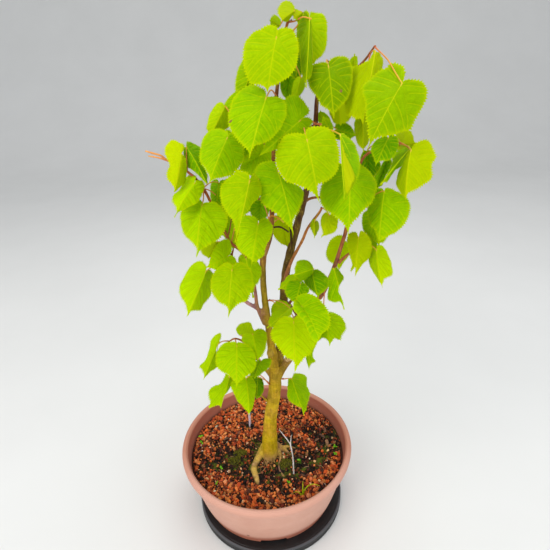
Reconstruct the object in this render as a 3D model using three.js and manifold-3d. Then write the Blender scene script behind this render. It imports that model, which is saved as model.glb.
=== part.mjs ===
// Small-leaved lime bonsai standing in a round plant pan on a plain black disc.
// Millimetres, +Z up. The origin is the centre of the disc's underside; +Y points
// to the far side of the tree. PLANT_OFFSET carries the pan and the tree, whose own
// coordinates start at the pan's axis on the disc's top face.
import * as THREE from 'three';
import { mergeVertices } from 'three/addons/utils/BufferGeometryUtils.js';
import Module from 'manifold-3d';

const wasm = await Module();
wasm.setup();

// ---- driving dimensions ----
const STAND_R = 100;            // disc radius
const STAND_T = 12;             // disc thickness
const STAND_RECESS = 1.5;       // relief of the underside between its pad and its rim
const PLANT_OFFSET = [-3.0, 3.6, STAND_T];
const GAP = 0.3;                // clearance between pieces that touch
const RIM_R = 115;              // pan, over the rim
const PAN_H = 85;               // pan height
const LIP_W = 8;                // rim width seen from above
const WALL = 2.6;               // pan wall
const FOOT_R = 90.5;            // foot ring radius
const FOOT_H = 5;
const FLOOR_Z = 7.6;            // inside face of the pan's floor
const DRAIN_R = 6;
const SOIL_Z = 66;              // soil level at the wall
const SOIL_CROWN = 2.5;         // how much higher the soil is at the trunk
const BLADE_T = 0.9;            // leaf blade plate
const PETIOLE_R = 0.75;         // leaf stalk radius at its foot
const BLADE_ARCH = 0.07;        // rise of the midrib, share of blade length
const BLADE_DROOP = 0.05;       // fall of the blade's edges, share of blade length

// ---- branches: centreline points [x, y, z, radius] ----
const BRANCHES = {
  left_stem: [[3.1,-16.0,45.2,12.77], [3.9,-14.0,67.3,11.46], [4.0,-12.0,92.4,10.22], [5.8,-10.0,125.3,8.30], [10.8,-8.0,156.7,8.14], [14.1,-6.0,180.6,7.76], [14.0,-4.0,199.3,6.92], [12.8,-2.0,219.1,5.97], [11.0,0.0,239.9,5.16], [9.3,-1.0,260.6,4.34], [6.7,-3.0,287.9,3.76], [5.1,-6.0,320.7,3.42], [5.8,-9.0,351.4,3.42], [9.7,-10.0,367.0,3.47], [14.6,-10.0,381.7,3.00], [17.5,-8.0,406.4,2.74], [19.6,-4.0,439.1,2.47], [20.9,-1.0,463.7,2.23], [23.5,0.0,497.0,2.06], [26.1,-1.0,524.0,1.86], [30.0,-3.0,547.8,1.62], [33.6,-5.0,565.5,1.40], [36.4,-6.0,577.2,1.21], [39.2,-7.0,584.7,0.97]],
  right_stem: [[14.8,-5.0,182.9,6.04], [18.7,4.0,200.9,5.86], [21.8,8.0,222.3,5.55], [24.3,11.0,245.4,5.24], [26.8,13.0,269.9,5.03], [29.9,16.0,314.5,4.76], [35.5,18.0,343.1,4.56], [41.2,19.0,364.8,4.37], [48.7,19.0,394.2,4.04], [55.4,18.0,419.2,3.50], [60.0,16.0,446.4,2.98], [62.8,14.0,469.2,2.60], [64.5,12.0,491.0,2.33], [65.6,10.0,515.4,1.97], [70.2,10.0,531.5,1.65], [76.6,9.0,545.2,1.34]],
  stub: [[15.5,-6.0,183.7,4.76], [22.2,-8.0,200.4,4.25], [26.7,-9.0,210.1,4.02], [30.4,-11.0,221.8,3.79]],
  stub_small: [[28.5,-9.0,208.5,1.61], [36.0,-11.0,220.1,1.35]],
  top_right: [[76.6,9.0,545.2,1.34], [87.5,10.0,538.9,1.20], [98.7,8.0,538.5,1.15], [109.2,5.0,546.7,1.04], [117.7,2.0,558.4,0.88]],
  reddish: [[24.2,10.0,238.8,3.75], [37.3,4.0,263.5,3.40], [51.3,-4.0,284.1,3.18], [69.0,-12.0,306.1,2.85], [78.0,-18.0,330.0,2.54], [84.0,-22.0,350.6,2.31], [88.4,-25.0,370.0,2.15], [92.1,-27.0,386.0,2.01], [93.1,-28.0,393.8,1.94], [96.5,-29.0,419.0,1.69], [100.1,-30.0,443.9,1.50], [105.9,-30.0,462.7,1.38], [117.5,-31.0,470.8,1.27], [127.8,-33.0,476.6,1.17], [137.4,-36.0,474.5,1.02]],
  red_sub: [[87.2,-23.0,352.7,1.50], [94.6,-24.0,360.3,1.38], [103.2,-25.0,368.3,1.26], [108.5,-26.0,380.2,0.94]],
  red_sub2: [[103.2,-25.0,368.3,1.00], [112.9,-22.0,375.3,0.84]],
  cross: [[29.4,14.0,303.6,2.51], [31.3,8.0,324.6,2.21], [37.1,0.0,345.4,1.86], [42.0,-5.0,358.1,1.71], [49.3,-12.0,375.6,1.56], [54.5,-17.0,390.5,1.47], [65.2,-25.0,408.7,1.37], [67.4,-27.0,414.3,1.10]],
  dark_thin: [[37.9,16.0,351.3,1.39], [38.2,13.0,369.4,1.19], [37.3,10.0,384.6,1.06]],
  dark_twig: [[15.4,-9.0,389.2,1.01], [25.6,-4.0,388.4,0.92], [34.9,0.0,381.0,0.82]],
  left_branch: [[4.1,-1.0,266.3,2.40], [-3.0,-8.0,293.6,2.15], [-4.5,-12.0,317.6,1.92], [-7.5,-14.0,345.7,1.76], [-16.2,-15.0,365.2,1.67], [-27.3,-15.0,375.8,1.60], [-32.4,-15.0,387.2,1.53], [-39.8,-14.0,405.7,1.51], [-45.9,-12.0,421.3,1.49], [-49.8,-10.0,429.8,1.44], [-58.8,-7.0,443.3,1.38], [-64.9,-5.0,448.7,1.32], [-76.7,-2.0,457.6,1.27], [-88.3,0.0,462.3,1.22], [-92.7,1.0,466.2,1.01], [-102.1,2.0,469.1,0.91], [-108.7,3.0,471.1,0.76]],
  left_tip2: [[-88.3,0.0,462.3,0.86], [-96.9,-1.0,465.0,0.71], [-105.1,-2.0,466.8,0.55]],
  lb_stub: [[-32.4,-15.0,387.2,1.06], [-34.9,-17.0,394.6,0.89]],
  lb_thin: [[-30.7,-15.0,381.6,0.80], [-27.4,-12.0,391.6,0.63], [-25.6,-10.0,400.8,0.53]],
  brown_left: [[5.8,-3.0,281.2,2.60], [-5.8,-9.0,294.2,2.32], [-16.0,-15.0,305.6,2.10], [-23.9,-20.0,324.7,1.77], [-26.9,-22.0,349.8,1.45], [-24.1,-21.0,355.7,1.29], [-26.7,-20.0,362.9,1.12], [-24.9,-19.0,369.9,0.85]],
  low_left: [[8.7,-3.0,191.0,2.16], [1.2,-8.0,208.1,1.74], [-5.3,-12.0,221.8,1.53], [-13.6,-16.0,240.0,1.31], [-21.6,-18.0,253.6,1.18], [-30.6,-19.0,258.7,0.99], [-37.8,-20.0,255.5,0.82]],
  low_stub: [[5.6,-10.0,155.4,1.67], [1.2,-15.0,164.2,1.27], [-4.1,-18.0,174.1,0.88]],
  j_twig: [[27.6,13.0,276.9,1.95], [37.7,4.0,295.0,1.66], [47.8,-6.0,311.5,1.43], [55.8,-13.0,327.2,1.23], [60.8,-18.0,342.0,0.98]],
  mid_twig: [[63.9,12.0,485.2,1.22], [67.4,6.0,489.9,1.05], [59.4,0.0,490.4,0.94], [52.0,-12.0,485.2,0.77]],
  b_twig: [[21.1,-1.0,467.6,1.41], [9.7,6.0,476.8,1.22], [-3.3,10.0,483.6,1.07], [-15.2,10.0,486.9,0.91]],
  back_a: [[27.9,-2.0,537.0,1.22], [22.2,22.0,545.4,1.08], [16.4,42.0,551.7,0.87]],
  back_b: [[22.0,0.0,482.0,1.50], [16.2,25.0,487.4,1.36], [5.6,48.0,495.9,1.19], [-3.5,66.0,501.1,0.95]],
  back_c: [[61.0,16.0,454.7,1.59], [60.3,38.0,453.3,1.38], [58.7,60.0,452.1,1.10]],
  back_d: [[52.1,19.0,407.8,1.77], [64.2,42.0,407.3,1.56], [87.8,62.0,403.9,1.32], [106.7,76.0,407.3,1.05]],
  back_e: [[17.3,-8.0,414.0,1.46], [6.9,20.0,412.4,1.33], [-7.3,42.0,411.9,1.04]],
  back_f: [[28.5,15.0,289.6,2.06], [37.8,38.0,268.5,1.79], [47.8,58.0,238.9,1.35]],
  back_g: [[5.2,-8.0,342.6,1.67], [-8.8,18.0,321.5,1.49], [-28.2,40.0,301.2,1.13]],
  back_h: [[10.7,0.0,250.0,1.83], [-0.8,22.0,229.0,1.54], [-21.4,44.0,199.5,1.22]],
  back_i: [[68.4,10.0,526.2,1.17], [89.4,34.0,527.2,1.08], [118.1,54.0,526.3,0.96], [140.0,64.0,521.5,0.82]],
};

// roots that show on the soil
const ROOTS = {
  root_front: [[-1.6,-4.1,70.0,8.99], [-7.0,-10.9,70.0,5.81], [-14.9,-26.5,67.0,4.68], [-17.3,-37.7,67.0,4.21], [-12.9,-53.4,67.0,3.59], [-11.6,-60.4,64.5,2.22]],
  root_right: [[10.9,-1.0,70.0,7.64], [17.8,-4.0,70.0,4.56], [23.9,-5.8,67.0,3.18], [28.5,-11.3,67.0,2.33], [31.8,-14.3,64.5,1.37]],
  root_right2: [[17.8,-4.9,70.0,3.45], [27.5,-2.6,70.0,1.80], [37.2,-2.8,67.0,1.39], [46.7,-6.2,64.5,1.04]],
  root_s1: [[5.3,-7.9,70.0,4.81], [6.0,-18.3,70.0,2.16], [9.2,-24.1,67.0,1.34], [11.1,-27.7,64.5,1.00]],
  root_s2: [[15.0,-8.3,70.0,4.12], [18.1,-20.5,70.0,1.75], [15.8,-29.3,67.0,1.27], [16.2,-39.0,67.0,1.38], [20.6,-47.8,67.0,1.55], [23.1,-48.9,64.5,1.03]],
  root_left: [[-3.0,-2.3,62.5,6.24], [-11.3,-0.1,62.5,4.17], [-21.4,5.9,59.5,3.16], [-30.4,13.4,57.0,1.78]],
  root_back: [[5.4,10.1,63.5,8.48], [11.3,25.1,63.5,5.42], [21.7,39.6,60.5,3.70], [30.9,48.0,58.0,2.25]],
  root_back2: [[1.2,8.5,62.5,7.05], [-7.5,22.0,62.5,4.31], [-18.1,35.3,59.5,2.94], [-25.8,42.3,57.0,1.86]],
};

// roots under the soil
const BURIED_ROOTS = {
  down_a: [[3.6,-14,66,10],[2,-11,54,9],[-6,-6,42,5],[-16,0,30,2.6]],
  down_b: [[3.6,-13,66,10],[8,-14,52,7.5],[20,-20,38,3.8],[32,-26,28,2]],
  down_c: [[3.6,-12,66,10],[2,-2,52,7],[6,16,38,3.6],[8,34,28,2]],
};

// healed cut scars on the stems: [x, y, z, radius]
const SCARS = [[8.3,-12.5,363.2,3.6],[9.4,-6.0,228.0,4.4]];

// moss cushions: [x, y, half width, half depth, height]
const MOSS = [[-36.6,-10.5,9,7,2.6],[-44.5,-23.5,9.5,8.5,2.8],[25.8,-31.5,8,8.5,2.6]];
// seedlings: [x, y, height, lean]
const SEEDLINGS = [[-94,20,9,-2],[-92,8,8,1],[-60.5,-39,9,1],[-63,-60,8,-1],[43.8,-31,10,1],[26.4,-63,8,0],[92,-19,8,1],[93,-6,7,1]];
const LABEL = { at: [-24.9,40.2,66.5], width: 4.6, thick: 1.4, above: 36, buried: 26, turn: 1.1, lean: -0.01 };
const DEAD_TWIG = [
  [[34.8,-47.8,58,1.2],[34.6,-47.2,66.5,1.5],[34,-45.1,94.2,1.35],[31.2,-43.6,114.8,1.2],[30.1,-43.3,118,1.1],[24,-42.4,128.6,0.9],[17.7,-41.7,138.7,0.6]],
  [[31.2,-43.6,114.8,1.1],[31.6,-43.1,120.5,0.9],[32.1,-42.6,127.3,0.6]],
];
const GRASS = [
  [[43.9,-78,60,1.1],[43.9,-78.4,68,1.1],[43.9,-78.6,80,0.9],[44.1,-78.8,92.3,0.5]],
  [[43.9,-78,62,1],[45,-78.6,74,0.9],[50,-79.2,84.5,0.8],[57,-79.8,88.4,0.7],[64,-80.4,85.8,0.5]],
  [[43.9,-78,62,1],[41.5,-78.6,70,0.9],[37.5,-79,75,0.7],[32,-79.2,74,0.5]],
];

// shoots: leaves that leave the branch at one bud. base = where the stalk meets the
// blade, tip, sides = the blade's two widest points, up = upper face
const SHOOTS = [
  { node: "leaf_top_front", root: [30.8,-3.5,551.9], bud: [30.1,-6.5,553.9], leaves: [
    { via: [[27,-26,571.7]], base: [26.2,-36,565.2], tip: [17.3,-54.1,523.1], sides: [[-2,-33.2,554.3],[45.8,-36.9,559.3]], up: [-0.119,-0.902,0.415], tint: 1.0, yellow: 0, mid: [0,0.3], rim: [[0,0],[-0.399,-0.269],[-0.785,-0.175],[-0.999,0.025],[-0.972,0.329],[-0.629,0.838],[-0.463,0.846],[0,1],[0.101,0.913],[0.5,0.906],[0.84,0.771],[0.976,0.645],[0.948,0.263],[0.799,0.072],[0.53,-0.096],[0.128,-0.141]] }, // a4
  ] },
  { node: "leaf_top_tip", root: [39.2,-7,584.7], bud: [40.1,-5.9,586.7], leaves: [
    { via: [], base: [42.7,-15.9,586.5], tip: [31,-27.8,578], sides: [[24.7,-14.6,588.8],[40.2,-12.8,582.3]], up: [0.488,-0.697,0.525], tint: 1.0, yellow: 0, mid: [0,0.3], rim: [[0,0],[-0.48,-0.566],[-0.886,-0.83],[-1.002,-0.748],[-0.992,-0.457],[-0.881,-0.072],[-0.695,0.346],[-0.51,0.586],[0,1],[0.834,0.77],[0.997,0.467],[0.391,0.071]] }, // a1
    { via: [], base: [51.4,2.8,587.2], tip: [42.3,-14.1,580.4], sides: [[43.6,-0.6,589.9],[45.9,-5,580.1]], up: [0.471,-0.54,0.697], tint: 0.95, yellow: 0 }, // a2
    { via: [], base: [29.9,1.4,577], tip: [20.5,-10.9,580.6], sides: [[24,0.3,587.2],[27,4.6,576.3]], up: [0.821,-0.542,-0.178], tint: 0.9, yellow: 0 }, // a3
  ] },
  { node: "leaf_top_back", root: [32.6,-4.5,560.8], bud: [33.4,-1.6,561.1], leaves: [
    { via: [], base: [3.5,29.2,548.9], tip: [-8.9,2.3,516.6], sides: [[-11.1,24.3,542.9],[6.2,31.7,534.9]], up: [0.478,-0.754,0.45], tint: 0.72, yellow: 0, mid: [0,0.3], rim: [[0,0],[-0.378,-0.174],[-0.785,-0.184],[-0.934,0.06],[-0.998,0.252],[-0.97,0.429],[-0.866,0.619],[-0.746,0.771],[-0.48,0.888],[0,1],[0.447,0.873],[0.705,0.702],[0.99,0.305],[0.984,0.049],[0.546,-0.096],[0.146,-0.128]] }, // a5
    { via: [], base: [39.5,38.5,538], tip: [37.9,62.2,512.5], sides: [[30,33.9,530.8],[47.4,33.6,528.5]], up: [-0.104,-0.732,-0.673], tint: 0.3, yellow: 0 }, // a11
    { via: [], base: [44.4,28.9,562.7], tip: [45.9,9.5,529.5], sides: [[36.6,35.9,549],[54.7,35.1,550.3]], up: [-0.072,-0.863,0.5], tint: 0.5, yellow: 0 }, // a10
    { via: [], base: [59.5,28.6,586.4], tip: [62.9,10.8,543.9], sides: [[55.9,34.3,575.9],[76.9,29.7,572.6]], up: [-0.353,-0.88,0.319], tint: 0.62, yellow: 0, mid: [0,0.3], rim: [[0,0],[0.138,-0.114],[0.692,-0.149],[0.975,0.052],[1,0.197],[0.957,0.4],[0.813,0.603],[0.584,0.726],[0.114,0.927],[0,1],[-0.421,0.841],[-0.687,0.573],[-0.938,0.238],[-0.962,-0.043],[-0.514,-0.136],[-0.125,-0.116]] }, // a8
    { via: [], base: [49.3,1.1,533.8], tip: [42.6,-12.8,516], sides: [[41.7,4.6,527],[52.3,4.4,524.9]], up: [0.102,-0.802,0.588], tint: 0.85, yellow: 0 }, // a9
  ] },
  { node: "leaf_top_folded", root: [37.3,-6.3,579.5], bud: [39.8,-7,579.6], leaves: [
    { via: [[43.5,-8,579.9],[50.5,-9,582.6],[57.4,-11,580.7]], base: [56.2,-10,581.6], tip: [50.8,-39.9,525.6], sides: [[45.5,6.5,564.1],[59.8,-7.8,563.5]], up: [0.025,-0.884,0.467], tint: 0.95, yellow: 0, mid: [0,0.3], rim: [[0,0],[-0.217,-0.132],[-0.58,-0.162],[-0.856,-0.113],[-1,-0.004],[-0.965,0.183],[-0.798,0.375],[-0.631,0.548],[-0.421,0.711],[-0.211,0.861],[0,1],[0.494,0.863],[0.993,0.65],[0.783,0.418],[0.497,0.142],[0.206,-0.024]] }, // a7
  ] },
  { node: "leaf_left_large", root: [25.6,-0.8,518.8], bud: [24.9,-4,519.6], leaves: [
    { via: [[20.3,-24,524.6]], base: [15.7,-46.2,518.8], tip: [0,-82.6,472.8], sides: [[-18.9,-51.2,501.5],[32.6,-41.5,506.1]], up: [0.097,-0.795,0.599], tint: 1.0, yellow: 0, mid: [-0.1,0.3], rim: [[0,0],[-0.193,-0.178],[-0.469,-0.335],[-0.617,-0.339],[-0.982,-0.116],[-0.931,0.285],[-0.729,0.493],[-0.115,0.864],[0,1],[0.059,0.808],[0.672,0.706],[0.909,0.558],[1,0.368],[0.963,0.242],[0.742,0.027],[0.584,-0.016]] }, // b1
  ] },
  { node: "leaf_left_behind", root: [-15.2,10,486.9], bud: [-15.4,11,489.1], leaves: [
    { via: [], base: [-5.7,36.8,516.7], tip: [-22.3,24.1,488.6], sides: [[-29.8,32.1,508.9],[-6.1,29.7,503.4]], up: [0.054,-0.922,0.384], tint: 0.7, yellow: 0 }, // b2
    { via: [], base: [-26.5,20.1,510.3], tip: [-41.3,-10.9,483.3], sides: [[-40,14.2,507],[-21.9,25.6,496.7]], up: [0.517,-0.607,0.604], tint: 0.85, yellow: 0, mid: [0,0.3], rim: [[0,0],[-0.389,-0.072],[-0.711,-0.026],[-0.934,0.105],[-1,0.278],[-0.913,0.445],[-0.791,0.595],[-0.631,0.759],[-0.43,0.881],[0,1],[0.442,0.882],[0.79,0.676],[1,0.472],[0.894,0.222],[0.424,0.048]] }, // b3
  ] },
  { node: "leaf_left_mid", root: [-14.2,10,486.6], bud: [-14.9,7.7,486.9], leaves: [
    { via: [[-18,-2,488.2]], base: [-21.6,-31,485], tip: [-38.3,-63.5,449.3], sides: [[-53.3,-36.2,467.9],[-6.1,-29.1,468]], up: [0.147,-0.772,0.618], tint: 0.95, yellow: 0, mid: [0,0.3], rim: [[0,0],[-0.336,-0.293],[-0.536,-0.382],[-0.924,-0.419],[-1.002,-0.208],[-0.822,0.184],[-0.71,0.358],[-0.159,0.765],[0,1],[0.352,0.836],[0.739,0.727],[0.906,0.547],[1,0.349],[0.784,0.1],[0.593,-0.029],[0.143,-0.141]] }, // b4
  ] },
  { node: "leaf_left_inner", root: [3.7,7.9,480], bud: [3.1,10.8,480.6], leaves: [
    { via: [], base: [-5.5,11.5,481.6], tip: [-12.4,-13.7,460.9], sides: [[-17.4,11.7,471],[3.2,11.7,471.4]], up: [-0.015,-0.633,0.774], tint: 0.8, yellow: 0 }, // b5
    { via: [], base: [15.5,27,467.9], tip: [-19.1,39.2,440.8], sides: [[-1.2,15.1,468],[11.4,21.8,444.7]], up: [-0.085,-0.944,-0.317], tint: 0.75, yellow: 0 }, // b6
  ] },
  { node: "leaf_far_left_upper", root: [-67.6,-4.3,450.7], bud: [-67.3,-4.1,454.1], leaves: [
    { via: [], base: [-70.1,-9.1,469.3], tip: [-75.4,-37.1,437.1], sides: [[-87.4,-11.1,465.7],[-65.5,-2,460.2]], up: [0.469,-0.71,0.525], tint: 0.9, yellow: 0.8, mid: [-0.35,0.15], rim: [[0,0],[0.219,-0.198],[-0.592,-0.294],[-0.93,-0.157],[-0.978,0.101],[-0.559,0.464],[-0.625,0.684],[0,1],[0.597,0.972],[0.948,0.84],[0.998,0.644],[0.582,0.209]] }, // c1
    { via: [], base: [-67.8,7.9,473.3], tip: [-45.4,-23.8,440.6], sides: [[-74.8,10.9,463.5],[-55,26.4,465.1]], up: [0.123,-0.638,0.76], tint: 0.45, yellow: 0, mid: [0,0.3], rim: [[0,0],[-0.284,0.051],[-0.679,0.209],[-0.998,0.419],[-0.973,0.557],[-0.478,0.723],[0,1],[0.269,0.951],[0.4,0.854],[0.382,0.59],[0.481,0.466],[0.801,0.311],[1.018,0.153],[0.921,0.023],[0.477,-0.115],[0.25,-0.112]] }, // c2
  ] },
  { node: "leaf_far_left_lower", root: [-51,-9.6,431.6], bud: [-51.9,-12,434.2], leaves: [
    { via: [], base: [-58.1,-20.2,442], tip: [-75,-53.4,416.8], sides: [[-82.1,-30,429.3],[-48.6,-16.4,435.4]], up: [0.14,-0.628,0.766], tint: 0.95, yellow: 0, mid: [0.05,0.3], rim: [[0,0],[-0.288,-0.241],[-0.962,-0.556],[-0.972,-0.339],[-0.816,0.001],[-0.868,0.095],[-0.71,0.379],[-0.154,0.723],[0,1],[0.146,0.872],[0.889,0.701],[0.991,0.579],[0.929,0.27],[0.782,0.126],[0.412,-0.04],[0.151,-0.093]] }, // c3
    { via: [[-51.6,-16,425.6]], base: [-52.2,-24,421], tip: [-56.4,-64.5,379.8], sides: [[-75.6,-28.6,404.9],[-29.4,-23.5,403.6]], up: [0.07,-0.713,0.698], tint: 1.0, yellow: 0, mid: [0.3,0.35], rim: [[0,0],[-0.221,-0.114],[-0.42,-0.117],[-0.821,-0.048],[-1,0.074],[-0.914,0.344],[-0.644,0.552],[0.035,0.863],[0,1],[0.224,0.847],[0.736,0.659],[0.857,0.585],[1,0.347],[0.898,0.101],[0.732,-0.016],[0.319,-0.082]] }, // c4
    { via: [], base: [-39.8,26,431.4], tip: [-41.3,1.6,407.8], sides: [[-50.7,28.3,423.5],[-26,25.3,423.4]], up: [-0.078,-0.691,0.719], tint: 0.4, yellow: 0 }, // c5
    { via: [], base: [-38.2,25.3,409.1], tip: [-34.6,4,372.7], sides: [[-48.6,29.7,391.9],[-27.5,30.5,391]], up: [0.056,-0.859,0.509], tint: 0.7, yellow: 0.3 }, // c6
  ] },
  { node: "leaf_low_left_upper", root: [-26.7,-20,362.9], bud: [-28.6,-19.1,365.6], leaves: [
    { via: [], base: [-20.9,4.9,395], tip: [-25.9,-14.6,365.4], sides: [[-31,9.3,381.3],[-15.6,10.5,380.4]], up: [0.094,-0.839,0.537], tint: 0.85, yellow: 0.2 }, // h6
    { via: [], base: [-30.2,-31.5,367.1], tip: [-50,-57.1,366], sides: [[-35.6,-28.1,383.3],[-24.9,-36.6,355.2]], up: [0.719,-0.531,0.448], tint: 0.8, yellow: 0, mid: [0,0.3], rim: [[0,0],[-0.455,-0.261],[-0.767,-0.21],[-0.953,-0.007],[-0.928,0.456],[-0.555,0.746],[0,1],[0.752,0.672],[1,0.462],[0.989,0.194],[0.756,-0.086],[0.4,-0.195]] }, // h3
    { via: [], base: [-46,13.7,367.8], tip: [-53.7,-13.3,357.7], sides: [[-61.3,9.1,363.8],[-39.3,11.9,358.7]], up: [0.286,-0.442,0.85], tint: 0.5, yellow: 0, mid: [0,0.3], rim: [[0,0],[-0.421,-0.041],[-0.772,0.136],[-1.001,0.4],[-0.918,0.558],[-0.501,0.81],[0,1],[0.501,0.81],[0.918,0.558],[1.001,0.4],[0.772,0.136],[0.421,-0.041]] }, // h4
  ] },
  { node: "leaf_centre_left", root: [18.6,-6,422.9], bud: [17.2,-9.5,425.7], leaves: [
    { via: [[8.9,-30,444.9]], base: [-1.6,-61.8,451], tip: [-15,-96.6,405.2], sides: [[-29.8,-67.1,435.5],[6.4,-58,435.5]], up: [0.25,-0.779,0.575], tint: 0.95, yellow: 0, mid: [-0.25,0.35], rim: [[0,0],[-0.237,-0.168],[-0.592,-0.248],[-0.961,-0.067],[-1,0.021],[-0.902,0.253],[-0.656,0.456],[-0.157,0.74],[0,1],[-0.05,0.671],[0.206,0.578],[0.627,0.36],[0.917,0.279],[0.999,0.184],[0.647,-0.024],[0.225,-0.134]] }, // g1
  ] },
  { node: "leaf_centre", root: [19.9,-3.5,443.1], bud: [20.5,-7.1,445.3], leaves: [
    { via: [[22.9,-20,454.1]], base: [24.1,-36.3,454.2], tip: [36.8,-74.6,402.2], sides: [[5.4,-41.6,440.5],[51.5,-40.7,426]], up: [0.156,-0.756,0.635], tint: 1.0, yellow: 0, mid: [-0.15,0.3], rim: [[0,0],[-0.118,-0.162],[-0.506,-0.166],[-0.877,-0.079],[-0.976,0.013],[-0.934,0.198],[-0.99,0.49],[-0.896,0.563],[-0.441,0.714],[0,1],[0.039,0.801],[0.572,0.444],[0.92,0.161],[1.003,0.045],[0.886,0.031],[0.277,0.144]] }, // g2
  ] },
  { node: "leaf_centre_low", root: [12.3,-10,374.8], bud: [10.9,-13.9,378.8], leaves: [
    { via: [[8,-28,399.9]], base: [3.9,-45.1,405.9], tip: [-3.5,-77.1,373.8], sides: [[-17.9,-48.5,396.8],[16.6,-42.8,397.9]], up: [0.094,-0.704,0.704], tint: 0.95, yellow: 0, mid: [0,0.3], rim: [[0,0],[-0.351,-0.193],[-0.791,-0.226],[-1,-0.104],[-0.912,0.064],[-0.933,0.468],[-0.665,0.659],[-0.045,0.865],[0,1],[0.06,0.891],[0.559,0.93],[0.79,0.795],[0.944,0.466],[1,0.219],[0.547,-0.09],[0.111,-0.082]] }, // g3
  ] },
  { node: "leaf_centre_dark", root: [15.2,-9.5,387.3], bud: [15.7,-5.6,389.3], leaves: [
    { via: [], base: [28.6,26.7,387.9], tip: [34.7,21,354.4], sides: [[16.8,20.3,377.2],[40.6,16.8,376.4]], up: [-0.14,-0.98,0.139], tint: 0.3, yellow: 0 }, // g5
    { via: [], base: [5.1,45.2,406], tip: [2.2,62.1,374.2], sides: [[-8.1,42,397.8],[15.3,39.9,397.6]], up: [-0.083,-0.883,-0.462], tint: 0.3, yellow: 0 }, // g7
  ] },
  { node: "leaf_low_left_far", root: [-26.7,-20,362.9], bud: [-28.7,-21.6,362.3], leaves: [
    { via: [[-36.9,-28,359.6],[-47,-34,356.8]], base: [-52.6,-40.1,354.8], tip: [-67.3,-88.2,328.7], sides: [[-79.9,-54.9,339.5],[-49.7,-39.8,330.5]], up: [0.503,-0.523,0.688], tint: 0.95, yellow: 0, mid: [-0.2,0.3], rim: [[0,0],[-0.287,-0.27],[-0.655,-0.461],[-0.867,-0.384],[-1,0.081],[-0.969,0.217],[-0.831,0.374],[-0.219,0.769],[0,1],[0.124,0.857],[0.758,0.717],[0.778,0.593],[1,0.383],[0.734,-0.014],[0.582,-0.1],[0.371,-0.116]] }, // h1
  ] },
  { node: "leaf_low_left", root: [-26.9,-22,349.2], bud: [-26.6,-24.8,350.8], leaves: [
    { via: [[-25.3,-36,358.1]], base: [-23,-62.8,365.7], tip: [-25.9,-103.2,334.4], sides: [[-43.6,-69.3,353.3],[-3,-65.3,354.4]], up: [0.045,-0.596,0.801], tint: 1.0, yellow: 0, mid: [0.3,0.5], rim: [[0,0],[-0.258,-0.183],[-0.621,-0.175],[-0.919,-0.067],[-0.987,0.022],[-0.982,0.287],[-0.789,0.513],[-0.396,0.698],[-0.076,0.786],[0,1],[0.35,0.755],[0.819,0.653],[1,0.312],[0.868,0.026],[0.517,-0.136],[0.147,-0.133]] }, // h2
  ] },
  { node: "leaf_inner_left", root: [-6.2,-13.1,333], bud: [-6.8,-16.6,336], leaves: [
    { via: [], base: [-11.4,-27.1,362.4], tip: [-4,-61.5,333.1], sides: [[-17.7,-29.7,350.4],[3.2,-25.8,346.5]], up: [0.029,-0.514,0.857], tint: 0.7, yellow: 0, mid: [0,0.3], rim: [[0,0],[0.316,-0.159],[0.7,-0.14],[0.993,-0.021],[1,0.214],[0.827,0.436],[0.545,0.609],[0.227,0.733],[0.095,0.866],[0,1],[-0.237,0.862],[-0.505,0.664],[-0.81,0.411],[-0.98,0.134],[-1,-0.089],[-0.554,-0.17]] }, // h5
  ] },
  { node: "leaf_centre_right_large", root: [52.2,-11.7,485.3], bud: [51.9,-13.9,485.9], leaves: [
    { via: [[48.8,-42,492.7]], base: [49.9,-62.3,484.8], tip: [57.7,-96,437.7], sides: [[22.3,-62.1,469.6],[78,-68.1,470.4]], up: [-0.101,-0.816,0.569], tint: 1.0, yellow: 0, mid: [-0.15,0.3], rim: [[0,0],[-0.084,-0.093],[-0.51,-0.132],[-0.765,-0.036],[-0.969,0.156],[-0.961,0.458],[-0.811,0.622],[-0.22,0.799],[0,1],[0.001,0.769],[0.699,0.542],[0.991,0.183],[0.991,-0.03],[0.878,-0.2],[0.715,-0.253],[0.336,-0.235]] }, // d1
  ] },
  { node: "leaf_centre_upper", root: [60.9,1.1,490.3], bud: [63.4,0.7,491.9], leaves: [
    { via: [], base: [46.2,-28.4,498.1], tip: [7.8,-58.4,471.6], sides: [[28,-27,513],[43.4,-35.4,483.3]], up: [0.403,-0.823,0.4], tint: 0.85, yellow: 0, mid: [-0.15,0.25], rim: [[0,0],[-0.005,-0.176],[-0.194,-0.272],[-0.817,-0.161],[-1,0.019],[-0.963,0.234],[-0.586,0.505],[-0.135,0.929],[0,1],[0.654,0.579],[0.854,0.409],[1,0.213],[0.999,0.015],[0.826,-0.219],[0.588,-0.226],[0.284,-0.176]] }, // d2
    { via: [], base: [76.8,28.5,484.2], tip: [68.7,10.1,504.6], sides: [[69.4,26.5,491.9],[81.6,27.7,492.3]], up: [0.001,-0.78,-0.625], tint: 0.6, yellow: 0, mid: [0,0.3], rim: [[0,0],[-0.827,0.008],[-0.996,0.294],[-0.782,0.611],[-0.4,0.834],[0,1],[0.331,0.862],[0.759,0.633],[1,0.333],[0.93,0.067],[0.562,-0.086]] }, // d5
    { via: [], base: [87,15.4,484.7], tip: [104.4,-7.1,480.1], sides: [[94,10.3,491.6],[88.7,9.4,475.4]], up: [-0.732,-0.622,0.278], tint: 0.7, yellow: 0 }, // d6
    { via: [], base: [75.9,-10.7,486.6], tip: [67.2,-23.7,502.3], sides: [[69.7,-13.6,488.6],[77.7,-14.3,492.5]], up: [0.208,-0.806,-0.555], tint: 1.0, yellow: 0 }, // d4
  ] },
  { node: "leaf_right_folded", root: [67.4,6,489.9], bud: [67.9,3.2,489.8], leaves: [
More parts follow.
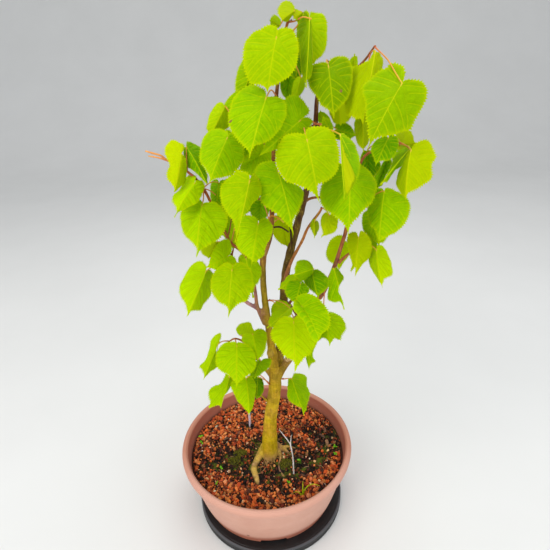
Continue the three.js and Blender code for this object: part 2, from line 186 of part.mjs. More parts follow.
    { via: [[69.4,-20,488.7],[72.3,-48,490.9]], base: [75.3,-82.8,490.8], tip: [74.1,-127.7,447.9], sides: [[82.9,-111.1,464.1],[88.9,-93.4,474.1]], up: [-0.34,-0.659,0.671], tint: 0.95, yellow: 0 }, // d3
  ] },
  { node: "leaf_far_right_large", root: [117.7,2,558.4], bud: [117.8,-0.3,557.7], leaves: [
    { via: [[118.4,-14,553.8],[121.6,-36,545.5],[124.7,-50,535.9]], base: [128.6,-60,527], tip: [97.2,-83,477.6], sides: [[98.1,-44.5,520.8],[146.9,-62.3,508.2]], up: [-0.151,-0.856,0.495], tint: 1.0, yellow: 0, mid: [-0.1,0.3], rim: [[0,0],[-0.257,-0.252],[-0.604,-0.272],[-0.837,-0.105],[-1.001,0.193],[-0.682,0.401],[-0.588,0.501],[-0.024,0.905],[0,1],[0.073,0.852],[0.611,0.717],[0.99,0.604],[1,0.254],[0.819,0.002],[0.418,-0.104],[0.182,-0.078]] }, // e1
  ] },
  { node: "leaf_upper_right_folded", root: [114,3.3,553.3], bud: [113.7,1.1,552.2], leaves: [
    { via: [], base: [114.8,-15.5,553.6], tip: [99.4,-53.7,494.8], sides: [[88.8,-13.3,514.3],[122.9,-12.4,540.1]], up: [-0.11,-0.798,0.593], tint: 0.9, yellow: 0.6, mid: [0,0.35], rim: [[0,0],[-0.112,-0.046],[-0.16,0.063],[-0.545,-0.036],[-0.769,-0.145],[-0.967,-0.174],[-0.971,0.196],[-0.723,0.607],[0,1],[0.228,0.927],[0.328,0.823],[0.413,0.586],[0.961,0.351],[1,0.241],[0.808,0.137],[0.419,0.049]] }, // e2
    { via: [], base: [107.3,-7.2,501.4], tip: [105.9,-30.4,468.3], sides: [[100.9,-4.1,487.2],[116.8,-3.2,487.3]], up: [-0.098,-0.797,0.596], tint: 0.9, yellow: 0.8, mid: [0,0.3], rim: [[0,0],[-0.262,-0.138],[-0.571,-0.084],[-0.789,0.08],[-1,0.409],[-0.829,0.598],[0,1],[0.758,0.625],[0.966,0.325],[0.999,0.019],[0.706,-0.159],[0.366,-0.152]] }, // e5
  ] },
  { node: "leaf_upper_right", root: [83.5,9.6,541.2], bud: [84.4,9.2,537.6], leaves: [
    { via: [], base: [103.4,25.2,534.2], tip: [100.3,6.7,552.9], sides: [[99.2,29,542.8],[107.3,26,542.5]], up: [-0.076,-0.65,-0.756], tint: 0.9, yellow: 0, mid: [0,0.3], rim: [[0,0],[-0.842,-0.012],[-1,0.29],[-0.746,0.62],[-0.366,0.855],[0,1],[0.551,0.82],[0.749,0.597],[0.999,0.237],[0.959,-0.109]] }, // e3
    { via: [], base: [86.5,12.4,520.2], tip: [87.2,-9,489.4], sides: [[79.3,14.5,501.8],[99.5,9.1,503.4]], up: [-0.257,-0.797,0.546], tint: 0.9, yellow: 0.9 }, // ey
    { via: [[72.5,-8,548.1]], base: [72.5,-20,542.4], tip: [74.8,-47.8,498.8], sides: [[54.7,-20.4,528.7],[94.5,-21,534.1]], up: [-0.111,-0.838,0.535], tint: 0.8, yellow: 0, mid: [0,0.3], rim: [[0,0],[-0.233,-0.103],[-0.861,-0.084],[-1,0.215],[-0.915,0.37],[-0.546,0.697],[-0.124,0.856],[0,1],[0.135,0.873],[0.585,0.695],[0.793,0.56],[0.941,0.335],[1,0.126],[0.779,-0.122],[0.418,-0.188],[0.232,-0.149]] }, // e4
  ] },
  { node: "leaf_right_upper_small", root: [133.1,-34.6,475.4], bud: [134.6,-35.8,477.6], leaves: [
    { via: [], base: [123,-51.2,482.9], tip: [109.7,-65.5,460.9], sides: [[108.3,-50,474.5],[131,-55.3,473.9]], up: [-0.157,-0.773,0.614], tint: 0.9, yellow: 0, mid: [0,0.3], rim: [[0,0],[-0.299,-0.12],[-0.906,-0.05],[-0.951,0.275],[-0.339,0.714],[0,1],[0.069,0.867],[0.859,0.64],[1,0.307],[0.931,0.114],[0.48,-0.139],[0.037,-0.125]] }, // f1
    { via: [], base: [148.4,-0.6,470], tip: [155.4,-31,474.5], sides: [[158.4,12.1,483],[157.2,-9.1,460.2]], up: [-0.95,-0.309,0.045], tint: 0.85, yellow: 0.7, mid: [0,0.3], rim: [[0,0],[-0.656,-0.578],[-0.933,-0.484],[-1.001,-0.148],[-0.944,0.336],[-0.78,0.584],[0,1],[0.78,0.584],[0.944,0.336],[1.001,-0.148],[0.933,-0.484],[0.656,-0.578]] }, // f2
    { via: [], base: [144.4,-46,472], tip: [113,-74.2,446.7], sides: [[125.5,-33.3,452.9],[138.6,-49,459.6]], up: [0.084,-0.705,0.704], tint: 0.8, yellow: 0, mid: [0.05,0.3], rim: [[0,0],[-0.387,-0.277],[-0.828,-0.458],[-1.01,-0.439],[-0.94,-0.253],[-0.809,-0.041],[-0.512,0.28],[-0.233,0.53],[-0.049,0.835],[0,1],[0.542,0.866],[0.903,0.736],[0.736,0.511],[0.994,0.358],[0.963,0.205],[0.533,0.123]] }, // f4
  ] },
  { node: "leaf_far_right_folded", root: [137.4,-36,474.5], bud: [137.4,-38.4,475.1], leaves: [
    { via: [[137.5,-42,476.1],[141.6,-50,474.9]], base: [140.5,-63.1,473.7], tip: [132.2,-88.2,436.1], sides: [[135.5,-46.6,452.6],[162.2,-63.7,461.8]], up: [-0.556,-0.62,0.554], tint: 0.95, yellow: 0, mid: [0,0.3], rim: [[0,0],[0.298,-0.201],[0.615,-0.207],[0.884,-0.021],[1,0.111],[0.884,0.319],[0.972,0.501],[0.9,0.605],[0.571,0.734],[0.157,0.855],[0,1],[-0.529,0.779],[-0.995,0.483],[-0.957,0.371],[-0.445,0.196],[-0.224,-0.029]] }, // f3
  ] },
  { node: "leaf_right_olive", root: [120.9,-31.7,472.7], bud: [121.3,-29,472.8], leaves: [
    { via: [], base: [140.9,11.6,453.4], tip: [133.2,23.4,420.1], sides: [[129.1,7.3,443],[141.9,2.9,445.2]], up: [-0.287,-0.904,-0.316], tint: 0.4, yellow: 0, mid: [0,0.3], rim: [[0,0],[-0.541,-0.02],[-0.775,0.303],[-1,0.449],[-0.682,0.685],[0,1],[0.577,0.907],[0.754,0.686],[0.675,0.445],[0.999,0.281],[0.934,0.104],[0.517,-0.004]] }, // f5
    { via: [], base: [117.1,6.1,463.6], tip: [124.3,20.6,430.6], sides: [[110.1,4.2,453.8],[130.4,-1.4,452.6]], up: [-0.099,-0.895,-0.434], tint: 0.35, yellow: 0, mid: [0,0.3], rim: [[0,0],[-0.38,-0.039],[-0.808,0.07],[-1,0.24],[-0.947,0.465],[-0.485,0.701],[0,1],[0.829,0.493],[1,0.317],[0.726,0.128],[0.486,0.008],[0.233,-0.046]] }, // f6
  ] },
  { node: "leaf_right_large", root: [100.1,-30,443.9], bud: [98.9,-32.5,445.8], leaves: [
    { via: [[94.6,-42,454]], base: [90.4,-50.2,453.4], tip: [82.9,-97.2,407.5], sides: [[62.2,-55.6,429.8],[113.2,-55.3,435.1]], up: [-0.063,-0.689,0.722], tint: 1.0, yellow: 0, mid: [0,0.3], rim: [[0,0],[-0.29,-0.228],[-0.462,-0.27],[-0.784,-0.186],[-0.915,-0.09],[-1,0.174],[-0.945,0.314],[-0.659,0.531],[-0.18,0.786],[0,1],[0.07,0.839],[0.834,0.449],[0.988,0.204],[0.946,-0.051],[0.823,-0.146],[0.445,-0.196]] }, // f8
  ] },
  { node: "leaf_right_lower", root: [97.1,-29.2,423.1], bud: [100.2,-29,422.7], leaves: [
    { via: [[111.6,-36,424.4],[121.4,-42,432.4]], base: [125,-43.6,433.6], tip: [114.4,-79.8,392.4], sides: [[109.7,-42.3,417.3],[147.5,-52.3,423.5]], up: [-0.315,-0.653,0.689], tint: 0.95, yellow: 0, mid: [0,0.3], rim: [[0,0],[-0.232,-0.074],[-0.495,-0.095],[-0.707,-0.057],[-0.939,0.156],[-0.998,0.275],[-0.784,0.525],[-0.551,0.642],[-0.278,0.727],[0,1],[0.725,0.737],[0.874,0.64],[1,0.39],[0.962,0.273],[0.686,0.091],[0.262,-0.049]] }, // f9
    { via: [], base: [122,-13,402.2], tip: [126.1,-37,375.4], sides: [[113.9,-10.2,388.5],[135.7,-21.7,387.1]], up: [-0.345,-0.725,0.596], tint: 0.6, yellow: 0 }, // f10
  ] },
  { node: "leaf_mid_small", root: [67.4,-27,414.3], bud: [67.1,-29.6,414.7], leaves: [
    { via: [], base: [59,-45,406.1], tip: [56.9,-62.9,395], sides: [[54.8,-43.1,395.9],[63.4,-42.5,394.3]], up: [-0.028,-0.651,0.758], tint: 1.0, yellow: 0, mid: [0,0.3], rim: [[0,0],[-0.081,-0.169],[-0.662,-0.269],[-1,-0.173],[-0.725,0.264],[-0.229,0.651],[0,1],[0.3,0.721],[0.505,0.472],[0.89,0.024],[1,-0.315],[0.624,-0.333]] }, // i1
    { via: [], base: [72.2,-52.1,413.8], tip: [61.6,-75.4,399.4], sides: [[63.3,-46.2,404.4],[79.2,-55.8,404.6]], up: [-0.169,-0.476,0.863], tint: 0.95, yellow: 0, mid: [0.35,0.35], rim: [[0,0],[-0.588,-0.254],[-1.022,-0.232],[-1.008,0.029],[-0.578,0.392],[0.082,0.798],[0,1],[0.818,0.649],[0.997,0.503],[0.857,0.043],[0.577,-0.103],[0.161,-0.164]] }, // i2
  ] },
  { node: "leaf_right_bent", root: [105.3,-25.4,373], bud: [108,-27.1,374.2], leaves: [
    { via: [], base: [103.3,-41.2,387.3], tip: [96.7,-66.4,355.3], sides: [[93.2,-36.7,373.1],[117.5,-37.6,376.7]], up: [-0.226,-0.739,0.635], tint: 0.85, yellow: 0, mid: [0.15,0.5], rim: [[0,0],[-0.69,-0.182],[-1,-0.005],[-0.323,0.71],[-0.505,0.863],[0.021,0.767],[0,1],[0.437,0.731],[0.925,0.558],[1,0.404],[0.761,0.03],[0.16,-0.161]] }, // i3
    { via: [], base: [119.1,-13.5,370.3], tip: [125,-36.3,371.6], sides: [[125.7,-15.2,377.4],[119.7,-17.4,361.4]], up: [-0.872,-0.307,0.381], tint: 0.6, yellow: 0, mid: [0,0.3], rim: [[0,0],[-0.375,-0.462],[-0.799,-0.565],[-1,-0.233],[-0.92,0.322],[-0.563,0.723],[0,1],[0.563,0.723],[0.92,0.322],[1,-0.233],[0.799,-0.565],[0.375,-0.462]] }, // i4
    { via: [[111.3,-32,375.3],[117.4,-37,376.1]], base: [120.9,-45.6,374.7], tip: [120.2,-81.7,349.8], sides: [[116.9,-43.8,358.3],[134.5,-59.4,361.1]], up: [-0.551,-0.481,0.682], tint: 1.0, yellow: 0, mid: [0,0.3], rim: [[0,0],[-0.471,-0.099],[-0.96,-0.127],[-0.966,0.249],[-0.829,0.446],[-0.518,0.642],[-0.182,0.798],[0,1],[0.233,0.748],[0.83,0.516],[1,0.397],[0.985,0.249],[0.884,0.086],[0.561,-0.173],[0.372,-0.229],[0.17,-0.151]] }, // i5
  ] },
  { node: "leaf_mid_olive", root: [88.9,-25.3,372.2], bud: [89.7,-21.8,372.7], leaves: [
    { via: [], base: [97.4,12.8,364.5], tip: [92,4.9,328.6], sides: [[77.6,6.6,353.3],[103.9,5.6,355]], up: [-0.184,-0.96,0.211], tint: 0.45, yellow: 0, mid: [0,0.3], rim: [[0,0],[-0.43,-0.197],[-0.892,-0.048],[-1,0.258],[-0.902,0.436],[-0.125,0.808],[0,1],[0.154,0.83],[0.852,0.473],[1,0.298],[0.833,0.139],[0.424,0.008]] }, // i6
  ] },
  { node: "leaf_low_right_top", root: [58.3,-15.5,334.7], bud: [57.4,-18.2,336.9], leaves: [
    { via: [], base: [59.3,-35.7,351.9], tip: [36.6,-59.7,356.1], sides: [[47,-24.5,357.7],[49.4,-37.6,340.9]], up: [0.701,-0.624,0.345], tint: 0.85, yellow: 0, mid: [0,0.3], rim: [[0,0],[-0.638,-0.038],[-0.884,0.085],[-1,0.271],[-0.924,0.499],[-0.616,0.718],[0,1],[0.616,0.718],[0.924,0.499],[1,0.271],[0.884,0.085],[0.638,-0.038]] }, // j1
    { via: [], base: [60.5,-25.7,347.2], tip: [21,-48.6,335.1], sides: [[35.9,-17.3,337.2],[48.1,-28.5,337.6]], up: [0.331,-0.742,0.583], tint: 0.9, yellow: 0, mid: [-0.25,0.5], rim: [[0,0],[-0.329,0.033],[-0.381,0.199],[-0.575,0.291],[-1,0.305],[-0.963,0.439],[-0.505,0.69],[-0.223,0.88],[0,1],[0.843,0.809],[0.845,0.706],[0.2,0.577],[1,0.329],[0.694,0.23],[0.319,0.132]] }, // j2
    { via: [], base: [59.4,-21.4,342.4], tip: [62.4,-56.5,327.2], sides: [[50.2,-18.6,323.3],[74.8,-27.1,339.6]], up: [-0.452,-0.314,0.835], tint: 0.4, yellow: 0, mid: [0,0.3], rim: [[0,0],[-0.411,-0.173],[-0.741,-0.206],[-1.01,-0.123],[-0.892,0.147],[-0.571,0.465],[-0.055,0.859],[0,1],[0.871,0.666],[0.999,0.472],[0.845,0.248],[0.279,-0.073]] }, // j4
  ] },
  { node: "leaf_low_right_a", root: [47.8,-6,311.5], bud: [46.7,-8.9,313.7], leaves: [
    { via: [], base: [44.3,-51.7,342], tip: [37,-80.2,333.6], sides: [[29,-55.2,339.1],[52.1,-53.9,335.4]], up: [0.165,-0.24,0.957], tint: 0.95, yellow: 0, mid: [0,0.3], rim: [[0,0],[-0.174,-0.19],[-0.565,-0.234],[-0.87,-0.148],[-1,0.106],[-0.982,0.378],[-0.747,0.638],[0,1],[0.539,0.707],[0.956,0.461],[1,0.202],[0.184,-0.202]] }, // j3
  ] },
  { node: "leaf_low_right_b", root: [73,-14.7,316.7], bud: [73.3,-18.9,316.9], leaves: [
    { via: [], base: [79.3,-41.9,354.3], tip: [85.4,-77.5,325.1], sides: [[71.8,-35.7,337.2],[90.8,-43.5,341.2]], up: [-0.146,-0.568,0.81], tint: 0.8, yellow: 0, mid: [-0.35,0.45], rim: [[0,0],[-0.199,-0.014],[-0.779,0.331],[-0.944,0.493],[-1,0.657],[-0.843,0.759],[-0.531,0.814],[-0.182,0.814],[0,1],[0.109,0.898],[-0.101,0.634],[-0.033,0.521],[0.814,0.239],[0.999,0.106],[0.853,0.004],[0.498,-0.051]] }, // j6
    { via: [[72.2,-24,302.1]], base: [73.4,-44.9,298.3], tip: [71.5,-80.5,285], sides: [[61.8,-52.6,283.7],[91.6,-53.4,290.3]], up: [-0.198,-0.28,0.939], tint: 0.9, yellow: 0, mid: [0,0.3], rim: [[0,0],[-0.747,-0.021],[-1,0.127],[-0.914,0.548],[-0.523,0.594],[-0.047,0.841],[0,1],[0.267,0.762],[0.603,0.766],[0.961,0.384],[0.937,0.015],[0.297,-0.267]] }, // j10
  ] },
  { node: "leaf_low_right_large", root: [51.3,-4,284.1], bud: [50.3,-8.4,287.2], leaves: [
    { via: [[48,-34,308.4]], base: [42.9,-86.4,335.1], tip: [56.5,-117.7,317.7], sides: [[25.7,-76.5,347.5],[66.3,-89.7,333.1]], up: [0.164,-0.28,0.946], tint: 1.0, yellow: 0, mid: [0,0.3], rim: [[0,0],[-0.114,-0.178],[-0.864,0.69],[-0.99,1.143],[-0.55,1.23],[0,1],[0.492,0.851],[0.888,0.56],[0.997,0.205],[0.948,-0.137],[0.709,-0.378],[0.037,-0.312]] }, // j8
  ] },
  { node: "leaf_low_centre_large", root: [25.7,12.1,259.2], bud: [29.6,6.5,263.9], leaves: [
    { via: [[31.6,-10,288.4],[36.2,-40,299.7]], base: [35.9,-72.3,310], tip: [34,-120.9,284.9], sides: [[12.9,-79.9,298.7],[59.1,-80.1,299.4]], up: [-0.021,-0.461,0.887], tint: 1.0, yellow: 0, mid: [0.2,0.5], rim: [[0,0],[-0.343,-0.155],[-0.756,-0.094],[-0.892,-0.013],[-1,0.197],[-0.852,0.398],[-0.439,0.682],[-0.024,0.825],[0,1],[0.314,0.773],[0.594,0.702],[0.903,0.475],[1,0.23],[0.957,0.126],[0.499,-0.112],[0.194,-0.147]] }, // j9
    { via: [], base: [57.3,-17.7,256.6], tip: [53.1,-54.2,236.4], sides: [[48,-22.2,245.6],[64.4,-26.6,248.9]], up: [-0.193,-0.416,0.889], tint: 0.7, yellow: 0, mid: [-0.35,0.5], rim: [[0,0],[-0.757,-0.19],[-0.996,-0.009],[-0.812,0.299],[-0.189,0.8],[0,1],[0.35,0.801],[0.884,0.713],[0.549,0.642],[0.445,0.534],[0.998,0.054],[0.681,-0.125]] }, // l2
  ] },
  { node: "leaf_low_centre_upper", root: [6.1,-4,299.2], bud: [10.8,-5.7,300.5], leaves: [
    { via: [], base: [33.6,-39.6,308.2], tip: [8.7,-69.9,302.5], sides: [[18.4,-34.8,302.4],[26.7,-41.3,292.1]], up: [0.474,-0.524,0.708], tint: 0.95, yellow: 0 }, // l3
    { via: [], base: [18.4,-2.1,294.3], tip: [32.6,-32,291.5], sides: [[31.6,-0.5,293.6],[15.8,-11.9,281.8]], up: [-0.432,-0.285,0.856], tint: 0.7, yellow: 0 }, // l5
  ] },
  { node: "leaf_lowest_right", root: [17.8,-6.7,189.6], bud: [24.2,-9.4,190.7], leaves: [
    { via: [[30.6,-12,193.2]], base: [34.4,-28.1,205.8], tip: [46.3,-73.7,188.7], sides: [[29.3,-35,190.9],[60.4,-37.1,179.8]], up: [-0.128,-0.424,0.896], tint: 0.85, yellow: 0, mid: [0.3,0.3], rim: [[0,0],[-0.439,-0.037],[-0.649,0.1],[-1,0.391],[-0.953,0.508],[-0.621,0.652],[0.043,0.824],[0,1],[0.299,0.7],[0.756,0.268],[0.872,0.114],[0.815,-0.146],[1.001,-0.441],[0.864,-0.468],[0.609,-0.406],[0.312,-0.266]] }, // l4
  ] },
  { node: "leaf_lower_left_narrow", root: [-37.8,-20,255.5], bud: [-38.6,-21.6,256.9], leaves: [
    { via: [], base: [-47.7,-38.7,264.7], tip: [-60.8,-78.7,246.3], sides: [[-64.3,-40.4,251.5],[-48.3,-42.9,246.2]], up: [0.329,-0.499,0.802], tint: 0.95, yellow: 0, mid: [-0.25,0.4], rim: [[0,0],[-0.036,-0.231],[-0.265,-0.368],[-0.535,-0.394],[-0.766,-0.148],[-0.621,0.084],[-0.612,0.394],[-1,0.571],[-0.149,0.841],[0,1],[0.463,0.686],[0.894,0.526],[1,0.373],[0.685,0.274],[0.144,0.223],[-0.051,0.105]] }, // k1
  ] },
  { node: "leaf_lower_left_large", root: [-30.6,-19,258.7], bud: [-30.3,-21.3,259.6], leaves: [
    { via: [[-27.6,-38,266.2]], base: [-24.9,-57.2,274.2], tip: [-24.1,-97.9,249], sides: [[-46.1,-66,265.3],[-4.1,-65.2,261.7]], up: [0.079,-0.507,0.858], tint: 1.0, yellow: 0, mid: [0,0.3], rim: [[0,0],[-0.093,-0.077],[-0.507,-0.119],[-0.736,-0.066],[-0.977,0.142],[-0.977,0.441],[-0.844,0.544],[-0.22,0.768],[0,1],[0.313,0.767],[0.758,0.588],[0.937,0.467],[1,0.315],[0.951,0.168],[0.573,-0.043],[0.111,-0.082]] }, // k2
  ] },
  { node: "leaf_lower_left_group", root: [-14.8,-16.3,242.1], bud: [-14.9,-19.1,244.1], leaves: [
    { via: [], base: [-24.9,-2.9,253.6], tip: [-5.2,-21.2,268.4], sides: [[-23.2,1.8,266.7],[-10.8,-4.4,249.7]], up: [-0.541,-0.831,-0.133], tint: 0.5, yellow: 0, mid: [0,0.3], rim: [[0,0],[-0.12,-0.198],[-0.489,-0.256],[-0.785,-0.069],[-1.001,0.606],[-0.825,0.824],[0,1],[0.825,0.824],[1.001,0.606],[0.785,-0.069],[0.489,-0.256],[0.12,-0.198]] }, // k3
    { via: [], base: [-9.1,-31,271.6], tip: [-2.9,-64.6,257.3], sides: [[-20,-39.1,263.3],[9.3,-35.7,258.7]], up: [0.075,-0.362,0.929], tint: 0.8, yellow: 0, mid: [0,0.3], rim: [[0,0],[-0.377,-0.088],[-0.797,-0.09],[-1,0.06],[-0.237,0.697],[0,1],[0.537,0.585],[0.763,0.295],[0.943,-0.057],[1.001,-0.361],[0.693,-0.364],[0.302,-0.211]] }, // k5
    { via: [], base: [-1,-31.5,234.8], tip: [-8.2,-64,234.4], sides: [[-10.1,-38,232],[7.5,-36.1,227.2]], up: [0.135,-0.093,0.986], tint: 0.6, yellow: 0, mid: [0,0.3], rim: [[0,0],[-0.718,-0.152],[-0.767,0.192],[-0.845,0.55],[-0.996,0.749],[0,1],[0.311,0.874],[0.541,0.622],[0.828,0.411],[1,0.068],[0.829,-0.294],[0.284,-0.244]] }, // k6
    { via: [[-28.3,-28,231.9],[-35.5,-33,224.4]], base: [-38.9,-34.4,215.8], tip: [-47.6,-65.7,196.3], sides: [[-62.8,-45.2,202.4],[-38.1,-44.2,204.6]], up: [0.168,-0.591,0.789], tint: 0.85, yellow: 0, mid: [-0.2,0.3], rim: [[0,0],[-0.272,-0.175],[-0.349,0.083],[-0.963,0.118],[-0.701,0.665],[-0.771,0.791],[-0.243,0.866],[0,1],[-0.035,0.67],[0.714,0.265],[1,0.016],[0.866,-0.13]] }, // k7
  ] },
  { node: "leaf_lowest_centre", root: [13.6,-6.3,177.2], bud: [6.6,-10.7,184.6], leaves: [
    { via: [[-2.5,-24,208],[-12,-38,220.1]], base: [-18.8,-43.7,220], tip: [-14.7,-83.5,200.2], sides: [[-35.3,-54,211.1],[-8.2,-45.5,204.4]], up: [0.326,-0.367,0.871], tint: 0.95, yellow: 0, mid: [0,0.3], rim: [[0,0],[-0.237,-0.099],[-0.565,-0.095],[-0.838,-0.027],[-1,0.105],[-0.915,0.284],[-0.773,0.457],[-0.626,0.606],[-0.42,0.704],[0,1],[0.276,0.86],[0.534,0.684],[0.731,0.484],[0.996,0.069],[0.805,-0.082],[0.397,-0.111]] }, // k8
    { via: [[4.2,-9,188]], base: [-6.5,-14,198.5], tip: [-8.1,-43.6,188.2], sides: [[-15.4,-17.4,185.8],[-0.5,-17.2,185.5]], up: [0.073,-0.545,0.835], tint: 0.35, yellow: 0, mid: [0,0.3], rim: [[0,0],[-0.53,-0.259],[-1,-0.211],[-0.805,0.239],[-0.542,0.659],[0,1],[0.618,0.734],[1,0.458],[0.993,0.156],[0.616,-0.073]] }, // k9
  ] },
  { node: "leaf_back_top", root: [16.4,42,551.7], bud: [17.5,43.3,553.4], leaves: [
    { via: [], base: [19.2,58,562.8], tip: [12.5,79.3,535.4], sides: [[3.4,57.8,558.7],[31.9,58.1,553.4]], up: [-0.103,-0.797,-0.596], tint: 0.8, yellow: 0 }, // ra
    { via: [], base: [31.7,50,559.1], tip: [42.2,69.2,533.9], sides: [[21,50.8,549.1],[46.9,49.3,556.6]], up: [0.119,-0.813,-0.57], tint: 0.8, yellow: 0 }, // ra2
  ] },
  { node: "leaf_back_left", root: [5.6,48,495.9], bud: [6.5,51,498], leaves: [
    { via: [], base: [-2.7,84,510.3], tip: [-18.3,102.1,476.3], sides: [[-21.8,82.2,508.4],[9.6,84.5,496.4]], up: [-0.1,-0.897,-0.432], tint: 0.8, yellow: 0 }, // rb1
    { via: [], base: [7,71,497.6], tip: [11.4,87.8,463.5], sides: [[-7.4,70.5,487.7],[23.7,71.6,491.8]], up: [0.088,-0.897,-0.433], tint: 0.8, yellow: 0 }, // rb2
    { via: [], base: [-25,66,473.1], tip: [-45.2,77.8,443.8], sides: [[-42.2,64.7,474.3],[-16.8,65.7,458.6]], up: [-0.14,-0.948,-0.286], tint: 0.8, yellow: 0 }, // rb3
  ] },
  { node: "leaf_back_centre", root: [58.7,60,452.1], bud: [59.7,61.5,453.9], leaves: [
    { via: [], base: [61.9,80,457.3], tip: [59.5,95.5,414.3], sides: [[42.3,81.3,449.6],[79.2,75.3,446.2]], up: [-0.181,-0.929,-0.324], tint: 0.8, yellow: 0 }, // rc
    { via: [], base: [67.5,63.5,459.6], tip: [86.2,74.4,428.2], sides: [[58,61.3,445.6],[84.8,60.7,460]], up: [0.118,-0.958,-0.262], tint: 0.8, yellow: 0 }, // rc2
  ] },
  { node: "leaf_back_right", root: [87.8,62,403.9], bud: [90.6,62.1,406.5], leaves: [
    { via: [], base: [112.3,92,407.6], tip: [125.5,100,366.7], sides: [[97.7,90,394.6],[131.2,86.7,403.6]], up: [-0.041,-0.978,-0.204], tint: 0.8, yellow: 0 }, // rd1
    { via: [], base: [108,64,402.2], tip: [125,69,374], sides: [[99.9,61.5,389.7],[122.7,60.3,403.1]], up: [0.038,-0.988,-0.151], tint: 0.8, yellow: 0 }, // rd2
  ] },
  { node: "leaf_back_centre_left", root: [-7.3,42,411.9], bud: [-6.5,44.1,413.1], leaves: [
    { via: [], base: [-12,60,414.2], tip: [-26.8,68.5,378.6], sides: [[-30.1,57.7,412.7],[-0.4,57.1,400.7]], up: [-0.098,-0.977,-0.191], tint: 0.8, yellow: 0 }, // re
    { via: [], base: [30,66,415.7], tip: [35.7,75.2,377.6], sides: [[15.3,62.9,405.4],[47.2,62.6,410.2]], up: [0.025,-0.973,-0.231], tint: 0.8, yellow: 0 }, // re2
  ] },
  { node: "leaf_back_low_centre", root: [47.8,58,238.9], bud: [47.5,58.3,236.1], leaves: [
    { via: [], base: [44.3,72,221], tip: [47,69.4,179.6], sides: [[27.8,67.5,212.2],[61.5,66.2,215.1]], up: [-0.044,-0.997,0.06], tint: 0.8, yellow: 0 }, // rf
    { via: [], base: [49.1,46,215.2], tip: [58.9,43.8,183.5], sides: [[38.3,40,205.9],[64.2,43.7,213.5]], up: [0.111,-0.988,0.104], tint: 0.8, yellow: 0 }, // rf2
  ] },
  { node: "leaf_back_low_left", root: [-28.2,40,301.2], bud: [-29.1,42.4,301.8], leaves: [
    { via: [], base: [-34.4,56,299.5], tip: [-43.2,56.5,261], sides: [[-51.7,52.3,295.6],[-20.4,51.7,288.6]], up: [-0.02,-1,-0.007], tint: 0.8, yellow: 0 }, // rg
  ] },
  { node: "leaf_back_lower_left", root: [-21.4,44,199.5], bud: [-23.1,46.1,198.9], leaves: [
    { via: [], base: [-30.7,56,190.4], tip: [-45.6,52.6,151.7], sides: [[-49.7,54,189.2],[-18.2,47.8,178.4]], up: [-0.143,-0.98,0.141], tint: 0.8, yellow: 0 }, // rh
  ] },
  { node: "leaf_back_upper_right", root: [140,64,521.5], bud: [139.5,64.8,523.7], leaves: [
    { via: [], base: [150.4,78,524.4], tip: [171.7,93.9,487.2], sides: [[137.9,81.3,510.1],[169.9,71.9,521.2]], up: [-0.108,-0.89,-0.443], tint: 0.8, yellow: 0 }, // ri
    { via: [], base: [134.5,50,519.1], tip: [129.6,71.1,488.6], sides: [[118.3,54.4,517.2],[146.4,47.3,506.9]], up: [-0.379,-0.789,-0.484], tint: 0.8, yellow: 0 }, // ri2
    { via: [], base: [122.4,88,532.4], tip: [122,107.8,503.1], sides: [[107.3,90.2,528.2],[135.4,85.6,522.8]], up: [-0.238,-0.806,-0.542], tint: 0.8, yellow: 0 }, // ri3
  ] },
];

// ---- helpers ----
const V = (p) => new THREE.Vector3(p[0], p[1], p[2]);

function toSolid(geometry) {
  const g = geometry.clone();
  g.deleteAttribute('normal');
  g.deleteAttribute('uv');
  const m = mergeVertices(g, 1e-4);
  const solid = new wasm.Manifold(new wasm.Mesh({
    numProp: 3,
    vertProperties: new Float32Array(m.attributes.position.array),
    triVerts: new Uint32Array(m.index.array),
  }));
  return solid.volume() < 0 ? flip(m) : solid;
}

function flip(m) {
  const t = new Uint32Array(m.index.array);
  for (let i = 0; i < t.length; i += 3) { const k = t[i + 1]; t[i + 1] = t[i + 2]; t[i + 2] = k; }
  return new wasm.Manifold(new wasm.Mesh({
    numProp: 3, vertProperties: new Float32Array(m.attributes.position.array), triVerts: t }));
}

function rawSolid(points, faces) {
  let vol = 0;
  for (const [a, b, c] of faces) vol += points[a].dot(new THREE.Vector3().crossVectors(points[b], points[c]));
  const tri = new Uint32Array(faces.length * 3);
  faces.forEach(([a, b, c], i) => { tri[3 * i] = a; tri[3 * i + 1] = vol < 0 ? c : b; tri[3 * i + 2] = vol < 0 ? b : c; });
  const pos = new Float32Array(points.length * 3);
  points.forEach((p, i) => p.toArray(pos, 3 * i));
  return new wasm.Manifold(new wasm.Mesh({ numProp: 3, vertProperties: pos, triVerts: tri }));
}

function fromSolid(solid) {
  const m = solid.getMesh();
  const g = new THREE.BufferGeometry();
  const n = m.numProp, count = m.vertProperties.length / n;
  const pos = new Float32Array(count * 3);
  for (let i = 0; i < count; i++) for (let k = 0; k < 3; k++) pos[3 * i + k] = m.vertProperties[n * i + k];
  g.setAttribute('position', new THREE.BufferAttribute(pos, 3));
  g.setIndex(new THREE.BufferAttribute(new Uint32Array(m.triVerts), 1));
  const out = mergeVertices(g, 1e-4);
  out.computeVertexNormals();
  return out;
}

// a turned solid about +Z from [radius, z] pairs
function turned(profile, sides) {
  const g = new THREE.LatheGeometry(profile.map(([r, z]) => new THREE.Vector2(r, z)), sides);
  g.rotateX(Math.PI / 2);
  return toSolid(g);
}

const unite = (list) => wasm.Manifold.union(list);

// the largest of the separate bodies that a cut may leave
function mainBody(solid) {
  const bodies = solid.decompose();
  bodies.sort((a, b) => b.volume() - a.volume());
  return bodies[0];
}

